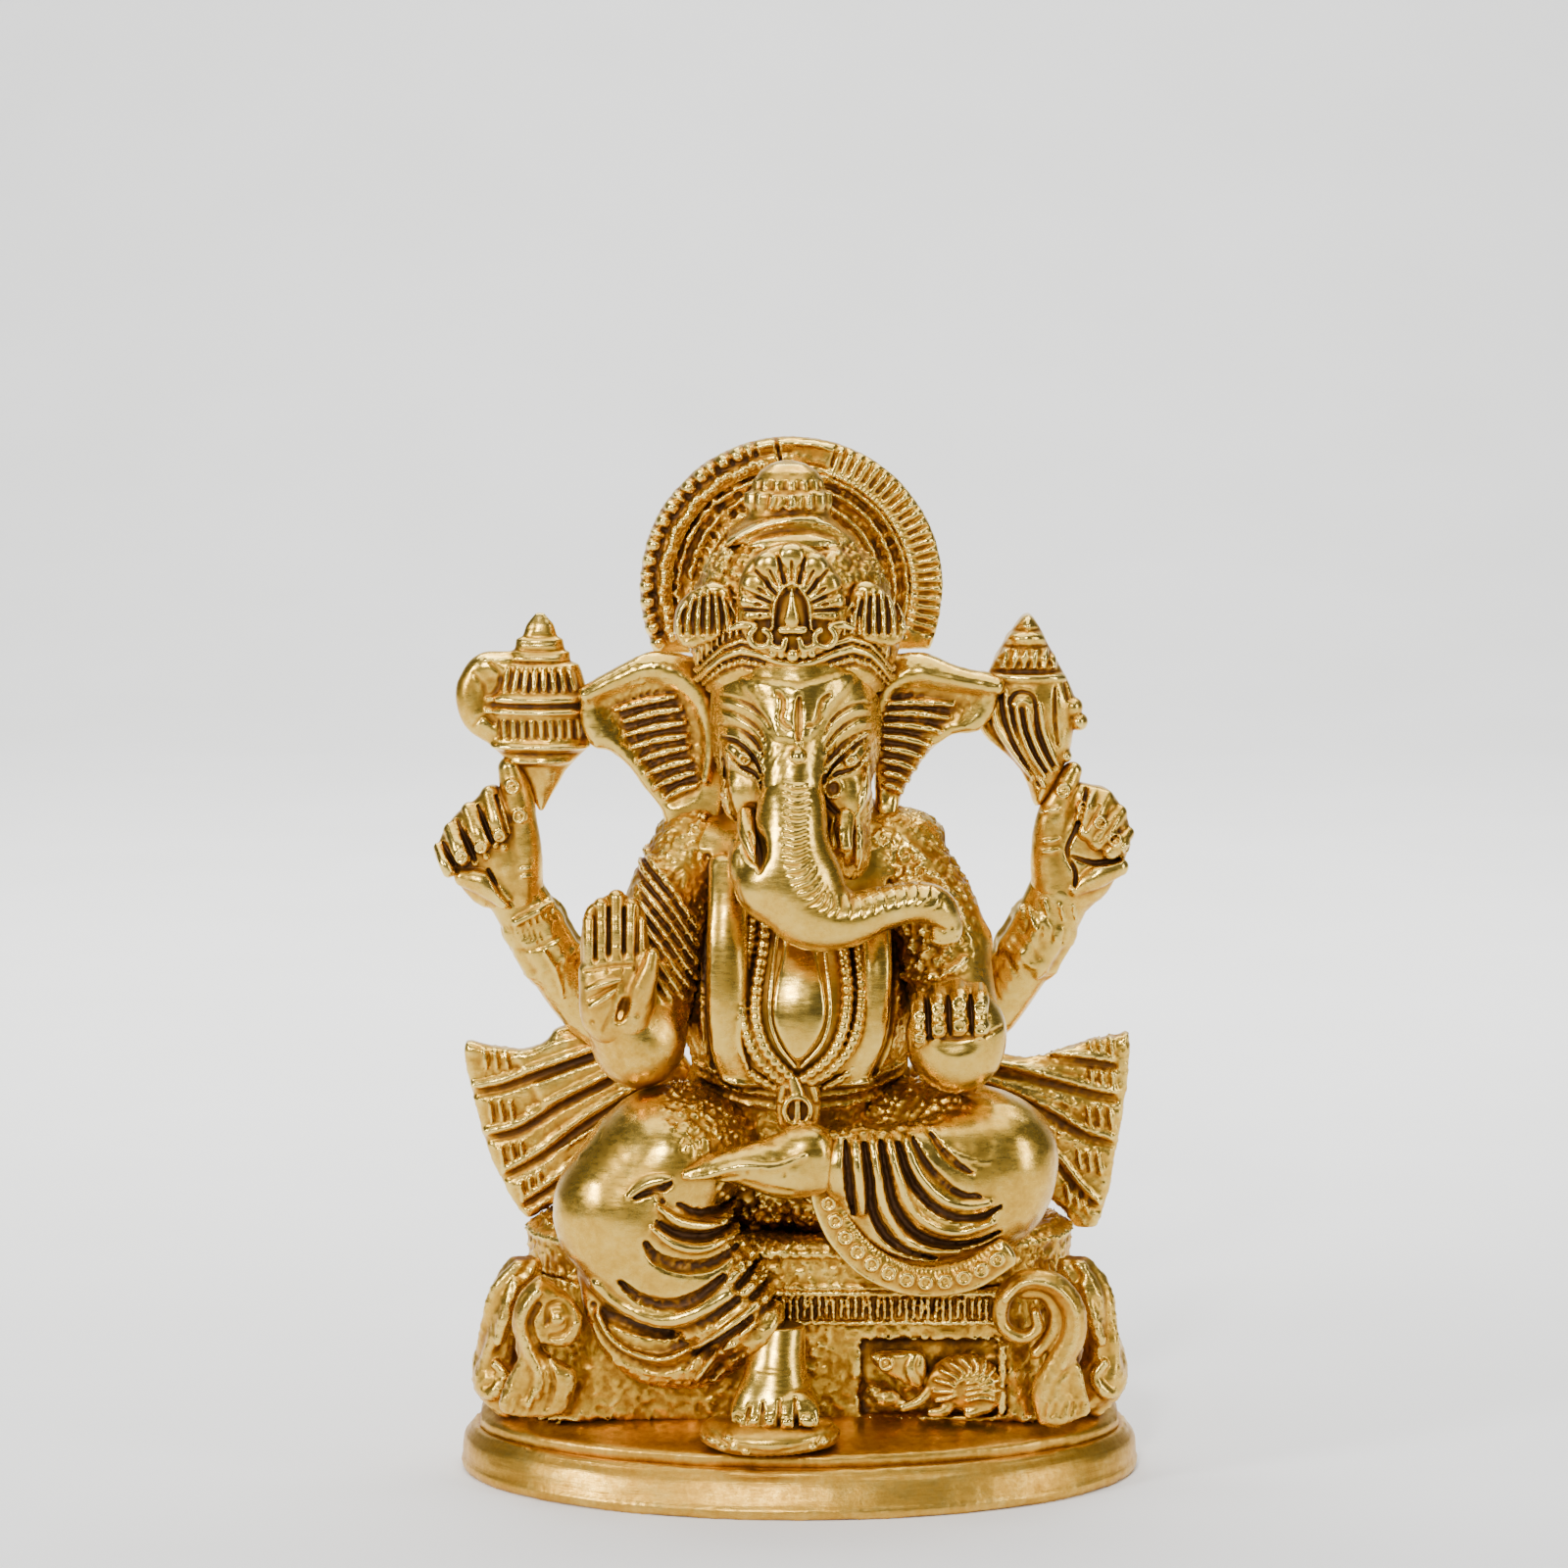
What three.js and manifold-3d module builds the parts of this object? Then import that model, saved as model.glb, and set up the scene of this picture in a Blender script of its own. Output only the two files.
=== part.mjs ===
// Seated Ganesha idol in cast brass, millimetres, +Z up, facing -Y.
// The origin is the middle of the foot of the oval base. "right" and "left" are the figure's own sides,
// so its right side lies towards -X.
import * as THREE from "three";
import { mergeVertices } from "three/addons/utils/BufferGeometryUtils.js";
import Module from "manifold-3d";

const wasm = await Module();
wasm.setup();

// Driving dimensions
const HEIGHT = 127; // foot of the base to the top of the halo
const BASE_HALF_WIDTH = 41.3;
const BASE_HALF_DEPTH = 26;
const BASE_HEIGHT = 5.2;
const STEP_TOP = 8.2;
const THRONE_TOP = 24.6;
const SEAT_TOP = 31;
const THRONE_HALF_WIDTH = 33.5;
const PANEL_Y = -12; // front face of the throne
const WALL = 4.5; // thickness of the cast walls round the hollow under the base
const HOLLOW_TOP = 20;
const HALO_RADIUS = 18.7;
const HALO_Y = 8; // middle of the halo's thickness
const HALO_CENTRE_Z = HEIGHT - HALO_RADIUS;
const HALO_X = -1;
const SIDE_SHIFT = 1.5; // brings the middle of the overall width over the origin
const GAP = 0.3; // clearance left between two touching pieces
const FINEST = 0.06; // facets smaller than this are merged into their neighbours

const BRASS = { color: 0xd9a441, roughness: 0.3, metalness: 1 };

// ---- shape helpers -------------------------------------------------------------------------------

// A closed three.js geometry as a manifold-3d solid.
function solid(geometry) {
  const bare = (geometry.index ? geometry.toNonIndexed() : geometry.clone());
  for (const name of Object.keys(bare.attributes)) {
    if (name !== "position") bare.deleteAttribute(name);
  }
  const merged = mergeVertices(bare, 1e-4);
  const corners = merged.index.array;
  const kept = [];
  for (let i = 0; i < corners.length; i += 3) {
    const [a, b, c] = [corners[i], corners[i + 1], corners[i + 2]];
    if (a !== b && b !== c && c !== a) kept.push(a, b, c);
  }
  return new wasm.Manifold(
    new wasm.Mesh({
      numProp: 3,
      vertProperties: merged.attributes.position.array,
      triVerts: new Uint32Array(kept),
    }),
  );
}

function moved(geometry, [x, y, z], [ax, ay, az] = [0, 0, 0]) {
  const turn = new THREE.Euler(
    THREE.MathUtils.degToRad(ax),
    THREE.MathUtils.degToRad(ay),
    THREE.MathUtils.degToRad(az),
  );
  geometry.applyMatrix4(new THREE.Matrix4().makeRotationFromEuler(turn));
  geometry.translate(x, y, z);
  return solid(geometry);
}

function ellipsoid(centre, radii, angles = [0, 0, 0], grow = 0, sides = 14) {
  const ball = new THREE.SphereGeometry(1, sides, Math.round(sides * 0.7));
  ball.rotateX(Math.PI / 2);
  ball.scale(...radii.map((r) => r + grow));
  return moved(ball, centre, angles);
}

function box(low, high, grow = 0) {
  const size = high.map((h, i) => h - low[i] + 2 * grow);
  const centre = high.map((h, i) => (h + low[i]) / 2);
  return moved(new THREE.BoxGeometry(...size), centre);
}

// A round-ended limb along a smooth curve. Each stop is [x, y, z, radius in the XZ plane, radius in depth].
function limb(stops, grow = 0, sides = 10, stepsPerStop = 2) {
  const curve = new THREE.CatmullRomCurve3(
    stops.map(([x, y, z]) => new THREE.Vector3(x, y, z)),
    false,
    "centripetal",
  );
  const spans = stops.length - 1;
  const steps = spans * stepsPerStop;
  const radiusAt = (t, k) => {
    const i = Math.min(spans - 1, Math.floor(t * spans));
    const along = t * spans - i;
    const blend = along * along * (3 - 2 * along);
    const of = (stop) => stop[3 + k] ?? stop[3];
    return THREE.MathUtils.lerp(of(stops[i]), of(stops[i + 1]), blend) + grow;
  };
  const rings = [];
  const addRing = (t, past, shrink) => {
    const middle = curve.getPoint(t);
    const along = curve.getTangent(t);
    const depth = new THREE.Vector3(0, 1, 0);
    if (Math.abs(along.y) > 0.95) depth.set(0, 0, 1);
    const across = new THREE.Vector3().crossVectors(along, depth).normalize();
    const inward = new THREE.Vector3().crossVectors(across, along).normalize();
    middle.addScaledVector(along, past);
    rings.push({ middle, across, inward, a: radiusAt(t, 0) * shrink, b: radiusAt(t, 1) * shrink });
  };
  const ends = [25, 60];
  for (const angle of ends) {
    const a = THREE.MathUtils.degToRad(angle);
    addRing(0, -radiusAt(0, 0) * Math.cos(a), Math.sin(a));
  }
  for (let i = 0; i <= steps; i++) addRing(i / steps, 0, 1);
  for (const angle of [...ends].reverse()) {
    const a = THREE.MathUtils.degToRad(angle);
    addRing(1, radiusAt(1, 0) * Math.cos(a), Math.sin(a));
  }
  const rows = rings.length - 1;
  const tube = new THREE.CylinderGeometry(1, 1, 1, sides, rows);
  const at = tube.attributes.position;
  for (let i = 0; i < at.count; i++) {
    const ring = rings[Math.round((at.getY(i) + 0.5) * rows)];
    const point = ring.middle
      .clone()
      .addScaledVector(ring.across, at.getX(i) * ring.a)
      .addScaledVector(ring.inward, at.getZ(i) * ring.b);
    at.setXYZ(i, point.x, point.y, point.z);
  }
  return solid(tube);
}

// A plate standing in the XZ plane, from an outline of [x, z] points, centred on depth y.
function plate(outline, y, thickness, grow = 0, smooth = true) {
  const points = outline.map(([x, z]) => new THREE.Vector2(x, z));
  const shape = new THREE.Shape();
  if (smooth) {
    const start = points[0].clone().add(points[points.length - 1]).multiplyScalar(0.5);
    shape.moveTo(start.x, start.y);
    points.forEach((p, i) => {
      const next = points[(i + 1) % points.length];
      const middle = p.clone().add(next).multiplyScalar(0.5);
      shape.quadraticCurveTo(p.x, p.y, middle.x, middle.y);
    });
  } else {
    shape.setFromPoints(points);
  }
  const bevel = Math.max(grow, 0.4);
  const slab = new THREE.ExtrudeGeometry(shape, {
    depth: thickness - 0.8 + 2 * grow - 2 * (bevel - 0.4),
    bevelEnabled: true,
    bevelThickness: bevel,
    bevelSize: grow > 0 ? grow : 0.4,
    bevelOffset: grow > 0 ? 0 : -0.4,
    bevelSegments: 1,
    curveSegments: smooth ? 2 : 1,
  });
  slab.computeBoundingBox();
  const span = slab.boundingBox;
  slab.translate(0, 0, -(span.min.z + span.max.z) / 2);
  slab.rotateX(Math.PI / 2); // the shape's up becomes +Z, its thickness lies along Y
  slab.translate(0, y, 0);
  return solid(slab);
}

// A turned solid about a vertical axis, squashed in depth. The profile is [radius, z] from the foot up.
function turned(profile, [x, y], depthShare = 1, grow = 0, sides = 28) {
  const low = profile[0][1];
  const high = profile[profile.length - 1][1];
  const points = profile.map(([r, z]) => {
    const lift = z === low ? -grow : z === high ? grow : 0;
    return new THREE.Vector2(r + (r > 0 ? grow : 0), z + lift);
  });
  if (points[0].x > 0) points.unshift(new THREE.Vector2(0, points[0].y));
  if (points[points.length - 1].x > 0) points.push(new THREE.Vector2(0, points[points.length - 1].y));
  const body = new THREE.LatheGeometry(points, sides);
  body.scale(1, 1, depthShare);
  body.rotateX(Math.PI / 2); // the lathe's own up is +Y
  body.translate(x, y, 0);
  return solid(body);
}

const union = (...solids) => solids.reduce((sum, next) => sum.add(next));

// ---- the pieces ----------------------------------------------------------------------------------
// Each is made by a function of "grow", so that the same shape, grown by GAP, can cut its neighbours.

const pieces = [];
function piece(name, make) {
  pieces.push({ name, make });
}

// The hollow that is open under the base, which leaves walls of an even thickness for casting.
function hollow(halfWidth, halfDepth, centreY, high) {
  return turned([[halfWidth, -HEIGHT], [halfWidth, high]], [0, centreY], halfDepth / halfWidth);
}
// Behind the throne's front panel the same hollow has a flat front wall.
function throneHollow(high) {
  const behindPanel = box([-50, PANEL_Y + WALL, -HEIGHT - 1], [50, 50, HEIGHT]);
  return hollow(THRONE_HALF_WIDTH - WALL, 14.2, 2.4, high).intersect(behindPanel);
}

piece("base_plate", (g) => {
  const w = BASE_HALF_WIDTH;
  const plateBody = turned(
    [[w - 0.6, 0], [w, 0.8], [w - 0.1, 2.4], [w - 1.4, 3.2], [w - 1.3, 4.4], [w - 2.2, BASE_HEIGHT]],
    [0, 0], BASE_HALF_DEPTH / BASE_HALF_WIDTH, g, 48);
  return plateBody.subtract(hollow(w - WALL - 1.5, BASE_HALF_DEPTH - WALL - 1.5, 0, HEIGHT));
});

piece("upper_step", (g) => {
  const step = turned(
    [[37.4, BASE_HEIGHT + GAP], [37.8, 6.4], [37.2, 7.2], [35, STEP_TOP]],
    [0, 0.6], 0.61, g, 40);
  return step.subtract(throneHollow(HEIGHT));
});

// The shape of the throne's flared sides, from the step to under the seat.
const throneCore = (g) =>
  turned(
    [[36.4, STEP_TOP + GAP], [35, 11.5], [33.8, 15.5], [33, 20], [THRONE_HALF_WIDTH, THRONE_TOP]],
    [0, 2.4], 0.56, g, 36,
  ).subtract(box([-50, -40, 0], [50, PANEL_Y - g, 60]));

piece("foot_cushion", (g) =>
  turned([[6.6, STEP_TOP + GAP], [8.2, 9.4], [8.1, 10.6], [6.4, 11.6]], [-4, -19.4], 0.68, g, 20));

piece("throne_block", (g) => {
  const core = throneCore(g);
  const niche = box([8.2, PANEL_Y - 3, 9.6], [25.2, PANEL_Y + 1, 18.4]);
  return core.subtract(throneHollow(HOLLOW_TOP)).subtract(niche);
});

piece("seat_slab", (g) =>
  turned([[THRONE_HALF_WIDTH - 0.8, THRONE_TOP + GAP], [THRONE_HALF_WIDTH - 0.2, 27.6], [31.6, SEAT_TOP]],
    [0, 2.4], 0.53, g, 32).subtract(box([-50, -40, 0], [50, PANEL_Y - 1.6 - g, 60])));

piece("dentil_moulding", (g) => {
  const y = PANEL_Y - GAP;
  const strip = box([-24, y - 0.9, 21.4], [24.6, y, 24.4], g);
  if (g > 0) return strip.add(box([-24, y - 2, 21.4], [24.6, y, 24.4], g));
  let body = strip;
  const teeth = 24;
  for (let i = 0; i < teeth; i++) {
    const x = -23.6 + (i * 47.2) / (teeth - 1);
    body = body.add(box([x - 0.5, y - 1.9, 21.7], [x + 0.5, y - 0.5, 24.1]));
  }
  return body;
});

// The cloth-wrapped hip, thigh, knee and shin of the leg that hangs down in front of the throne.
piece("right_leg_drape", (g) =>
  union(
    limb([[-9, -2, 41, 8.5, 9], [-17, -9, 42, 8.6, 8.5], [-24, -14, 40.2, 8.2, 8], [-21, -15.8, 33, 8, 6],
      [-12.5, -16.6, 25.5, 6.6, 4.6], [-6.4, -17.6, 20.5, 3.9, 3.6]], g, 12),
    limb([[-22.5, -13.2, 27, 4.6, 2.6], [-16.5, -13.4, 19.5, 5.2, 2.6], [-10.5, -13.8, 15, 4, 2.4]], g, 8),
  ));

piece("right_foot", (g) =>
  union(
    limb([[-5.2, -18.2, 18.4, 3.2, 3.2], [-3.9, -19.6, 14.6, 3.6, 3.4], [-3.4, -21.2, 12.6, 4.4, 2.2]], g, 10),
    ellipsoid([-3.6, -21.4, 12.2], [5, 2.6, 1.7], [0, 0, 0], g),
  ));

// The crossed leg: thigh, knee and shin under cloth, with the apron that falls over the seat's edge.
piece("left_leg_drape", (g) =>
  union(
    limb([[8, -1, 41, 8.5, 9], [18, -7, 42, 8.4, 8.6], [26.4, -11.4, 41.4, 7, 7.4], [20.5, -15, 39.6, 8, 5],
      [11, -17.4, 40.4, 6.8, 4.2], [5.4, -18.4, 42, 5, 3.6]], g, 12),
    limb([[8.6, -15.8, 36, 5.6, 2.6], [15.2, -15.4, 33.6, 6.4, 2.6], [22, -14, 34.4, 5.6, 2.6]], g, 8),
  ));

piece("left_foot", (g) =>
  limb([[0.4, -18.6, 42.4, 3.9, 3.4], [-3.4, -19.2, 42, 3.6, 3.2], [-8.4, -19.8, 42, 2.9, 2.6],
    [-12.4, -19.6, 41.8, 1.8, 1.8]], g, 10));

// The embroidered edge of the apron, a curved band round its lower side.
piece("hem_band", (g) =>
  limb([[3.4, -19.4, 43.4, 1.8, 1.5], [3.6, -19.2, 36.4, 2, 1.5], [7.2, -18.6, 31.2, 2.1, 1.5],
    [13.2, -18, 28.2, 2.2, 1.5], [19.6, -16.8, 27.8, 2.2, 1.5], [25, -15, 31, 2, 1.5]], g, 8));

piece("torso", (g) =>
  union(
    ellipsoid([0, -1.5, 58], [15.4, 14, 14.6], [0, 0, 0], g, 18),
    ellipsoid([0, 0.4, 71], [16.2, 10, 12], [0, 0, 0], g, 16),
    ellipsoid([0, 1, 45], [15.5, 11.5, 10], [0, 0, 0], g, 16),
  ));

piece("waist_cloth", (g) => {
  const ring = turned([[18.2, 38.6], [18.4, 42], [17.2, 46.4]], [0, 0.6], 0.78, g, 24);
  return ring.subtract(box([-30, -30, 30], [30, -3 - g, 60]));
});

// A belly chain in two loops and the drop that hangs at its point.
piece("necklace", (g) => {
  const side = (s) =>
    limb([[4.6 * s, -13.4, 71], [5.4 * s, -15.4, 66], [7.2 * s, -16.4, 60.4], [5.6 * s, -16.2, 54.6], [0.6 * s, -15.6, 51]]
      .map(([x, y, z]) => [x, y, z, 1.3, 1]), g, 8);
  return side(-1).add(side(1));
});

piece("belly_jewel", (g) =>
  limb([[0, -15.6, 68.4, 1.6, 1], [0, -16.6, 62, 3.2, 1.2], [0, -16.6, 57.4, 2.6, 1.2], [0, -16.2, 54, 1, 0.9]], g, 10));

piece("pendant_ring", (g) => ellipsoid([-0.4, -15.6, 48], [1.7, 1, 1.8], [0, 0, 0], g, 10));

piece("right_front_arm", (g) =>
  limb([[-12.6, 0, 78, 5.2, 5.4], [-16.4, -3, 70, 5.8, 5.6], [-18.8, -6.6, 60, 5.4, 5], [-19.4, -9.6, 53.6, 5, 4.8],
    [-21, -12, 56.4, 3.8, 3.6]], g, 12));

// The raised hand with its open palm.
piece("right_front_hand", (g) =>
  union(
    limb([[-20.9, -13.4, 58, 3.6, 2.9], [-21.6, -14.2, 63, 4.3, 2.7], [-22.1, -14, 68, 4, 1.9], [-22.1, -13.6, 73, 3.2, 1.5]], g, 10),
    limb([[-18.8, -14.4, 61, 1.9, 1.8], [-17.5, -15, 65.2, 1.7, 1.6], [-17.2, -15.1, 68, 1.3, 1.3]], g, 8),
  ));

piece("left_front_arm", (g) =>
  limb([[11.6, 0, 78, 5, 5.4], [15.4, -3, 71, 5.8, 5.6], [18.4, -6, 62.6, 5.6, 5.4], [19.4, -9.8, 57.6, 4.6, 4.6]], g, 12));

// The fist that rests on the knee, closed round a sweet.
piece("left_front_hand", (g) => ellipsoid([18.8, -14.4, 56.8], [6.2, 5, 6.3], [0, 0, 0], g, 16));

piece("right_rear_arm", (g) =>
  limb([[-13.6, 4.4, 62, 5.4, 4.4], [-20.6, 4.6, 55.4, 5.2, 4], [-25.6, 4, 58.2, 3.8, 3.4], [-30.4, 3, 65.4, 3.5, 3.2],
    [-34.2, 2.4, 72, 3.4, 3]], g, 12));

piece("left_rear_arm", (g) =>
  limb([[13, 4.4, 62, 5.4, 4.4], [18.6, 4.6, 55.2, 5.2, 4], [23, 4, 57.6, 3.8, 3.4], [27.4, 3, 64.6, 3.5, 3.2],
    [31, 2.4, 71.4, 3.5, 3]], g, 12));

// A closed hand with a pointing finger that steadies what it carries.
function rearHand(s, x, g) {
  return union(
    limb([[x - 2 * s, 2.2, 70.6, 3.3, 2.8], [x - 1.4 * s, 2, 74.6, 3.6, 3], [x, 1.6, 79.4, 5, 3.4], [x + 0.8 * s, 1.2, 81.4, 4, 3.2]], g, 10),
    limb([[x - 4.6 * s, 1.8, 77, 2.2, 1.9], [x - 5.2 * s, 1.4, 82, 2, 1.7], [x - 5.2 * s, 1.2, 87.6, 1.6, 1.4]], g, 8),
  );
}
piece("right_rear_hand", (g) => rearHand(-1, -39.65, g));
piece("left_rear_hand", (g) => rearHand(1, 36, g));

piece("axe_head", (g) =>
  union(
    turned([[1.4, 83.6], [2.6, 87.4], [4.6, 90.6], [5.9, 94], [5.9, 97], [3.6, 99.8], [3.4, 101.6], [1.4, 104.4], [0, 105.6]],
      [-31.4, 2], 0.62, g, 16),
    limb([[-36.4, 2, 99.2, 2, 1.6], [-38.8, 2, 96.6, 2.3, 1.7], [-37.6, 2, 93, 2.2, 1.6]], g, 8),
  ));

piece("conch_shell", (g) =>
  union(
    turned([[1.2, 83.6], [2.2, 87.4], [4.2, 91.6], [6.2, 95.6], [6, 98], [4, 100.8], [2, 103.4], [0, 105.4]],
      [27.8, 2], 0.66, g, 16),
    limb([[32.2, 2, 96.4, 1.5, 1.4], [33, 2, 94.2, 1.5, 1.4], [31.8, 2, 91.8, 1.3, 1.3]], g, 8),
  ));

// The pleated ends of the waist sash, spread like fans on each side of the hips.
piece("right_sash_fan", (g) =>
  plate([[-41.2, 52.4], [-34, 50.6], [-27, 52.6], [-18, 52.6], [-12.6, 46], [-20, 38.4], [-33.4, 30.6], [-37.4, 32], [-39.6, 41]],
    6.6, 3.4, g));
piece("left_sash_fan", (g) =>
  plate([[40.8, 52.6], [33.4, 50.8], [26, 50.6], [18, 52], [12.6, 46], [20, 37], [34, 29.6], [38, 31], [39.8, 41]],
    6.6, 3.4, g));

piece("head", (g) =>
  union(
    ellipsoid([0, -5, 92], [10.6, 10.4, 11.4], [0, 0, 0], g, 18),
    ellipsoid([-5.6, -9, 82.6], [4.4, 6, 6.6], [0, 8, 0], g, 12),
    ellipsoid([5.6, -9, 82.6], [4.4, 6, 6.6], [0, -8, 0], g, 12),
  ));

piece("trunk", (g) =>
  limb([[-0.2, -13.6, 92, 4.6, 3], [-0.6, -15.4, 86, 5.2, 4.2], [-1.2, -17, 79, 5.6, 4.6], [-0.4, -18.4, 73.6, 5.6, 4.4],
    [4.6, -19.2, 71.6, 4.4, 4], [10.2, -19, 72.8, 3.5, 3.4], [15.6, -18, 73.2, 3, 3], [18.6, -17, 69.6, 2.2, 2.2]], g, 12));

piece("right_tusk", (g) => limb([[-7.4, -12.6, 82.4, 1.4], [-8, -15.2, 80, 1.2], [-7.6, -17.2, 77.4, 0.8]], g, 8));
piece("left_tusk", (g) => limb([[6.6, -12.6, 82.4, 1.5], [6.9, -15.4, 80.8, 1.3]], g, 8));

piece("right_ear", (g) =>
  plate([[-9.6, 99.6], [-14, 101.4], [-19.6, 100.4], [-26.6, 97.4], [-26, 92], [-21.6, 90.6], [-17.4, 84], [-13.8, 77.6], [-9, 80]],
    -0.8, 3.6, g));
piece("left_ear", (g) =>
  plate([[9.8, 99.6], [13, 101], [18, 99.6], [24, 98.4], [24, 92.4], [18.6, 91.2], [15, 86], [12.4, 77.6], [9, 80]],
    -0.8, 3.6, g));

piece("tiara_band", (g) => {
  const w = 13;
  return turned([[w - 0.6, 97.6], [w, 99], [w + 0.2, 102], [w + 0.6, 105], [w - 0.8, 107.4]], [-0.6, -4], 0.76, g, 24);
});
piece("crown_dome", (g) =>
  turned([[11.6, 107.4 + GAP], [11.4, 110], [9.6, 113], [7.8, 115]], [-0.8, -3.4], 0.78, g, 20));
piece("crown_finial", (g) =>
  turned([[6, 115 + GAP], [6.2, 117.4], [4.8, 118.6], [4.6, 121], [3, 123.6], [0, 124.8]], [-1, -2.6], 0.84, g, 16));
piece("tiara_plaque", (g) =>
  limb([[-0.8, -15, 102.2, 4.8, 1.3], [-0.8, -14.8, 106.6, 5.6, 1.4], [-0.8, -13.8, 110.4, 3.8, 1.3]], g, 12));
piece("right_tiara_crest", (g) => ellipsoid([-9.4, -9.8, 106.4], [3.4, 2.2, 3.8], [0, 0, -35], g, 10));
piece("left_tiara_crest", (g) => ellipsoid([7.8, -9.8, 106.4], [3.4, 2.2, 3.8], [0, 0, 35], g, 10));

// The halo: a plain disc behind the crown, and its raised ribbed rim.
function haloOutline(radius, foot) {
  const points = [];
  const arcSteps = 26;
  for (let i = 0; i <= arcSteps; i++) {
    const a = Math.PI * (i / arcSteps);
    points.push([HALO_X + radius * Math.cos(a), HALO_CENTRE_Z + radius * Math.sin(a)]);
  }
  points.push([HALO_X - radius * 0.98, foot]);
  points.push([HALO_X + radius * 0.98, foot]);
  return points;
}
piece("halo_plate", (g) => plate(haloOutline(HALO_RADIUS - 3.9, 92), HALO_Y + 0.6, 2.4, g, false));
piece("halo_rim", (g) => {
  const outer = plate(haloOutline(HALO_RADIUS, 100.4), HALO_Y, 3.6, g, false);
  const inner = plate(haloOutline(HALO_RADIUS - 3.6, 80), HALO_Y, 9, 0, false);
  return outer.subtract(inner);
});

piece("right_throne_scroll", (g) =>
  limb([[-25.4, -14.2, 20.4], [-26.2, -14.2, 23.8], [-30, -14.2, 25.6], [-33, -14, 22], [-31.4, -14, 17], [-27.6, -14.2, 14],
    [-28, -14.2, 10.8], [-31.6, -14, 10.2]].map(([x, y, z]) => [x, y, z, 1.9, 1.6]), g, 8));
piece("left_throne_scroll", (g) =>
  limb([[27.8, -14.2, 19.4], [26.2, -14.2, 22.6], [28.8, -14.2, 25.4], [32.4, -14, 23.6], [33, -14, 18.6], [31.2, -14, 14],
    [31.6, -14, 10.4]].map(([x, y, z]) => [x, y, z, 1.9, 1.6]), g, 8));

// A swelling curl in relief on each end of the throne.
const endCurl = (s, g) =>
  limb([[34.6 * s, -4, 11.4, 2.2, 2.6], [36.2 * s, -6, 15, 2.8, 3], [36.6 * s, -7, 19.6, 3, 3.2],
    [35.4 * s, -6.6, 23.4, 2.4, 2.6], [33.4 * s, -4.6, 24, 1.8, 2]], g, 10);
piece("right_end_curl", (g) => endCurl(-1, g));
piece("left_end_curl", (g) => endCurl(1, g));

piece("mouse", (g) =>
  union(
    ellipsoid([20.4, -12.8, 13.4], [4, 2.2, 3.8], [0, 0, 0], g, 12),
    ellipsoid([12.8, -13.2, 15.2], [3.2, 1.8, 2], [0, 25, 0], g, 10),
    ellipsoid([15.6, -12.8, 12], [4.4, 1.7, 2.2], [0, 0, 0], g, 10),
  ));
piece("mouse_sweet", (g) => ellipsoid([10.6, -13.4, 11], [1.9, 1.3, 1.6], [0, 0, 0], g, 8));

// ---- assembly ------------------------------------------------------------------------------------

function biggestBody(shape) {
  const bodies = shape.decompose();
  return bodies.reduce((best, next) => (next.volume() > best.volume() ? next : best));
}

function touches(a, b) {
  const [p, q] = [a.boundingBox(), b.boundingBox()];
  return [0, 1, 2].every((k) => p.min[k] <= q.max[k] && q.min[k] <= p.max[k]);
}

function toGeometry(shape) {
  const mesh = shape.getMesh();
  const points = new Float32Array(mesh.numVert * 3);
  for (let i = 0; i < mesh.numVert; i++) {
    points.set(mesh.vertProperties.subarray(i * mesh.numProp, i * mesh.numProp + 3), i * 3);
  }
  return new THREE.BufferGeometry()
    .setAttribute("position", new THREE.BufferAttribute(points, 3))
    .setIndex(new THREE.BufferAttribute(mesh.triVerts, 1));
}

const idol = new THREE.Group();
const grown = [];
for (const { name, make } of pieces) {
  let shape = make(0);
  for (const cutter of grown) {
    if (touches(shape, cutter)) shape = shape.subtract(cutter);
  }
  const geometry = toGeometry(biggestBody(shape).simplify(FINEST));
  const mesh = new THREE.Mesh(geometry, new THREE.MeshStandardMaterial(BRASS));
  mesh.name = name;
  idol.add(mesh);
  grown.push(make(GAP));
}

idol.position.x = SIDE_SHIFT;

export default idol;
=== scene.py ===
"""Looks of the seated Ganesha idol: one lost-wax casting in brass, chased, matted and polished by hand."""
import math

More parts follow.
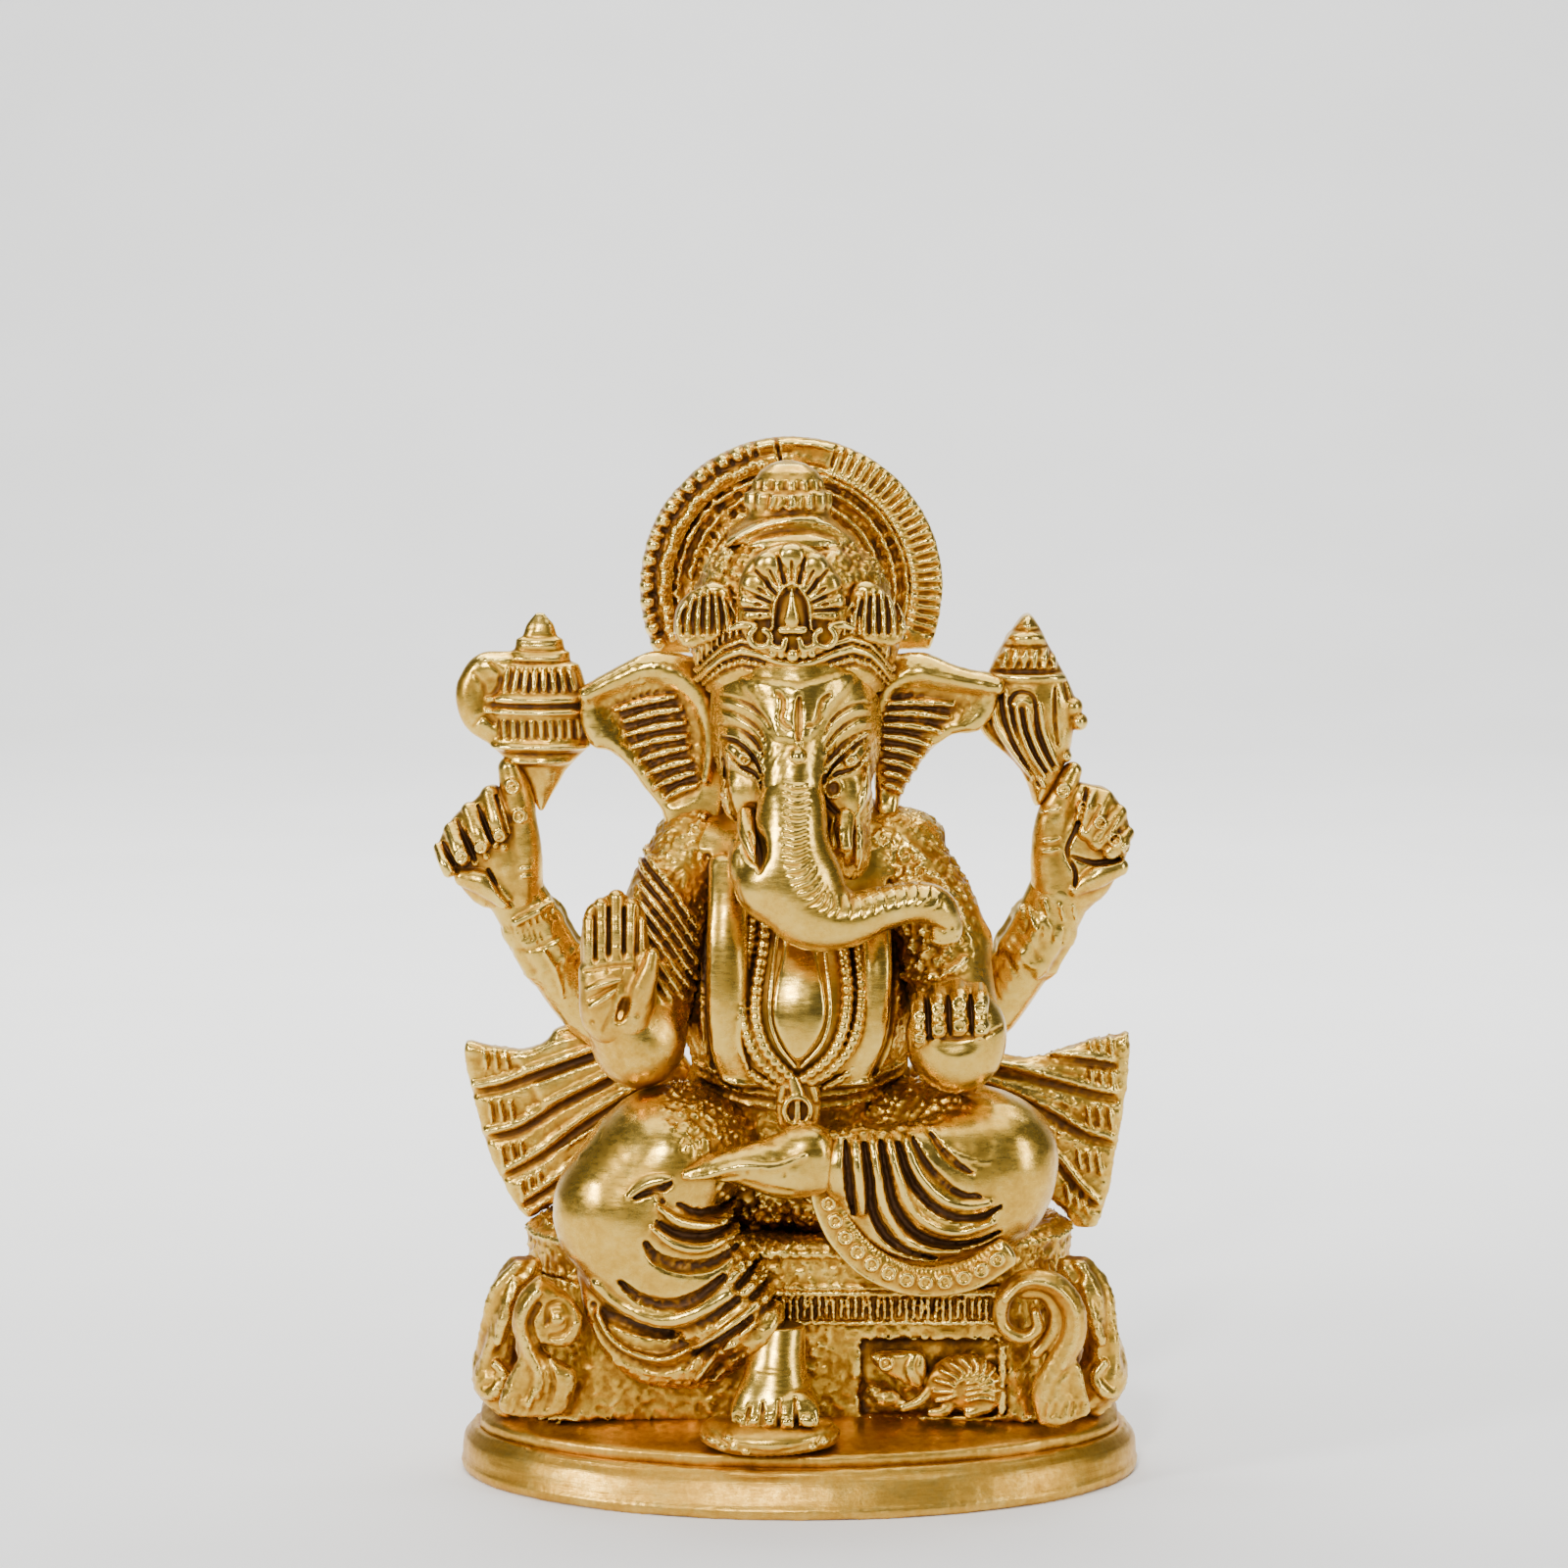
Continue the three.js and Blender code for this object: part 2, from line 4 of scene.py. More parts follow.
import bpy
import numpy as np
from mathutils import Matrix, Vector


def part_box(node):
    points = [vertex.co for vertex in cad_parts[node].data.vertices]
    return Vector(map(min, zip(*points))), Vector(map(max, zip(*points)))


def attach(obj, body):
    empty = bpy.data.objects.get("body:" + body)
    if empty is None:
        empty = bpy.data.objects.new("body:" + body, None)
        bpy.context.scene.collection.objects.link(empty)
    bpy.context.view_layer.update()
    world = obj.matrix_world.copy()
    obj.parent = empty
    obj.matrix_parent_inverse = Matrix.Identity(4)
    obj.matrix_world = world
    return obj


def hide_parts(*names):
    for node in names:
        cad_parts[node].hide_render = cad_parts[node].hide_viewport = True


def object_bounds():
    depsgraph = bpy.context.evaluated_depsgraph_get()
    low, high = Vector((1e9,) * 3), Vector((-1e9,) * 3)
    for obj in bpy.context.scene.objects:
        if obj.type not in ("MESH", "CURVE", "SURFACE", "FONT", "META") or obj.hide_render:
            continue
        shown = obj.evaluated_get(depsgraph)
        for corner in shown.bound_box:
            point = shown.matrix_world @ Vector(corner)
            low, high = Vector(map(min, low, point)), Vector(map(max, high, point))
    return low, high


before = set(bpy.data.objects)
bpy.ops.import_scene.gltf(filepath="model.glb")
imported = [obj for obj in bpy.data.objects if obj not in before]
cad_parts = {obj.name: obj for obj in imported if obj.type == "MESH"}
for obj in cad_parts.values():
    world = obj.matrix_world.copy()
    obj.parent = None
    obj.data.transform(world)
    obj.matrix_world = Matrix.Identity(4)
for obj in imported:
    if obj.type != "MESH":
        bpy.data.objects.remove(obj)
cad_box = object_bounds()

# Every form is modelled in millimetres from the middle of the oval base's foot, where the frame puts it:
# +X to the figure's left hand, -Y the way it faces, +Z up. "right" and "left" are the figure's own sides.
MM = 0.001
base_low, base_high = (np.array(corner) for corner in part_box("base_plate"))
FOOT = np.array([(base_low[0] + base_high[0]) / 2, (base_low[1] + base_high[1]) / 2, base_low[2]])

# ---- camera ---------------------------------------------------------------------------------------

EYE = (-1.9, -600.0, 166.0)  # mm from the foot of the base: a little above the halo, square to the front
EYE_PITCH = 82.315  # degrees up from looking straight down
LENS = 114.1  # mm on a 36 mm wide sensor

camera = bpy.data.objects.new("camera", bpy.data.cameras.new("camera"))
camera.location = FOOT + np.array(EYE) * MM
camera.rotation_euler = (math.radians(EYE_PITCH), 0, 0)
camera.data.lens = LENS
camera.data.sensor_width = 36
camera.data.clip_start = 0.05
bpy.context.scene.collection.objects.link(camera)
bpy.context.scene.camera = camera

# ---- modelling in wax: a block of distances to the surface ------------------------------------------

FAR = 9.0  # mm, stands for "well outside"
BUFFED = 0.6  # the share of a chisel line's depth that buffing leaves
SKIN_DEEP = 0.9  # mm each way from the surface, how far a texture is worked in
STRAY = 0.7  # how far a grain strays from its place, in grains
GRAIN_SPREAD = 0.35  # the square of a grain's radius, in grains
GRAIN_MEAN = 0.45  # the height of a grained ground that counts as the plain surface


def smooth_path(stops, steps, closed=False):
    """A rounded path through rows of numbers: the first three are a point, the rest go along with it."""
    rows = np.array(stops, float)
    if closed:
        rows = np.vstack([rows[-1:], rows, rows[:2]])
    else:
        rows = np.vstack([2 * rows[0] - rows[1], rows, 2 * rows[-1] - rows[-2]])
    out = []
    t = np.linspace(0, 1, steps, endpoint=False)[:, None]
    for a, b, c, d in zip(rows, rows[1:], rows[2:], rows[3:]):
        out.append(0.5 * (2 * b + (c - a) * t + (2 * a - 5 * b + 4 * c - d) * t**2
            + (3 * b - a - 3 * c + d) * t**3))
    out.append(rows[-2:-1])
    return np.vstack(out)


def smooth_low(a, b, blend):
    """The lower of two distances, with the corner between them filled like a wax fillet."""
    low = np.minimum(a, b)
    if blend > 0:
        near = np.maximum(blend - np.abs(a - b), 0) / blend
        low -= near * near * (blend / 4)
    return low


def turn_rows(degrees):
    """Rows of the matrix that turns a point into a tilted form's own axes."""
    ax, ay, az = np.radians(degrees)
    cx, sx, cy, sy, cz, sz = np.cos(ax), np.sin(ax), np.cos(ay), np.sin(ay), np.cos(az), np.sin(az)
    rx = np.array([[1, 0, 0], [0, cx, -sx], [0, sx, cx]])
    ry = np.array([[cy, 0, sy], [0, 1, 0], [-sy, 0, cy]])
    rz = np.array([[cz, -sz, 0], [sz, cz, 0], [0, 0, 1]])
    return (rz @ ry @ rx).T


def outline_distance(points, x, z):
    """Distance in the XZ plane to a closed outline, negative inside it."""
    nearest = np.full(np.broadcast(x, z).shape, 1e6, np.float32)
    inside = np.zeros(nearest.shape, bool)
    for (ax, az), (bx, bz) in zip(points, np.roll(points, -1, axis=0)):
        ex, ez = bx - ax, bz - az
        px, pz = x - ax, z - az
        t = np.clip((px * ex + pz * ez) / (ex * ex + ez * ez + 1e-9), 0, 1)
        nearest = np.minimum(nearest, (px - t * ex) ** 2 + (pz - t * ez) ** 2)
        if abs(ez) > 1e-9:
            inside ^= ((az > z) != (bz > z)) & (x < ex * (z - az) / ez + ax)
    return np.where(inside, -np.sqrt(nearest), np.sqrt(nearest))


CORNERS = [(a, b, c) for a in (0, 1) for b in (0, 1) for c in (0, 1)]  # of a lattice cell


def walk(path):
    """A path's length, and a function that gives its point at a distance along it."""
    reach = np.concatenate([[0], np.cumsum(np.hypot(*np.diff(path, axis=0).T))])
    return reach[-1], lambda s: [np.interp(s, reach, path[:, k]) for k in (0, 1)]


def scatter(i, j, k, salt):
    """A repeatable number from 0 to 1 for each lattice cell."""
    n = i * 73856093 ^ j * 19349663 ^ k * 83492791 ^ salt * 2654435761
    n = (n ^ (n >> 13)) * 1274126177 & 0x7FFFFFFF
    return ((n ^ (n >> 16)) & 0xFFFF) / 65535.0


def askew(x, y, z):
    """A point on axes that no face of the casting lines up with, so that grains fall in no rows."""
    u, v = 0.82 * x - 0.57 * z, 0.57 * x + 0.82 * z
    return u, 0.85 * y - 0.53 * v, 0.53 * y + 0.85 * v


def swell(x, y, z, size, salt=1):
    """Soft lumps about `size` mm across, from -1 to 1."""
    px, py, pz = (p / size for p in askew(x, y, z))
    i, j, k = (np.floor(p).astype(np.int64) for p in (px, py, pz))
    u, v, w = px - i, py - j, pz - k
    u, v, w = (p * p * (3 - 2 * p) for p in (u, v, w))
    total = 0
    for a, b, c in CORNERS:
        weight = (u if a else 1 - u) * (v if b else 1 - v) * (w if c else 1 - w)
        total = total + weight * scatter(i + a, j + b, k + c, salt)
    return 2 * total - 1


def pebbles(x, y, z, size, salt=3):
    """Round grains about `size` mm across, 1 at a grain's middle and 0 between grains."""
    px, py, pz = (p / size for p in askew(x, y, z))
    i, j, k = (np.floor(p).astype(np.int64) for p in (px, py, pz))
    nearest = np.full(px.shape, FAR)
    for corner in CORNERS:
        a, b, c = i + corner[0], j + corner[1], k + corner[2]
        gx = px - a - STRAY * (scatter(a, b, c, salt) - 0.5)
        gy = py - b - STRAY * (scatter(a, b, c, salt + 1) - 0.5)
        gz = pz - c - STRAY * (scatter(a, b, c, salt + 2) - 0.5)
        nearest = np.minimum(nearest, gx * gx + gy * gy + gz * gz)
    return np.clip(1 - nearest / GRAIN_SPREAD, 0, 1)


class Relief:
    """Heights in mm over the XZ plane, for lines that are chased or raised on a form's front."""

    def __init__(self, clay):
        self.x = clay.axes[0][:, None]
        self.z = clay.axes[2][None, :]
        self.cell = clay.cell
        self.low = clay.low[[0, 2]]
        self.raised = np.zeros((self.x.size, self.z.size), np.float32)
        self.sunk = np.zeros_like(self.raised)

    def window(self, low, high):
        """The slices between two corners, with their x and z."""
        a = np.clip(np.floor((np.array(low) - self.low) / self.cell).astype(int), 0, None)
        b = np.clip(np.ceil((np.array(high) - self.low) / self.cell).astype(int) + 1, 0, None)
        s = (slice(a[0], b[0]), slice(a[1], b[1]))
        return s, self.x[s[0]], self.z[:, s[1]]

    def lay(self, s, height):
        """Keeps the highest ridge and the deepest groove at each spot."""
        self.raised[s] = np.maximum(self.raised[s], height)
        self.sunk[s] = np.minimum(self.sunk[s], height)

    def line(self, points, half, height, taper=0.0):
        """A rounded ridge, or a groove if height is negative, along a smooth line; taper narrows its ends."""
        path = smooth_path(points, 6) if len(points) > 2 else np.array(points, float)
        reach = half * 1.2
        s, x, z = self.window(path.min(0) - reach, path.max(0) + reach)
        if x.size == 0 or z.size == 0:
            return
        nearest = np.full((x.size, z.size), 1e6, np.float32)
        share = np.zeros_like(nearest)
        count = len(path) - 1
        for n, ((ax, az), (bx, bz)) in enumerate(zip(path, path[1:])):
            ex, ez = bx - ax, bz - az
            t = np.clip(((x - ax) * ex + (z - az) * ez) / (ex * ex + ez * ez + 1e-9), 0, 1)
            d = (x - ax - t * ex) ** 2 + (z - az - t * ez) ** 2
            closer = d < nearest
            nearest[closer] = d[closer]
            share[closer] = ((n + t) / count)[closer]
        width = half * (1 - taper * np.abs(2 * share - 1) ** 2)
        self.lay(s, height * np.clip(1 - nearest / (width * width), 0, 1))

    def lines(self, *rows):
        """Several lines, each a row of its points, half width, height and, if it narrows, taper."""
        for row in rows:
            self.line(*row)

    def dot(self, x0, z0, half, height):
        """A round boss, or a pit."""
        s, x, z = self.window((x0 - half, z0 - half), (x0 + half, z0 + half))
        self.lay(s, height * np.sqrt(np.clip(1 - ((x - x0) ** 2 + (z - z0) ** 2) / half**2, 0, 1)))

    def ring(self, x0, z0, radius, half, height):
        """A punched ring."""
        reach = radius + half
        s, x, z = self.window((x0 - reach, z0 - reach), (x0 + reach, z0 + reach))
        off = np.sqrt((x - x0) ** 2 + (z - z0) ** 2) - radius
        self.lay(s, height * np.clip(1 - (off / half) ** 2, 0, 1))

    def field(self, points, height, soft=0.5, steps=4):
        """A flat raised or sunk area inside a smooth outline."""
        path = smooth_path(points, steps, closed=True)
        s, x, z = self.window(path.min(0) - soft, path.max(0) + soft)
        self.lay(s, height * np.clip(0.5 - outline_distance(path, x, z) / soft, 0, 1))

    def grooves_of(self, other):
        """Takes in the grooves of another relief, for matting them."""
        self.raised = np.maximum(self.raised, np.clip(-other.sunk, 0, 1))

    def heights(self):
        """Ridges and grooves together, after buffing."""
        return self.raised + BUFFED * self.sunk


class Clay:
    """Modelling space for one piece: distances in mm to its surface on a grid, negative inside."""

    def __init__(self, low, high, cell):
        self.cell = cell
        self.low = np.array(low, float)
        counts = np.ceil((np.array(high) - self.low) / cell).astype(int) + 1
        self.axes = [np.float32(self.low[k] + cell * np.arange(counts[k])) for k in range(3)]
        self.gap = np.full(counts, FAR, np.float32)

    def window(self, low, high):
        """The slices between two corners, with their x, y and z."""
        a = np.clip(np.floor((np.array(low) - self.low) / self.cell).astype(int), 0, self.gap.shape)
        b = np.clip(np.ceil((np.array(high) - self.low) / self.cell).astype(int) + 1, 0, self.gap.shape)
        s = tuple(slice(p, q) for p, q in zip(a, b))
        x, y, z = (self.axes[k][s[k]] for k in range(3))
        return s, x[:, None, None], y[None, :, None], z[None, None, :]

    def merge(self, s, distance, blend=0.0, cut=False):
        """Adds a form to the wax, or cuts it out, with a fillet of about `blend` mm."""
        if cut:
            self.gap[s] = -smooth_low(-self.gap[s], distance, blend)
        else:
            self.gap[s] = smooth_low(self.gap[s], distance, blend)

    def ball(self, centre, radii, turn=None, blend=0.0, cut=False):
        """An egg: radii along X, Y and Z, then tilted by turn degrees."""
        radii = np.array(radii, float) * np.ones(3)
        reach = radii.max() + blend + 1.2
        centre = np.array(centre, float)
        s, x, y, z = self.window(centre - reach, centre + reach)
        x, y, z = x - np.float32(centre[0]), y - np.float32(centre[1]), z - np.float32(centre[2])
        if turn is not None:
            m = np.float32(turn_rows(turn))
            x, y, z = (m[k, 0] * x + m[k, 1] * y + m[k, 2] * z for k in range(3))
        rx, ry, rz = np.float32(radii)
        k0 = np.sqrt((x / rx) ** 2 + (y / ry) ** 2 + (z / rz) ** 2)
        k1 = np.sqrt((x / rx**2) ** 2 + (y / ry**2) ** 2 + (z / rz**2) ** 2)
        self.merge(s, k0 * (k0 - 1) / np.maximum(k1, 1e-4), blend, cut)

    def tube(self, stops, blend=0.0, steps=5, pattern=None, closed=False):
        """A limb, wire or roll along a smooth path of x, y, z, half width, half depth rows.

        pattern(along, around) gives raised mm from the distance along the path and the angle round it.
        """
        rows = [tuple(stop) + (stop[3],) if len(stop) == 4 else tuple(stop) for stop in stops]
        path = smooth_path(rows, steps, closed)
        path[:, 3:] = np.maximum(path[:, 3:], 0.05)
        reach = blend + 0.9
        widest = path[:, 3:].max() + reach
        s, x, y, z = self.window(path[:, :3].min(0) - widest, path[:, :3].max(0) + widest)
        distance = np.full([p.stop - p.start for p in s], FAR, np.float32)
        begun = 0.0
        for a, b in zip(path, path[1:]):
            along = b[:3] - a[:3]
            length = float(np.linalg.norm(along))
            if length < 1e-6:
                continue
            along = along / length
            across = np.cross(along, (0, 1, 0))
            if np.linalg.norm(across) < 0.2:
                across = np.cross(along, (0, 0, 1))
            across = across / np.linalg.norm(across)
            inward = np.cross(across, along)
            wide = max(a[3], b[3], a[4], b[4]) + reach
            low = np.minimum(a[:3], b[:3]) - wide
            high = np.maximum(a[:3], b[:3]) + wide
            t_s, tx, ty, tz = self.window(low, high)
            local = tuple(slice(p.start - q.start, p.stop - q.start) for p, q in zip(t_s, s))
            px, py, pz = tx - np.float32(a[0]), ty - np.float32(a[1]), tz - np.float32(a[2])
            d, u, v = (np.float32(axis[0]) * px + np.float32(axis[1]) * py + np.float32(axis[2]) * pz
                for axis in (along, across, inward))
            t = np.clip(d / np.float32(length), 0, 1)
            ra = np.float32(a[3]) + np.float32(b[3] - a[3]) * t
            rb = np.float32(a[4]) + np.float32(b[4] - a[4]) * t
            rl = np.minimum(ra, rb)
            past = d - t * np.float32(length)
            k0 = np.sqrt((u / ra) ** 2 + (v / rb) ** 2 + (past / rl) ** 2)
            k1 = np.sqrt((u / ra**2) ** 2 + (v / rb**2) ** 2 + (past / rl**2) ** 2)
            part = k0 * (k0 - 1) / np.maximum(k1, 1e-4)
            if pattern is not None:
                part = part - pattern(begun + t * length, np.arctan2(v / rb, u / ra))
            distance[local] = np.minimum(distance[local], part)
            begun += length
        self.merge(s, distance, blend)

    def turned(self, profile, centre=(0, 0), squash=1.0, blend=0.0, cut=False, pattern=None):
        """An oval turned form about an upright axis, from rows of half width, z and perhaps half depth."""
        rows = np.array([row if len(row) == 3 else (*row, row[0] * squash) for row in profile], float)
        wide, deep = rows[:, 0].max() + 2, rows[:, 2].max() + 2
        low = (centre[0] - wide, centre[1] - deep, rows[0, 1] - 2)
        high = (centre[0] + wide, centre[1] + deep, rows[-1, 1] + 2)
        s, x, y, z = self.window(low, high)
        if x.size < 2 or y.size < 2 or z.size < 2:
            return
        a = np.interp(z, rows[:, 1], rows[:, 0]).astype(np.float32)
        b = np.interp(z, rows[:, 1], rows[:, 2]).astype(np.float32)
        px, py = x - np.float32(centre[0]), y - np.float32(centre[1])
        k0 = np.sqrt((px / a) ** 2 + (py / b) ** 2) + 1e-4
        k1 = np.sqrt((px / a**2) ** 2 + (py / b**2) ** 2) + 1e-4
        front = (py / b / k0) ** 2
        slope = np.gradient(a, self.cell, axis=2) * (1 - front) + np.gradient(b, self.cell, axis=2) * front
        distance = k0 * (k0 - 1) / k1 / np.sqrt(1 + slope**2)
        if pattern is not None:
            distance = distance - pattern(np.arctan2(px / a, -py / b), z)
        distance = np.maximum(distance, np.maximum(rows[0, 1] - z, z - rows[-1, 1]))
        self.merge(s, distance.astype(np.float32), blend, cut)

    def slab(self, outline, y, thick, rounded=0.6, blend=0.0, cut=False, smooth=4):
        """A plate standing in the XZ plane; y, a number or a function of x and z, is its middle's depth."""
        path = smooth_path(outline, smooth, closed=True) if smooth else np.array(outline, float)
        middle = y if callable(y) else (lambda x, z: y + 0 * x)
        depths = middle(path[:, 0], path[:, 1])
        reach = thick + blend + 2.5
        low = (path[:, 0].min() - reach, depths.min() - reach - 2, path[:, 1].min() - reach)
        high = (path[:, 0].max() + reach, depths.max() + reach + 2, path[:, 1].max() + reach)
        s, x, py, z = self.window(low, high)
        edge = outline_distance(path, x[:, 0], z[:, 0])[:, None, :] + rounded
        face = np.abs(py - middle(x, z)) - (thick / 2 - rounded)
        outside = np.hypot(np.maximum(edge, 0), np.maximum(face, 0))
        distance = np.minimum(np.maximum(edge, face), 0) + outside - rounded
        self.merge(s, distance.astype(np.float32), blend, cut)

    def block(self, low, high, rounded=0.3, blend=0.0, cut=False):
        """A squared block between two corners."""
        low, high = np.array(low, float), np.array(high, float)
        s, x, y, z = self.window(low - 2 - blend, high + 2 + blend)
        out = [np.abs(p - (a + b) / 2) - ((b - a) / 2 - rounded) for p, a, b in zip((x, y, z), low, high)]
        inner = np.minimum(np.maximum(np.maximum(out[0], out[1]), out[2]), 0)
        outer = np.sqrt(sum(np.maximum(p, 0) ** 2 for p in out))
        self.merge(s, (inner + outer - rounded).astype(np.float32), blend, cut)

    def trim_front(self, y, blend=1.0):
        """Flattens everything that stands further forward than y."""
        flat = y - self.axes[1][None, :, None] + 0 * self.gap
        self.gap = -smooth_low(-self.gap, -flat, blend)

    def press(self, relief, back, fade=1.5):
        """Raises and sinks the surface by a relief, on the side that faces the front of depth `back`."""
        share = np.clip((back - self.axes[1]) / fade, 0, 1)
        self.gap -= relief.heights()[:, None, :] * share[None, :, None]

    def press_behind(self, relief, front, fade, depth=1.0):
        """The same on the side that faces the back of depth `front`."""
        share = np.clip((self.axes[1] - front) / fade, 0, 1)
        self.gap -= depth * relief.heights()[:, None, :] * share[None, :, None]

    def emboss(self, height):
        """Raises the surface by height(x, y, z), worked out only near the surface."""
        i, j, k = np.nonzero(np.abs(self.gap) < SKIN_DEEP)
        self.gap[i, j, k] -= height(self.axes[0][i], self.axes[1][j], self.axes[2][k]).astype(np.float32)

    def skin(self):
        """Corner points in mm and quads of the surface."""
        g = self.gap.copy()
        for k in range(3):
            edge = [slice(None)] * 3
            for end in (0, -1):
                edge[k] = end
                g[tuple(edge)] = np.maximum(g[tuple(edge)], 0.01)
        inside = g < 0
        part = [slice(None, -1), slice(1, None)]
        count = sum(inside[part[a], part[b], part[c]].astype(np.uint8) for a, b, c in CORNERS)
        cells = np.argwhere((count > 0) & (count < 8))
        number = np.full(count.shape, -1, np.int32)
        number[tuple(cells.T)] = np.arange(len(cells))
        value = {c: g[tuple((cells + c).T)] for c in CORNERS}
        total = np.zeros((len(cells), 3))
        hits = np.zeros(len(cells))
        for c in CORNERS:
            for k in range(3):
                if c[k]:
                    continue
                e = tuple(1 if n == k else c[n] for n in range(3))
                crossed = (value[c] < 0) != (value[e] < 0)
                t = value[c][crossed] / (value[c][crossed] - value[e][crossed])
                spot = np.tile(np.array(c, float), (crossed.sum(), 1))
                spot[:, k] = t
                total[crossed] += spot
                hits[crossed] += 1
        points = (cells + total / hits[:, None]) * self.cell + self.low
        quads = []
        for k in range(3):
            first, second = [slice(None)] * 3, [slice(None)] * 3
            first[k], second[k] = slice(None, -1), slice(1, None)
            a, b = inside[tuple(first)], inside[tuple(second)]
            spots = np.argwhere(a != b)
            m, n = [axis for axis in range(3) if axis != k]
            keep = (spots[:, m] > 0) & (spots[:, n] > 0)
            keep &= (spots[:, m] < g.shape[m] - 1) & (spots[:, n] < g.shape[n] - 1)
            spots = spots[keep]
            around = []
            for dm, dn in ((-1, -1), (0, -1), (0, 0), (-1, 0)):
                cell = spots.copy()
                cell[:, m] += dm
                cell[:, n] += dn
                around.append(number[tuple(cell.T)])
            quad = np.stack(around, axis=1)
            flip = a[tuple(spots.T)] if k != 1 else ~a[tuple(spots.T)]
            quad[~flip] = quad[~flip][:, ::-1]
            quads.append(quad)
        return points, np.vstack(quads)

# ---- the pieces, each worked in wax in the room of its own CAD node ----------------------------------

CAST = {}  # piece name: how it is modelled and finished


def cast(slot, brass, cell=0.3, room=1.6, filed=0.0):
    """Says that a function models the piece of its own name, on a grid of cell mm.

    room: mm of clear wax left round the piece's CAD box.
    filed: mm of unevenness that filing leaves at the end.
    """

    def note(model):
        CAST[model.__name__] = (model, slot, brass, cell, room, filed)
        return model

    return note


def room_of(name, room):
    """The corners in mm of the room that a piece is modelled in."""
    low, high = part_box(name)
    return (np.array(low) - FOOT) / MM - room, (np.array(high) - FOOT) / MM + room


def grained(clay, size=0.75, height=0.3, where=None, back=99.0, worn=0.0):
    """A matted ground: round grains struck close together, all over or where a relief of shares says."""
    i, j, k = np.nonzero(np.abs(clay.gap) < SKIN_DEEP)
    share = np.ones(len(i), np.float32) if where is None else where.raised[i, k]
    keep = (share > 0.02) & (clay.axes[1][j] < back)
    i, j, k, share = i[keep], j[keep], k[keep], share[keep]
    x, y, z = (clay.axes[n][index] for n, index in enumerate((i, j, k)))
    patchy = np.clip(0.85 + 0.5 * swell(x, y, z, 3.1, 11) - worn, 0.15, 1.2)
    clay.gap[i, j, k] -= height * share * patchy * (pebbles(x, y, z, size) - GRAIN_MEAN)


def hand_worked(clay, height=0.05):
    """The slight unevenness that filing and buffing leave on every face."""
    clay.emboss(lambda x, y, z: height * swell(x, y, z, 2.7, 5) + 0.4 * height * swell(x, y, z, 0.9, 6))


def front_face(clay):
    """The depth of a form's foremost surface, as a function of x and z."""
    solid = clay.gap < 0
    first = np.clip(solid.argmax(axis=1), 1, None)
    inner = np.take_along_axis(clay.gap, first[:, None, :], 1)[:, 0]
    outer = np.take_along_axis(clay.gap, first[:, None, :] - 1, 1)[:, 0]
    depth = clay.axes[1][first] - clay.cell * inner / np.minimum(inner - outer, -1e-6)
    depth = np.where(solid.any(axis=1), depth, clay.axes[1][-1])

    def at(x, z):
        i = np.clip((x - clay.low[0]) / clay.cell, 0, depth.shape[0] - 1.001)
        k = np.clip((z - clay.low[2]) / clay.cell, 0, depth.shape[1] - 1.001)
        i0, k0 = np.floor(i).astype(int), np.floor(k).astype(int)
        u, v = i - i0, k - k0
        low = depth[i0, k0] * (1 - u) + depth[i0 + 1, k0] * u
        high = depth[i0, k0 + 1] * (1 - u) + depth[i0 + 1, k0 + 1] * u
        return low * (1 - v) + high * v

    return at


def laid_on(face, points, lift, wide, deep=None):
    """Stops of a strand that follows a face through x, z points, its middle lifted off it."""
    points = smooth_path(points, 4)
    return [(x, float(face(np.array(x), np.array(z))) - lift, z, wide, deep or wide) for x, z in points]


# The base and the throne

@cast("base_rim", "turned_brass", cell=0.4)
def base_plate(clay):
    """The oval foot: an upright bead, then a long shoulder that sweeps in, turned and left bright."""
    clay.turned([(41.5, 0, 25.6), (41.8, 0.5, 26), (41.9, 1.2, 26), (41.7, 1.5, 25.7), (41.7, 2.6, 25.1),
        (41.6, 3.5, 24.7), (41.4, 4.3, 24.2), (40.9, 4.8, 23.7), (40.4, 5.6, 23.2)])
    clay.turned([(35.3, -3), (35.3, 7)], squash=0.568, cut=True)
    clay.emboss(lambda x, y, z: 0.05 * swell(x, y, z * 9, 4.0, 8) + 0.03 * swell(x, y, z, 1.6, 9))


@cast("throne", "turned_brass", cell=0.4, filed=0.1)
def upper_step(clay):
    """The step that the throne stands on: a soft lip, and a top that rises gently to the throne."""
    clay.turned([(39.9, 5.0, 22.7), (40.1, 6.1, 23.0), (40.0, 6.7, 23.1), (39.7, 7.1, 22.6),
        (39.2, 7.6, 20.2), (38.9, 8.1, 17.2), (38.6, 8.7, 13.8), (38.4, 9.3, 12)], centre=(0, 0.6))
    clay.turned([(29, -3, 11), (29, 11, 11)], centre=(0, 2.4), cut=True)


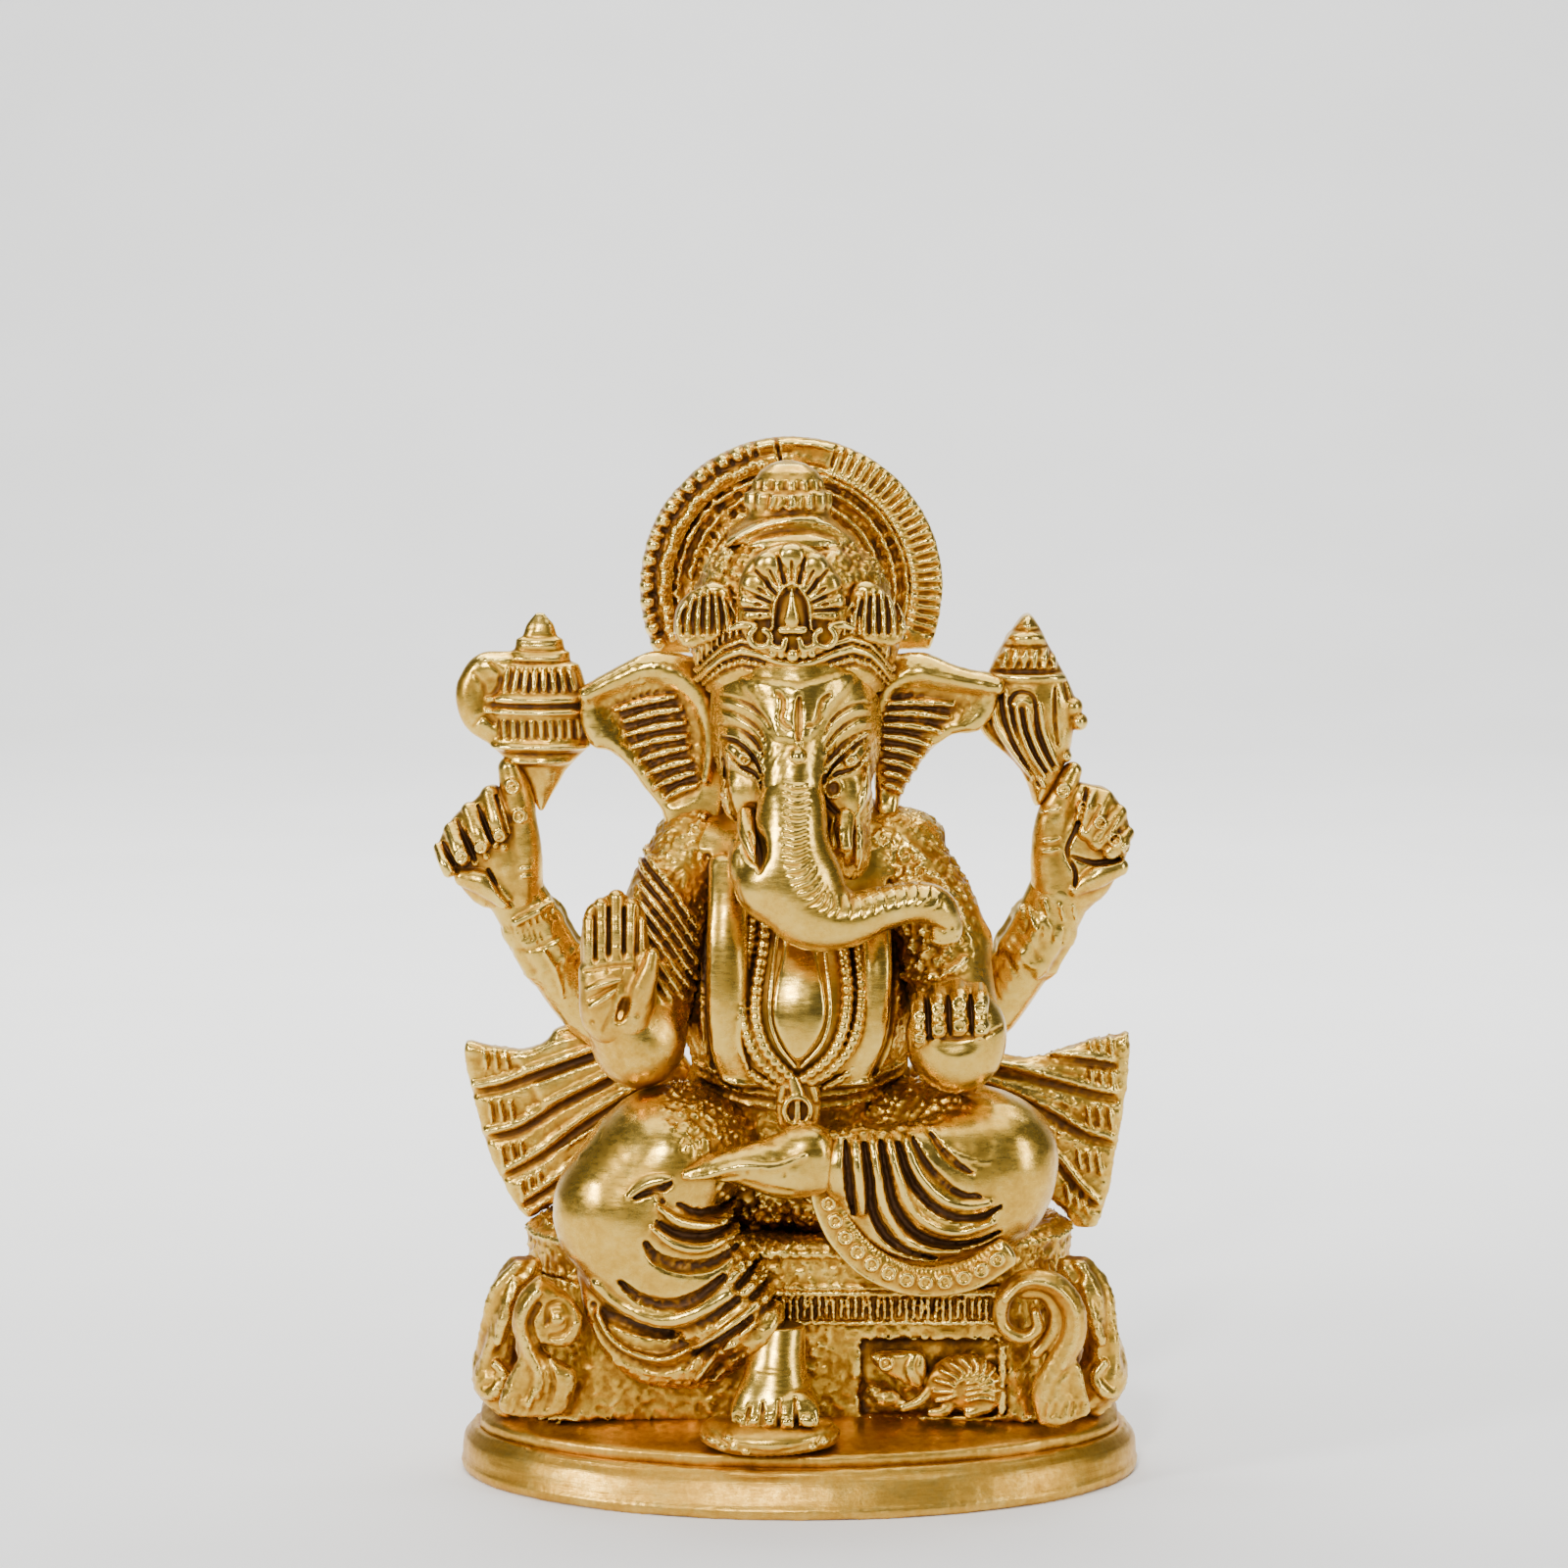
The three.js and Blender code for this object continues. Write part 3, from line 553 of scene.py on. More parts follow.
@cast("throne", "matted_brass", cell=0.42, filed=0.16)
def throne_block(clay):
    """The throne: flared sides, a flat front with a low niche, and a cast hollow underneath."""
    clay.turned([(38.6, 8.2, 21.6), (37.2, 10, 20.8), (36, 13, 20.2), (35.2, 17, 19.8), (34.2, 21, 19.4),
        (33.9, 24.9, 19.2)], centre=(0, 2.4))
    clay.block((-60, -40, 0), (60, -12, 60), rounded=0, cut=True, blend=0.8)
    clay.block((7.4, -20, 9.2), (24.9, -10.8, 18.6), rounded=0.4, cut=True, blend=0.4)
    clay.block((24, -13.2, 9.4), (25, -10, 18.4), rounded=0.3, blend=0.3)
    clay.turned([(27.5, -3, 9.6), (27.5, 20, 9.6)], centre=(0, 2.4), cut=True)
    back = Relief(clay)
    for row in range(3):
        back.line([(-40, 12.5 + 4.4 * row), (40, 12.5 + 4.4 * row)], 0.9, 0.5)
    clay.press_behind(back, 6, 6)
    grained(clay, 0.85, 0.42)


@cast("throne", "matted_brass")
def seat_slab(clay):
    """The seat's edge, matted like the throne, with a plain roll along its top."""
    clay.turned([(33.2, 24.2, 17.9), (33.5, 26, 18), (33.7, 28.2, 18.2), (33.4, 29.6, 17.8), (32, 31, 16.8)],
        centre=(0, 2.4))
    clay.block((-60, -40, 20), (60, -13.4, 40), rounded=0, cut=True, blend=0.8)
    roll = Relief(clay)
    roll.lines(
        ([(-40, 29.6), (40, 29.6)], 0.7, 0.45),
        ([(-40, 25.4), (40, 25.4)], 0.5, 0.3))
    clay.press(roll, 99)
    grained(clay, 0.8, 0.45)


@cast("throne", "matted_brass", cell=0.2, room=1.2)
def dentil_moulding(clay):
    """A row of small upright teeth under the seat, each struck a little differently."""
    clay.block((-23.8, -13.5, 21.2), (24.4, -11.4, 24.9), rounded=0.3)
    for n in range(54):
        x = -23.2 + n * 0.88
        sway = 0.18 * math.sin(n * 2.4)
        clay.tube([(x, -13.7, 21.9 + sway, 0.26, 0.6), (x + sway * 0.6, -13.9, 24.1, 0.3, 0.6)], blend=0.15)
    for z, half in ((24.8, 0.45), (21.2, 0.35)):
        clay.tube([(-23.6, -13.6, z, half, 0.5), (24.2, -13.6, z, half, 0.5)], blend=0.1)
    grained(clay, 0.6, 0.22)


@cast("throne", "worn_brass", cell=0.25, filed=0.08)
def foot_cushion(clay):
    """The little cushion under the foot: a soft lobed pad with a beaded seam."""
    clay.ball((-3.8, -20.6, 9.1), (8.2, 4.9, 2.3))
    clay.ball((-9.4, -19.6, 9.4), (2.6, 3.2, 1.7), blend=0.8)
    clay.ball((2.4, -19.8, 9.2), (2.4, 3.2, 1.6), blend=0.8)
    seam = Relief(clay)
    seam.line([(-11.2, 10.2), (-8, 9.0), (-3.6, 8.3), (0.6, 8.9), (4.2, 10)], 0.35, -0.35)
    for x, z in ((-10.6, 9.3), (-9.3, 8.5), (-7.9, 8.8), (-8.6, 9.9), (-6.4, 8.1), (1.6, 8.6), (3, 9.2)):
        seam.dot(x, z, 0.6, 0.4)
    for n in range(9):
        x = -6.4 + n * 0.85
        seam.line([(x, 7.0), (x, 8.0)], 0.3, -0.18)
    clay.press(seam, -18)


@cast("throne", "worn_brass", cell=0.25, filed=0.08)
def right_throne_scroll(clay):
    """An S-scroll on the throne's corner, its upper coil turned inwards."""
    clay.slab([(-31.6, 26.8), (-34, 24.4), (-34.8, 21), (-34, 17.4), (-35.4, 14.2), (-36.4, 11),
        (-34.6, 9.8), (-29, 9.8), (-27.4, 12.2), (-27.2, 15.2), (-29.6, 16.8), (-31, 18.6), (-28.6, 18.2),
        (-26.5, 19.6), (-26.3, 22.4), (-27.9, 24.6), (-29.9, 26)], -13.6, 3.4, rounded=1.2)
    lines = Relief(clay)
    lines.lines(
        ([(-31.6, 25.4), (-33, 23.4), (-33.6, 21), (-32.8, 18.2), (-31.6, 15.6), (-31.6, 13.4),
            (-32.8, 11.6)], 0.8, 0.6),
        ([(-31.4, 23.8), (-32.4, 21.4), (-31.6, 18.6), (-30.4, 16.6), (-29.8, 13.8),
            (-30.6, 11)], 0.5, -0.7),
        ([(-30.6, 21.6), (-30.2, 23.6), (-28.6, 24), (-27.6, 22.4), (-28.2, 20.4), (-30, 19.8)], 0.5, -0.6))
    lines.dot(-29.2, 22, 0.9, 0.5)
    for n in range(6):
        lines.line([(-35.4 + n, 10.6), (-34.8 + n, 12.6)], 0.3, -0.35)
    clay.press(lines, -12)
    grained(clay, 0.7, 0.16)


@cast("throne", "worn_brass", cell=0.25, filed=0.08)
def left_throne_scroll(clay):
    """The other corner's scroll: a post that rises and coils inwards like a fern."""
    clay.tube([(31.2, -13.6, 9.9, 2.6, 1.6), (30.6, -13.6, 13, 2.2, 1.6), (31.4, -13.6, 16.4, 1.7, 1.6),
        (33, -13.8, 19.8, 1.6, 1.7), (32.8, -14, 23.4, 1.5, 1.7), (30.4, -14.2, 26.2, 1.4, 1.6),
        (27, -14.2, 26.6, 1.3, 1.6), (24.6, -14.2, 24.4, 1.1, 1.5), (24.4, -14.2, 21.2, 1, 1.4),
        (26.6, -14.2, 19.6, 0.9, 1.3), (28.6, -14.2, 20.6, 0.8, 1.2), (28.4, -14.2, 22.6, 0.7, 1.1)],
        blend=0.5, steps=6)
    clay.tube([(27, -13.2, 25, 1, 1.2), (29.6, -13.2, 24.8, 1.1, 1.2), (31, -13.2, 22.4, 1.1, 1.2),
        (30.4, -13.2, 19.6, 1, 1.2), (28.6, -13.2, 17.4, 0.8, 1.1)], blend=0.3)
    clay.slab([(29.2, 9.6), (34.8, 9.6), (34.6, 13), (33.4, 16.4), (30, 15.6), (28.2, 13.4)], -13,
        2.4, blend=0.6)
    lines = Relief(clay)
    lines.line([(31.8, 16), (33.3, 20), (33, 23.6), (30.4, 26.3), (27, 26.6), (24.7, 24.4)], 0.5, 0.3)
    for n in range(5):
        lines.line([(29.4 + 1.1 * n, 10), (29.8 + 1.1 * n, 11.4)], 0.35, -0.4)
    lines.line([(30.2, 12), (30.8, 14), (32.2, 15.6)], 0.5, -0.35)
    clay.press(lines, -12)
    grained(clay, 0.7, 0.1)


def end_curl(clay, side):
    """A fat curl of foliage on the end of the throne, rolled over at its foot."""
    clay.tube([(side * 33.6, -7, 26.4, 2, 2.2), (side * 35.6, -7, 23.4, 2.2, 2.6),
        (side * 36.6, -6.4, 19.4, 2.1, 3), (side * 37.2, -6, 15.6, 2.3, 3.2), (side * 37, -5.8, 12.4, 2.9,
        3.4), (side * 35.4, -6, 10.2, 2.6, 3)], blend=1, pattern=lambda s, a: 0.28 * np.sin(a * 5 + s * 0.5))
    clay.ball((side * 37, -6.4, 12.8), (2.9, 3.4, 2.9), blend=0.6)
    clay.tube([(side * 38.6, -3, 17, 0.8, 1), (side * 39.2, -5, 14.6, 0.9, 1), (side * 39, -7, 12, 0.9, 1),
        (side * 37.4, -9.4, 11.4, 0.9, 1), (side * 36, -9.6, 13.4, 0.8, 0.9), (side * 37, -9.4, 15, 0.7,
        0.8)], blend=0.4)
    clay.tube([(side * 34.6, -9, 25, 0.8, 0.9), (side * 35.6, -9.6, 21.4, 0.9, 1),
        (side * 36.6, -9.6, 18, 0.8, 1)], blend=0.4)
    grained(clay, 0.8, 0.22)
    hand_worked(clay, 0.12)


@cast("throne", "worn_brass")
def right_end_curl(clay):
    """The curl on the figure's right."""
    end_curl(clay, -1)


@cast("throne", "worn_brass")
def left_end_curl(clay):
    """The curl on the figure's left, its mirror image."""
    end_curl(clay, 1)


@cast("throne", "chased_brass", cell=0.2, room=1.2, filed=0.06)
def mouse(clay):
    """The mouse in the niche: it faces the sweet, its head low and its back ribbed with fur."""
    clay.ball((20, -12.4, 13.6), (4.2, 1.9, 3.5))
    clay.ball((22.2, -12.2, 12.4), (2.6, 1.7, 2.7), blend=0.8)
    clay.ball((17.6, -12.4, 13.2), (2.6, 1.6, 2.4), blend=0.8)
    clay.slab([(8.6, 17.2), (9.4, 15.4), (11.8, 14), (14.4, 13), (15.2, 14.6), (15, 17.2), (12, 17.6)],
        -12.6, 2.6, rounded=0.9, blend=0.5)
    clay.ball((13.6, -12.9, 15.2), (1.6, 1.3, 1.9), blend=0.4)
    clay.tube([(15.8, -12.8, 12.6, 0.8), (14.2, -13.2, 11.2, 0.7), (12.6, -13.2, 10.6, 0.6)], blend=0.3)
    clay.tube([(18.4, -12.8, 11.4, 0.9), (17.4, -13.2, 10.2, 0.8), (16, -13.2, 10, 0.6)], blend=0.3)
    clay.tube([(22.6, -12.8, 10.6, 0.9), (20.6, -13.2, 10, 0.8)], blend=0.3)
    fur = Relief(clay)
    fur.ring(10.4, 16.2, 0.75, 0.3, 0.35)
    fur.dot(10.4, 16.2, 0.4, 0.3)
    fur.lines(
        ([(13.2, 17), (12.6, 15.4), (13.2, 13.6)], 0.25, -0.35),
        ([(14.4, 17), (14, 15.6), (14.8, 14)], 0.25, -0.35))
    for n in range(11):
        angle = math.radians(200 - n * 20)
        cx, cz = 20.4 + 2.5 * math.cos(angle), 12.8 + 2.3 * math.sin(angle)
        dx, dz = math.cos(angle), math.sin(angle)
        fur.line([(cx - 0.7 * dx, cz - 0.7 * dz), (cx + 0.7 * dz, cz + 0.5 * dz),
            (cx + 1.7 * dx, cz + 1.7 * dz)], 0.34, 0.4)
    for n in range(5):
        fur.line([(20.2, 11.6 + 0.75 * n), (22, 12 + 0.7 * n), (23.6, 11.6 + 0.6 * n)], 0.28, 0.35)
    clay.press(fur, -11)


@cast("throne", "worn_brass", cell=0.2, room=1.2)
def mouse_sweet(clay):
    """The round sweet under the mouse's nose."""
    clay.ball((10.4, -13, 11.8), (1.9, 1.3, 1.2))
    clay.ball((9, -12.8, 12.5), (1, 0.9, 0.8), blend=0.3)
    clay.ball((12, -12.8, 11.1), (1, 0.9, 0.8), blend=0.3)
    grained(clay, 0.6, 0.14)


# The legs

def band_rings(relief, points, count, radius, height):
    """Small punched rings at even steps along a path."""
    length, place = walk(smooth_path(points, 12))
    for n in range(count):
        x, z = place(length * (n + 0.5) / count)
        relief.ring(x, z, radius, radius * 0.45, height)
        relief.dot(x, z, radius * 0.5, height * 0.8)


@cast("figure_cloth", "polished_cloth", cell=0.3, filed=0.05)
def right_leg_drape(clay):
    """Hip, thigh, knee and shin of the leg that hangs down, under cloth drawn tight over the knee."""
    clay.tube([(-9, -2, 40.6, 8, 8.6), (-15.8, -8.6, 41.2, 7.8, 8.4), (-20.6, -13, 37.6, 7.4, 7.6),
        (-20.6, -14.6, 33.6, 8, 6.8), (-14, -15.4, 27, 7, 5.4), (-6.6, -16.6, 22.6, 4.2, 4)], steps=6)
    clay.ball((-19.8, -13, 35.2), (9.2, 7.8, 7.4), blend=3)
    clay.ball((-15.4, -12.4, 41.4), (7.6, 8, 7.4), turn=(0, 30, 0), blend=4)
    clay.ball((-4, -4, 36.4), (7, 6, 6), blend=2)
    clay.ball((-13.4, -15, 29), (8.6, 5, 6.6), turn=(0, 28, 0), blend=2.5)
    clay.tube([(-23.6, -12.6, 27.4, 3.4, 2.6), (-20.4, -12.8, 20.6, 4.6, 2.8), (-14.6, -13, 17.2, 4, 2.8),
        (-10.4, -13.4, 17.6, 3.4, 2.6), (-6.2, -14.6, 21, 3, 2.6)], blend=1.5)
    clay.slab([(-25, 25.6), (-24.2, 20.2), (-22, 15.6), (-18.4, 13.4), (-12.2, 13.4), (-9.6, 14.4),
        (-6.4, 17), (-3.6, 20), (-4, 24), (-12, 29)], -12.8, 3, rounded=1.2, blend=1.2)
    folds = Relief(clay)
    # Tight folds over the shin, deepest at their left ends
    folds.lines(
        ([(-18.4, 32.8), (-17, 30.8), (-14, 29.8), (-10.6, 29.9), (-7.6, 31.4)], 1.0, -1.5, 0.6),
        ([(-17.4, 34.6), (-14.8, 32.6), (-11.4, 32), (-7.4, 33.2)], 0.9, 0.9, 0.5),
        ([(-17, 35.4), (-14.6, 33.7), (-11, 33.1), (-7.6, 34)], 0.55, -1.0, 0.6),
        ([(-16.8, 37.2), (-14.2, 35.2), (-10.8, 34.5), (-8, 34.9)], 0.9, 0.8, 0.5),
        ([(-14.6, 37.4), (-12.4, 36), (-9.6, 35.7), (-7.4, 35.9)], 0.6, -0.9, 0.6),
        ([(-16.2, 37.6), (-16.8, 38.6), (-16, 40)], 0.5, -0.8, 0.4))
    # The slit of a crease on top of the knee
    folds.lines(
        ([(-20.4, 38.5), (-18.6, 39.6), (-16.8, 40.2), (-15.4, 40.6)], 1.1, 0.5, 0.7),
        ([(-19.8, 38.2), (-18, 39), (-16.4, 39.4), (-15.2, 40)], 0.65, -1.3, 0.7),
        ([(-26.4, 42.4), (-24.6, 44.4), (-23.6, 47)], 0.8, 0.2, 0.5))
    # The cloth's lower edge and the loops that hang from it
    folds.lines(
        ([(-21.4, 27.6), (-19, 25.6), (-15.6, 25), (-12.4, 26), (-9, 28.4)], 1.0, -1.5, 0.5),
        ([(-24.6, 26.6), (-22.6, 24.6), (-19.4, 23), (-16, 22.6), (-12.6, 23.8), (-8.6, 26.4)], 1.2, 0.9),
        ([(-24.8, 23.6), (-22, 22), (-18.4, 20.9), (-15, 21), (-11.4, 22.9), (-7.6, 25.6)], 1.2, -1.2, 0.5),
        ([(-24.4, 23.4), (-23.4, 20.6), (-20.6, 18.2), (-16.6, 17.3), (-12.8, 19), (-8.6, 22.4),
            (-5.6, 24.6)], 0.6, 0.9),
        ([(-24.4, 21), (-22.4, 18.2), (-19.4, 16.4), (-16, 15.8), (-13, 17.2)], 0.7, -0.7, 0.5),
        ([(-13.8, 16), (-12, 18.6), (-9, 21.2), (-5.8, 23.6)], 0.6, -0.9, 0.4),
        ([(-12.4, 14.6), (-10.4, 17.6), (-8, 20.2), (-5.2, 23)], 0.8, 1.1, 0.4),
        ([(-10.6, 14.6), (-8.8, 17.2), (-6.6, 19.4)], 0.6, -0.9, 0.3))
    # Gathered ends of cloth tucked in above the ankle
    for x0, z0, x1, z1 in ((-8.2, 28.2, -5.4, 30.8), (-6.6, 26.6, -3.4, 28.8), (-5.4, 25, -3, 26.4)):
        folds.lines(
            ([(x0, z0), (x1, z1)], 0.95, 0.9),
            ([(x0 + 0.8, z0 - 1.1), (x1 + 0.6, z1 - 1.2)], 0.4, -1.2))
    hem = [(-2.4, 27.4), (-1.2, 25.4), (-2, 22.6), (-4.2, 20.2), (-6.6, 18.8), (-8.2, 17.6)]
    folds.lines(
        (hem, 1.8, 0.8),
        ([(-4.6, 26.4), (-4.4, 24), (-5.8, 22), (-8, 20.4)], 0.4, -0.8))
    band_rings(folds, hem, 5, 0.75, 0.35)
    clay.press(folds, -9)
    rough = Relief(clay)
    rough.field([(-23, 22.6), (-18, 20.8), (-13, 21.4), (-9.6, 23.4), (-12, 20), (-16, 18.4),
        (-20.6, 19.4)], 1)
    rough.field([(-25.4, 18), (-20, 15.4), (-13.6, 15), (-9, 15.6), (-8, 13), (-26, 12)], 1, soft=1.5)
    rough.lines(
        ([(-17.4, 31.4), (-14, 30), (-10.6, 30)], 0.8, 0.7),
        ([(-20, 26), (-15.6, 25), (-11, 26.6)], 0.9, 0.8))
    rough.field([(-25.4, 24), (-20, 20), (-14, 19), (-9, 21), (-4, 24), (-4, 12), (-26, 12)], 0.8, soft=2)
    rough.grooves_of(folds)
    grained(clay, 0.75, 0.4, rough)
    rough = Relief(clay)
    rough.field([(-16, 54), (-15.4, 46), (-12.6, 42.6), (-8, 43.6), (-2, 44.6), (1, 54)], 1, soft=1.5)
    grained(clay, 0.95, 0.6, rough)
    lap = Relief(clay)
    lap.field([(-9, 42), (3, 42), (3, 28), (-7, 28)], 1, soft=1)
    grained(clay, 1.2, 0.8, lap)


@cast("figure_skin", "polished_brass", cell=0.24, filed=0.04)
def right_foot(clay):
    """The foot on the cushion: a smooth instep and five blunt toes with their nails struck in."""
    clay.tube([(-2.4, -17, 21, 3.1, 2.6), (-2.8, -17.8, 18, 3.5, 3), (-3, -19, 15.2, 4, 3),
        (-3.2, -20.6, 13, 4.8, 2.5), (-3, -22, 12, 4.9, 1.8)], steps=6)
    toes = ((-7.3, -21.4, 0.95), (-5.5, -22.6, 1.0), (-3.6, -23.2, 1.05), (-1.6, -23.4, 1.1),
        (0.9, -23, 1.45))
    for x, y, r in toes:
        clay.tube([(x * 0.75 - 0.8, y + 4, 14.6, r, 0.9), (x, y + 1, 12.6, r, 1),
            (x, y, 11.4 + 0.1 * r, r, 0.95)], blend=0.35)
    lines = Relief(clay)
    for x0, x1, top in ((-6, -6.5, 13.2), (-4.4, -4.6, 13.6), (-2.4, -2.6, 14), (-0.6, -0.4, 14.2)):
        lines.line([(x0, top), (x1, 11)], 0.32, -0.75, 0.5)
    for x, _, r in toes:
        lines.ring(x, 11.6, r * 0.62, 0.22, -0.3)
    lines.line([(-5, 17.2), (-1.4, 17)], 0.3, -0.12)
    clay.press(lines, -19)


@cast("figure_cloth", "polished_cloth", cell=0.3, filed=0.05)
def left_leg_drape(clay):
    """The crossed leg: thigh and broad knee, with deep pleats that sweep round below them."""
    clay.tube([(8, -1, 40.6, 8, 8.6), (16.6, -6.6, 41.8, 8, 8.4), (23.6, -10.6, 41, 7.2, 7.6),
        (20.6, -14, 38.8, 8, 5.4), (12, -16.2, 40, 6.6, 4.4), (5.6, -17.6, 41.4, 4.4, 3.4)], steps=6)
    clay.ball((21.4, -10.6, 41), (8.4, 7.4, 7.4), blend=3)
    clay.ball((23, -9.6, 36), (6.6, 6, 6.6), blend=3)
    clay.ball((2, -4.4, 36), (5, 6, 6), blend=2)
    clay.slab([(3.4, 44.6), (3.6, 37), (6.4, 32.6), (11, 29.6), (17, 28.6), (23, 30), (27.2, 33), (28.4, 38),
        (22, 42), (12, 44.6)], lambda x, z: -16.4 + 0.02 * (x - 10) ** 2 + 0.12 * np.maximum(38 - z, 0), 4.6,
        rounded=2, blend=2)
    pleats = Relief(clay)
    grooves = (
        [(5.4, 44.8), (5.8, 40.2), (6.4, 35.6)],
        [(7.6, 44.6), (8.3, 40.4), (8.6, 36.6), (10.2, 33), (13, 30.8), (16.4, 29.8)],
        [(9.6, 44.8), (10.4, 40.6), (11.4, 36.8), (13.8, 33.4), (17.2, 31.8), (20.8, 31.8), (24, 33.2)],
        [(11.6, 44.6), (13, 40.6), (15.4, 37.2), (18.4, 35.4), (21.6, 35.4), (24, 36.6)],
        [(13.4, 45), (15.4, 41.6), (18.6, 38.6), (21.6, 38)],
        [(15.4, 45.6), (17.8, 42.6), (20.6, 40.8)],
    )
    for n, path in enumerate(grooves):
        pleats.line(path, 0.68 if n < 4 else 0.55, -1.6 if n < 4 else -1.1, 0.6)
    ridges = (
        [(6.6, 45), (7, 40.4), (7.4, 36)],
        [(8.6, 45), (9.3, 40.6), (10, 36.8), (12, 33), (15, 31.2), (19, 30.8)],
        [(10.6, 45), (11.8, 40.6), (13.4, 36.4), (16.2, 34), (19.4, 33.4), (23, 34.6)],
        [(12.6, 45), (14.2, 41), (17, 37.8), (20, 36.8), (22.6, 37.2)],
    )
    for path in ridges:
        pleats.line(path, 0.8, 0.75, 0.3)
    pleats.line([(16.4, 44.4), (19.4, 42.8), (23, 42)], 0.3, 0.25, 0.6)
    clay.press(pleats, -9)
    rough = Relief(clay)
    rough.lines(
        ([(8.8, 36), (11, 32.6), (14.4, 31)], 1.0, 0.8),
        ([(12.6, 38.4), (16, 35.6), (20, 35.2)], 0.7, 0.7))
    rough.grooves_of(pleats)
    grained(clay, 0.75, 0.4, rough)
    rough = Relief(clay)
    rough.field([(-2, 54), (-2, 45.2), (6, 45.2), (14, 46), (20, 48.2), (23, 54)], 1, soft=1.2)
    rough.field([(-6, 42), (2.6, 42), (2.6, 28), (-6, 28)], 1, soft=1)
    grained(clay, 0.95, 0.65, rough)


@cast("figure_cloth", "chased_brass", cell=0.22, room=6.5, filed=0.06)
def hem_band(clay):
    """The embroidered edge of the apron: a flat curved band punched with rings, nicked along its edge."""
    middle = [(3.0, 45), (2.9, 40.6), (3.6, 36.4), (5.6, 32.6), (8.6, 29.6), (12.6, 27.7), (16.6, 27.3),
        (20.8, 28.2), (24.6, 30.6)]
    depth = lambda x, z: -18.3 + 0.004 * (x - 6) ** 2 + 0.04 * np.maximum(38 - z, 0)
    path = smooth_path(middle, 4)
    clay.tube([(x, depth(x, z), z, 1.9, 1.0) for x, z in path], steps=2)
    clay.trim_front(-18.6, 0.6)
    marks = Relief(clay)
    band_rings(marks, middle, 15, 0.72, 0.4)
    inner = smooth_path([(4.6, 44), (4.7, 40.4), (5.4, 37), (7.2, 33.8), (9.8, 31.2), (13, 29.5), (16.6, 29),
        (20, 29.8), (23.6, 32)], 14)
    outer = smooth_path([(1.4, 45), (1.2, 40.4), (2, 35.8), (4.2, 31.4), (7.6, 28), (12.2, 26), (16.6, 25.6),
        (21.4, 26.6), (25.6, 29.2)], 14)
    for (ax, az), (bx, bz) in zip(inner[::2], outer[::2]):
        ux, uz = (bx - ax) / 3.4, (bz - az) / 3.4
        marks.line([(ax, az), (ax + 0.75 * ux, az + 0.75 * uz)], 0.17, -0.3)
    marks.line(outer[::7].tolist(), 0.35, 0.2)
    clay.press(marks, -15)


@cast("figure_skin", "polished_brass", cell=0.24, filed=0.12)
def left_foot(clay):
    """The folded leg's foot: it lies across the lap, toes together, its sole towards the viewer."""
    clay.tube([(1.6, -18, 42.2, 4.4, 3), (-2, -18.6, 41.6, 4, 3.2), (-6, -19.2, 41.8, 2.7, 3),
        (-10.4, -19.6, 41.6, 1.7, 2.4), (-13.4, -19.6, 40.8, 0.9, 1.6)], steps=6)
    clay.ball((0.6, -18, 43.6), (3, 2.6, 2.6), blend=1.5)
    lines = Relief(clay)
    lines.lines(
        ([(-13, 40.6), (-11, 40.9), (-9, 41.8), (-6.4, 42.3), (-3, 42.2), (0.6, 43.4)], 0.6, 0.3, 0.4),
        ([(-13.4, 40.2), (-11.4, 40), (-9.6, 40.6), (-7.4, 41)], 0.4, -0.5, 0.5),
        ([(-6.6, 40.4), (-4, 39.6), (-1, 39)], 0.5, -0.25, 0.5))
    for x, z in ((-6.2, 41.4), (-1.8, 41.2), (-4.6, 41.8)):
        lines.dot(x, z, 0.3, -0.3)
    clay.press(lines, -17)


# The trunk of the body, and what it wears

def body(clay):
    """Belly, chest, shoulders and hips."""
    clay.ball((0, -1.2, 57.4), (14.4, 13.6, 13.6))
    clay.ball((0, 0.6, 71), (15.8, 9.6, 11.6), blend=5)
    clay.ball((0, 1.2, 44), (15.5, 11.2, 9.6), blend=4)
    clay.ball((-12.4, 0.4, 76), (6.4, 6, 6.2), blend=4)
    clay.ball((12.4, 0.4, 76), (6.4, 6, 6.2), blend=4)


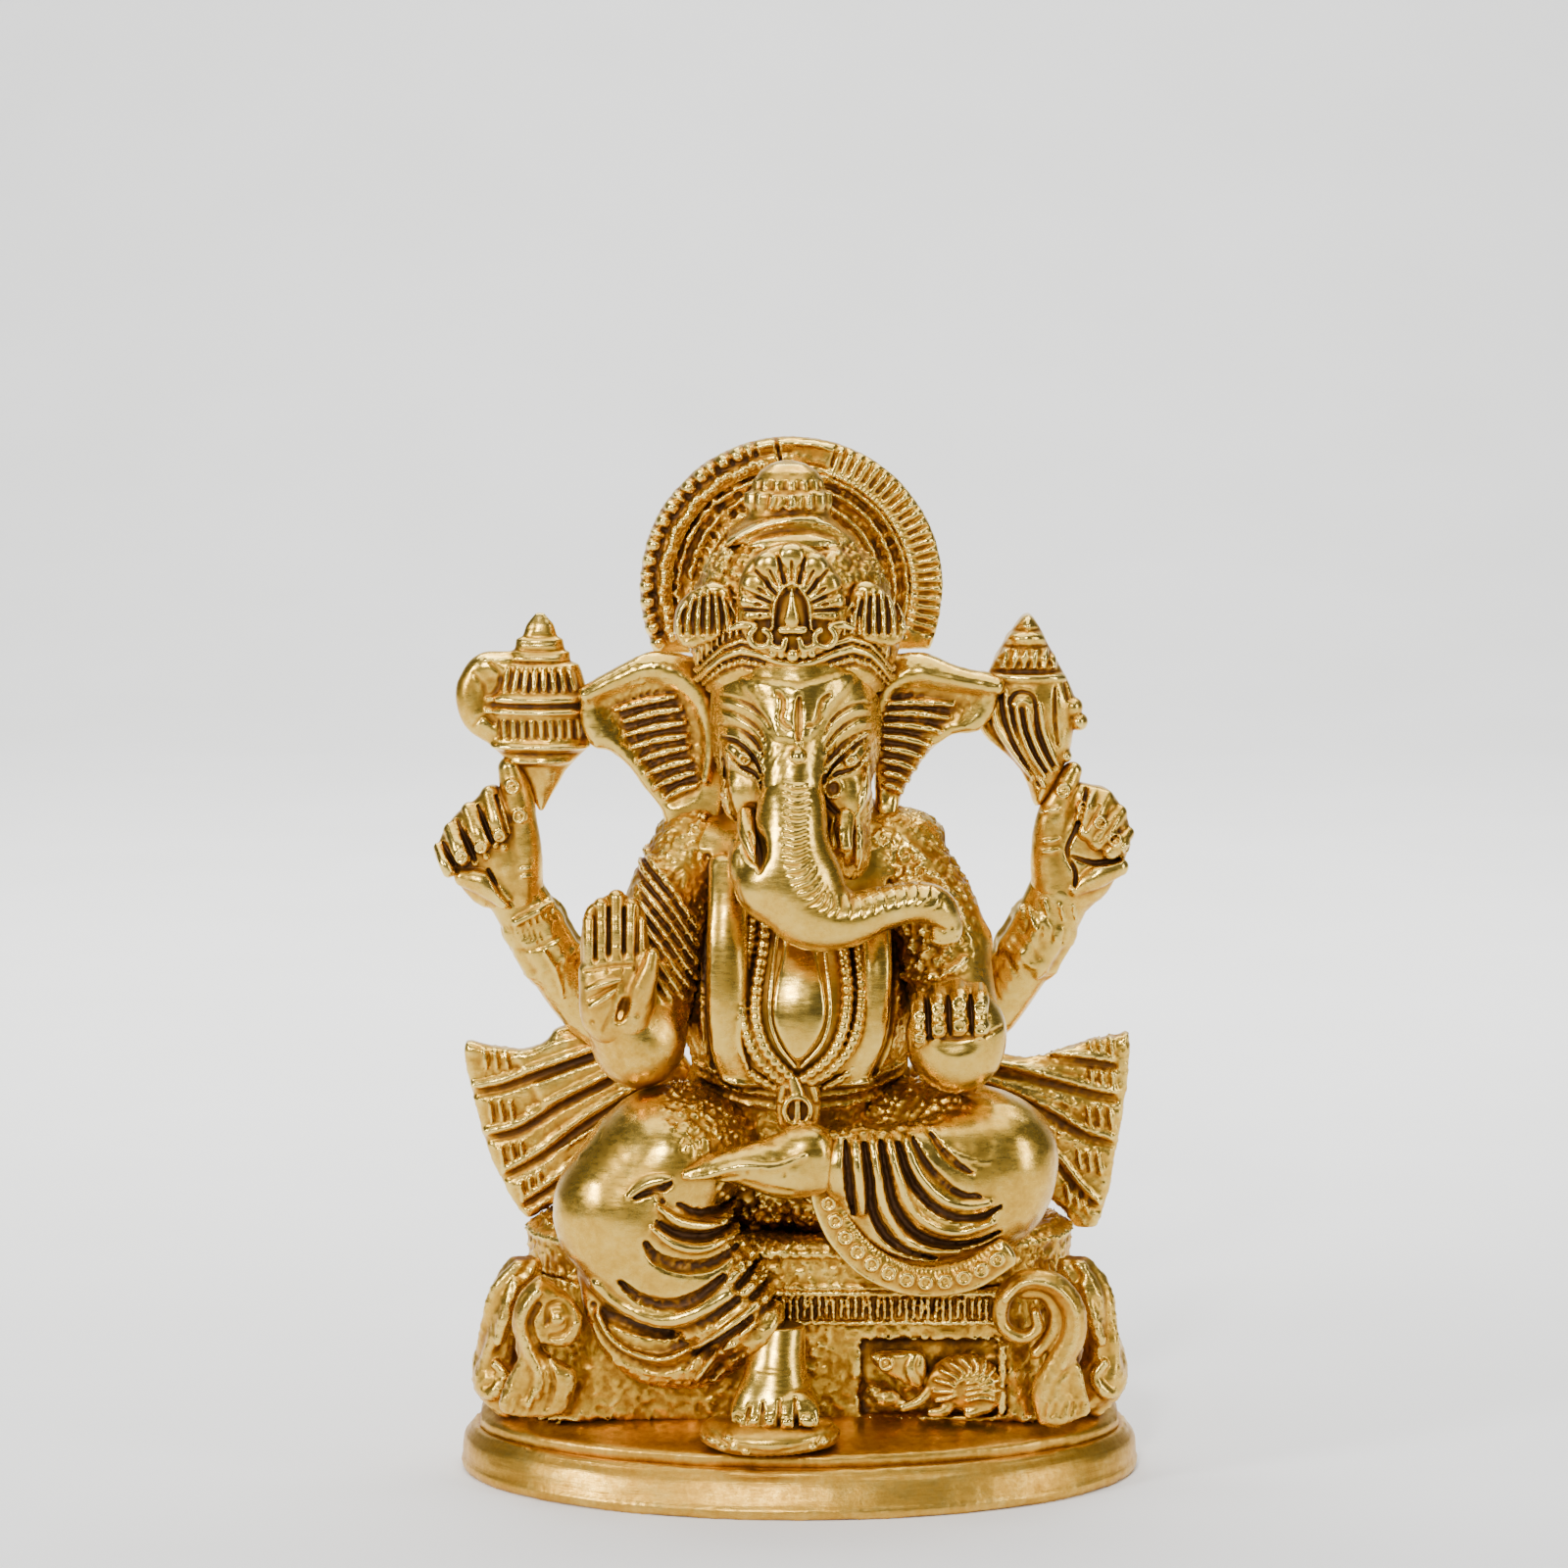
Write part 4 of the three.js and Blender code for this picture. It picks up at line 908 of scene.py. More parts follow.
@cast("figure_skin", "polished_cloth", filed=0.06)
def torso(clay):
    """The seated body in a close robe, smooth down each side of the belly and matted in its hollows."""
    body(clay)
    clay.ball((0, 2.6, 80), (9.6, 6.4, 6), blend=3)
    clay.tube([(-8.8, -8.6, 76, 2.6, 2), (-8.9, -11.6, 70, 2.7, 2), (-9, -13, 62, 2.8, 2),
        (-8.8, -12.6, 56, 2.6, 2), (-7.4, -11.4, 51.4, 2.4, 1.8)], blend=1.6)
    clay.tube([(9, -9.6, 72, 2, 1.6), (9.4, -12, 65, 2, 1.6), (9, -12.6, 57, 2, 1.6),
        (7, -11.6, 51.6, 2, 1.6)], blend=1.6)
    robe = Relief(clay)
    robe.lines(
        ([(-11.2, 77), (-11.3, 66), (-11.2, 57), (-10.2, 51.4), (-7.4, 49.4)], 0.55, -1.0),
        ([(-6.9, 60), (-7.2, 55.6), (-6, 51.6)], 0.6, 0.5, 0.5),
        ([(11, 74), (11.4, 64), (10.8, 56), (8.8, 51)], 0.6, -0.8))
    for n, z in enumerate((50.6, 49.2, 47.6)):
        robe.lines(
            ([(-13, z + 1), (-7, z - 0.2), (-2.4, z - 0.6)], 0.45, 0.5 - 0.1 * n),
            ([(13, z + 1), (7, z - 0.2), (1.8, z - 0.6)], 0.45, 0.5 - 0.1 * n))
    clay.press(robe, -3, 2)
    folds = Relief(clay)
    for z, dip, height in ((50, 1, 0.2), (56.4, -2.4, 0.3), (60.8, 3, 0.16), (67.4, -1, 0.26),
            (73.6, 2.6, 0.18)):
        folds.lines(
            ([(-19, z + 3 + dip), (-6, z), (6, z - dip), (19, z + 2)], 0.9, height, 0.4),
            ([(-16, z + 4 + dip), (-5, z + 1.2), (7, z + 0.9 - dip)], 0.35, -0.3, 0.5))
    clay.press_behind(folds, 2, 3)
    rough = Relief(clay)
    rough.field([(-19, 80), (-11.6, 80), (-11.6, 57), (-10.4, 51), (-5, 49), (5, 49), (10.8, 51), (11.4, 60),
        (11.2, 74), (8, 80), (19, 80), (19, 36), (-19, 36)], 1, soft=0.8, steps=2)
    grained(clay, 0.7, 0.34, rough, back=4)


@cast("figure_cloth", "worn_brass")
def waist_cloth(clay):
    """A sash wound round the back of the hips, its turns lying slantwise."""
    clay.turned([(17.4, 38.2), (18.4, 39.6), (18.6, 42.4), (18, 45), (17, 46.8)], centre=(0, 0.6),
        squash=0.78, pattern=lambda a, z: 0.4 * np.abs(np.sin(z * 1.1 + 0.5 * np.sin(a * 3))) - 0.2)
    clay.block((-30, -30, 30), (30, -2, 60), rounded=0, cut=True, blend=1)
    grained(clay, 0.8, 0.12)


def belly_front():
    """The depth of the body's front, for what hangs on it."""
    wax = Clay((-18, -17, 42), (18, 2, 84), 0.6)
    body(wax)
    return front_face(wax)


@cast("ornament", "chased_brass", cell=0.2, room=4)
def necklace(clay):
    """Garlands that frame the belly: a smooth cord outside and a beaded one inside, on each side."""
    face = belly_front()
    beads = lambda s, a: 0.3 * np.abs(np.sin(s * math.pi / 1.15)) - 0.1
    fine = lambda s, a: 0.12 * np.sin(s * math.pi / 0.5)
    smooth_cords = (
        [(-5.6, 72), (-6, 67), (-6.9, 62), (-6.6, 58), (-5.4, 54.6), (-3.6, 52.2), (-1.6, 50.6)],
        [(6.8, 72), (7, 66.6), (7.4, 62), (7, 58), (5.8, 54.8), (3.8, 52.4), (1.2, 50.8)],
    )
    beaded_cords = (
        [(-4.2, 72), (-4.4, 67), (-5.2, 62), (-5.2, 58.4), (-4.2, 55.2), (-2.6, 53), (-0.8, 51.2)],
        [(5, 72), (5.2, 66.6), (5.7, 62), (5.4, 58.4), (4.4, 55.4), (2.8, 53.2), (0.6, 51.4)],
    )
    for cord in smooth_cords:
        clay.tube(laid_on(face, cord, 0.7, 0.75, 0.95), steps=2, pattern=fine)
    for cord in beaded_cords:
        clay.tube(laid_on(face, cord, 0.6, 0.62, 0.85), steps=2, pattern=beads)
    clay.tube(laid_on(face, [(-8.4, 57.4), (-7.4, 54), (-5.4, 51.4), (-3, 50)], 0.4, 0.6), steps=2,
        pattern=beads)
    clay.tube(laid_on(face, [(8.8, 57), (7.4, 53.8), (5.4, 51.4), (3, 50)], 0.4, 0.5), steps=2,
        pattern=beads)
    inner = ([(-2.6, 69), (-3.4, 63), (-3.6, 59), (-2.6, 55.6), (-0.6, 52.8)],
        [(2.6, 69), (3.4, 63), (3.6, 59), (2.6, 55.6), (0.2, 52.8)])
    for cord in inner:
        clay.tube(laid_on(face, cord, 0.25, 0.3, 0.5), steps=2)


@cast("ornament", "polished_brass", cell=0.24, room=5, filed=0.05)
def belly_jewel(clay):
    """The bare belly between the garlands, filed to one smooth leaf-shaped face."""
    face = belly_front()
    clay.slab([(-1.8, 70), (2, 70), (2.2, 66), (3, 62), (3.1, 58.6), (1.8, 55.6), (-0.3, 53.4), (-2.2, 55.8),
        (-3.3, 59), (-3.1, 62.4), (-2.2, 66)], lambda x, z: face(x, z) - 0.1, 1.5, rounded=0.6)


@cast("ornament", "chased_brass", cell=0.2, room=2)
def pendant_ring(clay):
    """The ring that hangs where the garlands meet, with an upright bar inside it."""
    turn = np.linspace(0, 2 * math.pi, 9)[:-1]
    clay.tube([(-0.3 + 1.6 * math.sin(a), -14.8, 47.5 + 1.7 * math.cos(a), 0.42, 0.6)
        for a in turn], closed=True)
    clay.tube([(-0.3, -14.7, 49.2, 0.4, 0.5), (-0.3, -14.9, 45.9, 0.45, 0.5)])
    clay.tube([(-0.9, -14.2, 51.6, 0.7, 0.8), (-0.3, -14.6, 49.6, 0.9, 0.7)], blend=0.3)
    clay.tube([(-1.9, -14, 51, 0.45, 0.5), (-2.3, -14, 48.6, 0.4, 0.5)])
    clay.tube([(1.4, -14, 51, 0.45, 0.5), (1.9, -14, 48.6, 0.4, 0.5)])
    clay.slab([(-2.4, 50.6), (2, 50.6), (2.4, 46.4), (1.4, 44.8), (-2, 44.8), (-2.8, 46.4)], -13,
        2.4, blend=0.3)


# Arms and hands

@cast("figure_skin", "chased_cloth", cell=0.28, filed=0.12)
def right_front_arm(clay):
    """The arm behind the raised palm: a sleeve in slanting folds, and a smooth bare elbow."""
    clay.tube([(-12.6, 0, 77.4, 5.2, 5.4), (-15.8, -3, 71, 5.4, 5.6), (-17.6, -6.6, 62, 5.2, 5),
        (-19.4, -9.4, 55.6, 5, 5), (-21.4, -11.6, 57.6, 4.2, 4)], steps=6)
    clay.ball((-19.2, -10.4, 55.2), (5.4, 5, 5.8), turn=(0, 18, 0), blend=1.5)
    sleeve = Relief(clay)
    for n in range(9):
        top = 78 - n * 2.1
        sleeve.lines(
            ([(-19.6 + n * 0.15, top), (-15.6, top - 4.2), (-12.2, top - 9.4)], 0.6, 0.55, 0.3),
            ([(-19.6 + n * 0.15, top - 1.1), (-15.8, top - 5.3), (-12.4, top - 10.4)], 0.4, -0.6, 0.4))
    lower = np.clip((sleeve.z - 60) / 1.5, 0, 1)
    sleeve.raised *= lower
    sleeve.sunk *= lower
    clay.press(sleeve, 2)
    rough = Relief(clay)
    rough.field([(-22, 76), (-16, 72), (-11, 66), (-9, 70), (-8, 85), (-22, 85)], 1, soft=2)
    rough.field([(-20, 68), (-13, 62), (-12, 76), (-20, 76)], 0.5, soft=2)
    rough.field([(-14.4, 64), (-12, 64), (-11, 48), (-17, 48), (-14, 53)], 0.8, soft=1.2)
    grained(clay, 0.85, 0.5, rough)


@cast("figure_skin", "worn_brass", cell=0.2, filed=0.1)
def right_front_hand(clay):
    """The raised hand: straight fingers side by side, a ball of palm and the thumb standing along it."""
    clay.slab([(-26, 66), (-26, 60), (-25.4, 57), (-22.4, 55.2), (-19, 56.6), (-17.2, 60.6), (-17.8, 65.6),
        (-19, 67.6)], -13.4, 4.4, rounded=1.9)
    clay.ball((-23.4, -14.4, 60.4), (2.7, 2, 4), blend=1.2)
    for x, tip, r in ((-25.1, 71.2, 0.95), (-23.7, 73.2, 1.05), (-21.9, 74.2, 1.1), (-20.1, 73.2, 1.05),
            (-18.9, 71, 0.7)):
        clay.tube([(x, -13.8, 63.6, r, 1.5), (x, -14, 67.4, r, 1.5), (x, -13.4, tip - r, r * 0.96, 1.3)],
            blend=0.15, steps=4)
    clay.slab([(-25.8, 71), (-24, 72.8), (-21.9, 73.8), (-20, 72.8), (-18.4, 70.6), (-18.6, 64),
        (-25.8, 64)], -12.9, 1.9, rounded=0.8)
    clay.tube([(-20, -14.2, 58.4, 2, 1.9), (-18.9, -15, 62, 1.6, 1.7), (-17.9, -15.4, 65, 1.1, 1.3),
        (-17.5, -15.5, 66.6, 0.85, 1)], blend=0.7, steps=6)
    clay.ball((-21.2, -16.6, 60), (0.7, 1.7, 1.9), turn=(0, 20, 0), blend=0.5, cut=True)
    palm = Relief(clay)
    palm.lines(
        ([(-25.6, 64.6), (-23, 65.2), (-20, 65.4)], 0.4, -0.45, 0.3),
        ([(-25.4, 62.4), (-23.4, 63.2), (-21.4, 63.6)], 0.5, 0.35, 0.4),
        ([(-25, 60.4), (-23.4, 61.4), (-22, 62.4)], 0.5, 0.35, 0.4),
        ([(-25.2, 61.4), (-23.4, 62.3), (-21.8, 63)], 0.3, -0.4, 0.4),
        ([(-23.6, 57.4), (-22.6, 59.4), (-22, 62)], 0.4, -0.4, 0.4))
    for x in (-24.4, -22.8, -21, -19.5):
        palm.line([(x - 0.1, 64.6), (x, 68.6), (x, 72)], 0.3, -0.4, 0.3)
    for x, z in ((-25, 69), (-23.6, 70.6), (-21.9, 71.2), (-20.2, 70.4), (-23.6, 67.4), (-21.9, 67.8)):
        palm.line([(x - 0.6, z), (x + 0.6, z)], 0.22, -0.16)
    for x, z in ((-19.4, 59.4), (-24.8, 58.6), (-24.4, 66)):
        palm.dot(x, z, 0.35, -0.4)
    clay.press(palm, -12)


@cast("figure_skin", "chased_cloth", cell=0.28, filed=0.12)
def left_front_arm(clay):
    """The other arm: rough scaled sleeve above, plain below, down to the fist on the knee."""
    clay.tube([(11.6, 0, 77.4, 5, 5.4), (15.4, -3, 71, 5.6, 5.6), (17.8, -6, 63.4, 5.4, 5.4),
        (19.2, -10, 58, 4.8, 4.8)], steps=6)
    clay.tube([(17.4, -4, 70.6, 3, 4), (21, -5, 66.4, 2.2, 3)], blend=2)
    sleeve = Relief(clay)
    sleeve.lines(
        ([(8.4, 63.4), (13, 62.6), (17, 63.6), (20, 65.4)], 0.7, 0.5, 0.3),
        ([(12.6, 79), (16.4, 75), (19.4, 70.6), (21, 66)], 0.9, 0.3, 0.4))
    clay.press(sleeve, 0)
    rough = Relief(clay)
    rough.field([(6, 86), (14, 84), (20, 76), (21, 67), (14, 61), (8, 60)], 1, soft=1.5)
    rough.field([(8, 62), (14, 61), (13, 50), (8, 50)], 1, soft=1.5)
    grained(clay, 0.9, 0.5, rough, back=4)
    scales = Relief(clay)
    scales.field([(8, 66.6), (14.6, 69.6), (19, 66.4), (19.8, 64), (14.7, 61.4), (8, 64)], 1, soft=1.2)
    grained(clay, 1.7, 0.7, scales, back=0)


@cast("figure_skin", "polished_brass", cell=0.22, filed=0.05)
def left_front_hand(clay):
    """The fist closed round a sweet: four fingers folded over the top, the ball below filed to a facet."""
    clay.ball((18.7, -14, 56.4), (6.1, 5.2, 6.9))
    clay.ball((18.2, -24.6, 55.6), (9, 6.2, 3.6), turn=(18, 0, 0), blend=0.6, cut=True)
    fingers = ((14.2, 60.3, 0.95), (16.4, 61.3, 1.05), (18.9, 61.8, 1.2), (21.4, 61.4, 1.05))
    for x, z, r in fingers:
        clay.tube([(x, -14.4, z + 0.6, r, 1.2), (x, -17.2, z - 0.2, r * 1.08, 1.1),
            (x, -18.2, z - 1.7, r * 0.94, 0.9), (x, -18.9, z - 3, r * 1.08, 0.9), (x * 0.99, -18.6, z - 3.8,
            r * 0.9, 0.8)], blend=0.25, steps=5)
    lines = Relief(clay)
    for x, z, r in fingers:
        lines.ring(x, z - 0.6, r * 0.62, 0.24, 0.28)
        lines.line([(x - r, z - 2), (x + r, z - 2)], 0.22, -0.22)
        lines.ring(x, z - 3, r * 0.55, 0.22, 0.22)
    for x in (15.2, 17.7, 20.3):
        lines.line([(x, 61.8), (x + 0.1, 59.6), (x + 0.2, 57.4)], 0.34, -0.75, 0.4)
    lines.line([(13, 57.6), (14.6, 57.2), (18.6, 57), (22, 57.4), (24, 58)], 0.3, -0.5, 0.4)
    clay.press(lines, -14.6)


def rear_arm(clay, stops, cuff_from, cuff_to, nicks):
    """A forearm that comes out from behind the shoulder, with a ridged cuff above its wrist."""

    def cuff(s, a):
        inside = np.clip((s - cuff_from) / 0.3, 0, 1) * np.clip((cuff_to - s) / 0.3, 0, 1)
        ends = np.clip(1 - np.abs(s - cuff_from) / 0.7, 0, 1) + np.clip(1 - np.abs(s - cuff_to) / 0.7, 0, 1)
        return 0.25 * inside + 0.35 * ends + 0.2 * inside * np.sin(a * nicks)

    clay.tube(stops, steps=6, pattern=cuff)


@cast("figure_skin", "polished_brass", cell=0.26, filed=0.06)
def right_rear_arm(clay):
    """The rear forearm on the figure's right, its front filed flat in long facets."""
    rear_arm(clay, [(-13.6, 4.4, 62, 5.2, 4.4), (-19.6, 4.6, 55.4, 5, 4), (-25, 4.2, 56.2, 4, 3.5),
        (-30, 3.2, 62.6, 3.8, 3.3), (-33, 2.6, 68, 3.7, 3.1), (-35, 2.2, 71.6, 3.6, 3)], 23.2, 28.6, 9)
    clay.trim_front(-0.2, 0.4)
    lines = Relief(clay)
    lines.line([(-34.6, 68), (-32.6, 69), (-30.2, 70.4)], 0.7, 0.55)
    for n in range(5):
        lines.line([(-33.4 + 0.75 * n, 68.8 + 0.4 * n), (-33 + 0.75 * n, 67.6 + 0.4 * n)], 0.28, 0.35)
    for n in range(7):
        lines.line([(-36 + 0.7 * n, 67.6 - 0.1 * n), (-35.3 + 0.7 * n, 65.8 - 0.1 * n)], 0.22, -0.3, 0.6)
    lines.lines(
        ([(-35.6, 64.3), (-32.6, 64.7), (-29.8, 66)], 0.35, -0.35),
        ([(-31.2, 64.4), (-29.8, 62), (-29, 58.6)], 0.4, 0.3, 0.3))
    clay.press(lines, 2)
    grained(clay, 0.8, 0.2, worn=0.4)


@cast("figure_skin", "polished_brass", cell=0.26, filed=0.08)
def left_rear_arm(clay):
    """The rear forearm on the figure's left, with file strokes left slantwise across it."""
    rear_arm(clay, [(13, 4.4, 62, 5.2, 4.4), (17.8, 4.6, 54.6, 5, 4), (22.6, 4.2, 56, 4, 3.6),
        (27.4, 3.2, 62.8, 3.9, 3.3), (30.4, 2.6, 68, 3.9, 3.1), (32, 2.2, 71.4, 3.9, 3)], 23.4, 28, 8)
    strokes = Relief(clay)
    for n in range(15):
        x, z = 20 + n * 0.75, 56 + n * 0.95
        strokes.line([(x, z + 3.4), (x + 2.6, z - 1)], 0.2, -0.14 if n % 3 else -0.24, 0.6)
    for x, z in ((26.6, 70.4), (28, 68.8), (29.8, 70), (31.8, 69.4), (33.4, 69.2)):
        strokes.line([(x, z + 0.9), (x + 0.5, z - 1.1)], 0.3, 0.35, 0.3)
    for x, z in ((29.4, 66.8), (30.8, 66.4), (32.2, 66.2), (27.8, 67.4)):
        strokes.line([(x + 0.3, z + 1), (x, z - 0.8)], 0.26, -0.45, 0.4)
    clay.press(strokes, 2)


def folded_finger(clay, x0, z0, x1, z1, r, deep, bend):
    """A finger folded forward, from its knuckle at x0, z0 to its tip, bent a share of the way along."""
    middle = (x0 * (1 - bend) + x1 * bend, -0.5, z0 * (1 - bend) + z1 * bend, r, 1.2)
    clay.tube([(x0, 1.2, z0, r, deep), middle, (x1, -0.8, z1, r, 1)], blend=0.25, steps=5)


def punched(relief, x, z, radius, half):
    """A knuckle or fingertip ringed with the punch, with a boss in the ring."""
    relief.ring(x, z, radius, half, 0.32)
    relief.dot(x, z, radius * 0.5, 0.25)


@cast("figure_skin", "chased_brass", cell=0.2, filed=0.1)
def right_rear_hand(clay):
    """A fist that holds the axe: the index finger up along the shaft, the others folded, ringed at tips."""
    clay.tube([(-34.6, 2.2, 71, 3.4, 2.7), (-35.4, 2, 74, 3.6, 2.7), (-37.6, 1.8, 77, 4.6, 2.6)], steps=6)
    clay.slab([(-37, 84.6), (-40, 82.6), (-42.4, 80.6), (-44.4, 76.6), (-42.6, 73.8), (-38.8, 69.6),
        (-33.8, 71.4), (-33.6, 78)], 1.9, 4.4, rounded=1.8, blend=1)
    clay.tube([(-33.9, 1.8, 71.4, 2.4, 2.4), (-33.6, 1.4, 75.4, 2.2, 2.3), (-34, 1.1, 80, 2, 2),
        (-34.6, 1.1, 84, 1.9, 1.8), (-35.3, 1.4, 86.8, 1.5, 1.6)], blend=0.4, steps=6)
    for (x0, z0), (x1, z1), r in (((-37.7, 83.4), (-36.4, 79.2), 1.25), ((-40.2, 81.4), (-38.7, 77.7), 1.2),
            ((-42.4, 79), (-41, 76), 1.1), ((-43.9, 76.6), (-42.8, 74.4), 0.8)):
        folded_finger(clay, x0, z0, x1, z1, r, 1.5, 0.6)
    clay.tube([(-41, 0, 73.6, 1.2, 1.2), (-38.8, -0.4, 73, 1.5, 1.3), (-36, -0.3, 70.6, 1, 1)],
        blend=0.4, steps=5)
    lines = Relief(clay)
    for x, z, r in ((-35, 84.8, 0.75), (-34.1, 81.2, 0.75), (-41.2, 76.3, 0.7), (-38.8, 77.4, 0.65),
            (-36.5, 78.8, 0.65)):
        punched(lines, x, z, r, 0.26)
    for (x0, z0), (x1, z1) in (((-39.2, 82.4), (-37.4, 78)), ((-41.8, 80.6), (-39.5, 75.6)),
            ((-43.5, 77.8), (-41.9, 75.2)), ((-37, 83.6), (-35.6, 79))):
        lines.line([(x0, z0), (x1, z1)], 0.32, -0.8, 0.3)
    lines.line([(-38, 74.6), (-36.6, 71.9), (-35, 70)], 0.35, -0.7, 0.4)
    for z in (73.7, 74.7):
        lines.line([(-33.9, z), (-32.7, z + 0.1)], 0.3, 0.25)
    for x, z in ((-37, 77.6), (-38.2, 76.2), (-39.6, 75.4), (-36, 77.4)):
        lines.dot(x, z, 0.5, 0.35)
    clay.press(lines, 2)


@cast("figure_skin", "chased_brass", cell=0.2, filed=0.1)
def left_rear_hand(clay):
    """The hand that holds the conch: knuckles ringed with the punch, the thumb tucked in below."""
    clay.tube([(32.2, 2.2, 71, 3.8, 2.8), (33, 2, 74, 4, 2.7), (35, 1.8, 78, 4.4, 2.6)], steps=6)
    clay.slab([(33.4, 84.8), (35.4, 84.8), (37.6, 84.2), (39.4, 82), (40.4, 79.4), (40.1, 76.2),
        (38.8, 73.2), (36, 70), (30, 70.4), (29, 76), (31, 82)], 1.9, 4.4, rounded=1.8, blend=1)
    clay.tube([(31, 1.8, 72.4, 2.6, 2.4), (30.4, 1.4, 76.4, 2.1, 2.2), (30.9, 1.1, 80.6, 2, 2),
        (32.2, 1.1, 84.2, 1.7, 1.8), (33.3, 1.4, 86.4, 1.2, 1.5)], blend=0.4, steps=6)
    for (x0, z0), (x1, z1), r in (((35.6, 83.4), (34.4, 81), 0.95), ((37.2, 83), (35, 79.2), 1.2),
            ((38.8, 81.2), (36.2, 78), 1.2), ((39.8, 78.6), (37.9, 76.8), 1)):
        folded_finger(clay, x0, z0, x1, z1, r, 1.4, 0.5)
    clay.tube([(39, 0, 74.8, 1.2, 1.2), (36.4, -0.5, 73.8, 1.4, 1.3), (33.6, -0.3, 72, 0.8, 1)],
        blend=0.4, steps=5)
    lines = Relief(clay)
    for x, z, r in ((32.1, 84.3, 0.75), (34.4, 82.3, 0.6), (36.6, 80.5, 0.65), (38.4, 78.4, 0.7),
            (39.9, 77.2, 0.55)):
        punched(lines, x, z, r, 0.24)
    lines.lines(
        ([(35, 84.4), (34, 80.4), (32.6, 77), (33.6, 74.4), (33.6, 72.6)], 0.35, -0.8, 0.3),
        ([(38.6, 81), (36.6, 78.2)], 0.3, -0.5, 0.3),
        ([(36.6, 82.6), (34.8, 79.6)], 0.3, -0.5, 0.3),
        ([(33.2, 76.2), (36, 75.4), (39, 75.8)], 0.4, -0.8, 0.3))
    for z in (81.9, 78.2, 76.9):
        lines.line([(29.6, z - 0.2), (31.6, z + 0.2)], 0.4, 0.3, 0.3)
    clay.press(lines, 2)


# What the rear hands hold

@cast("ornament", "chased_brass", cell=0.22, room=2.4, filed=0.1)
def axe_head(clay):
    """The axe, flat on: a stepped spire, a collar of petals, a nicked socket and a small curled blade."""
    clay.turned([(0.2, 81.5), (1.5, 83.8), (3, 86.4), (5, 88.6), (6.2, 89.6), (6.3, 90.4), (5.9, 90.7),
        (6.1, 93), (6.3, 93.3), (6.3, 94.6), (6.2, 94.9), (6.2, 96), (5.8, 96.3), (4.6, 99.6), (3.7, 99.8),
        (3.6, 101), (3, 101.3), (2.8, 102.6), (2.1, 102.9), (1.6, 104.4), (0.5, 105.8)],
        centre=(-31.6, 2), squash=0.55)
    clay.tube([(-36, 2, 99, 2, 1.9), (-38.4, 2, 98.8, 2, 1.8), (-39.9, 2, 96.2, 2, 1.8),
        (-39.2, 2, 93, 2, 1.8), (-36.6, 2, 91, 1.7, 1.7)], blend=0.4, steps=6)
    clay.slab([(-35, 100), (-39, 99.4), (-40.6, 95.4), (-38.6, 91.6), (-35, 91)], 2, 3, rounded=1)
    marks = Relief(clay)
    for n in range(8):
        x = -36 + n * 1.25
        lean = (x + 31.6) * 0.1
        marks.lines(
            ([(x, 96.6), (x - lean * 1.4, 99.2)], 0.5, 0.4, 0.5),
            ([(x + 0.62, 96.4), (x + 0.62 - lean * 1.2, 98.6)], 0.22, -0.45, 0.3))
    for n in range(10):
        x = -36.6 + n * 1.15
        marks.lines(
            ([(x, 92.9), (x + 0.1, 90.8)], 0.26, -0.45, 0.3),
            ([(x + 0.57, 92.9), (x + 0.67, 90.8)], 0.3, 0.25, 0.3))
    for z, half, height in ((95.4, 0.5, 0.4), (93.9, 0.45, 0.45), (94.65, 0.25, -0.4), (89.6, 0.5, 0.45),
            (88.7, 0.25, -0.35), (87.7, 0.45, 0.4), (100.3, 0.4, 0.3), (101.9, 0.35, 0.3),
            (103.6, 0.35, 0.3), (101.1, 0.2, -0.3), (102.8, 0.2, -0.3)):
        marks.line([(-38, z), (-25, z)], half, height)
    marks.lines(
        ([(-37.6, 100), (-36.4, 98.4), (-37, 96.4), (-38.4, 95.6)], 0.35, -0.6, 0.3),
        ([(-39.6, 98.6), (-38.4, 97), (-38.2, 95)], 0.35, -0.5, 0.3),
        ([(-39.8, 92), (-38.4, 93.4), (-37.2, 92.4)], 0.35, -0.5, 0.3))
    clay.press(marks, 1.4)
    marks.raised *= 0.8
    clay.press_behind(marks, 2.6, 1.2)


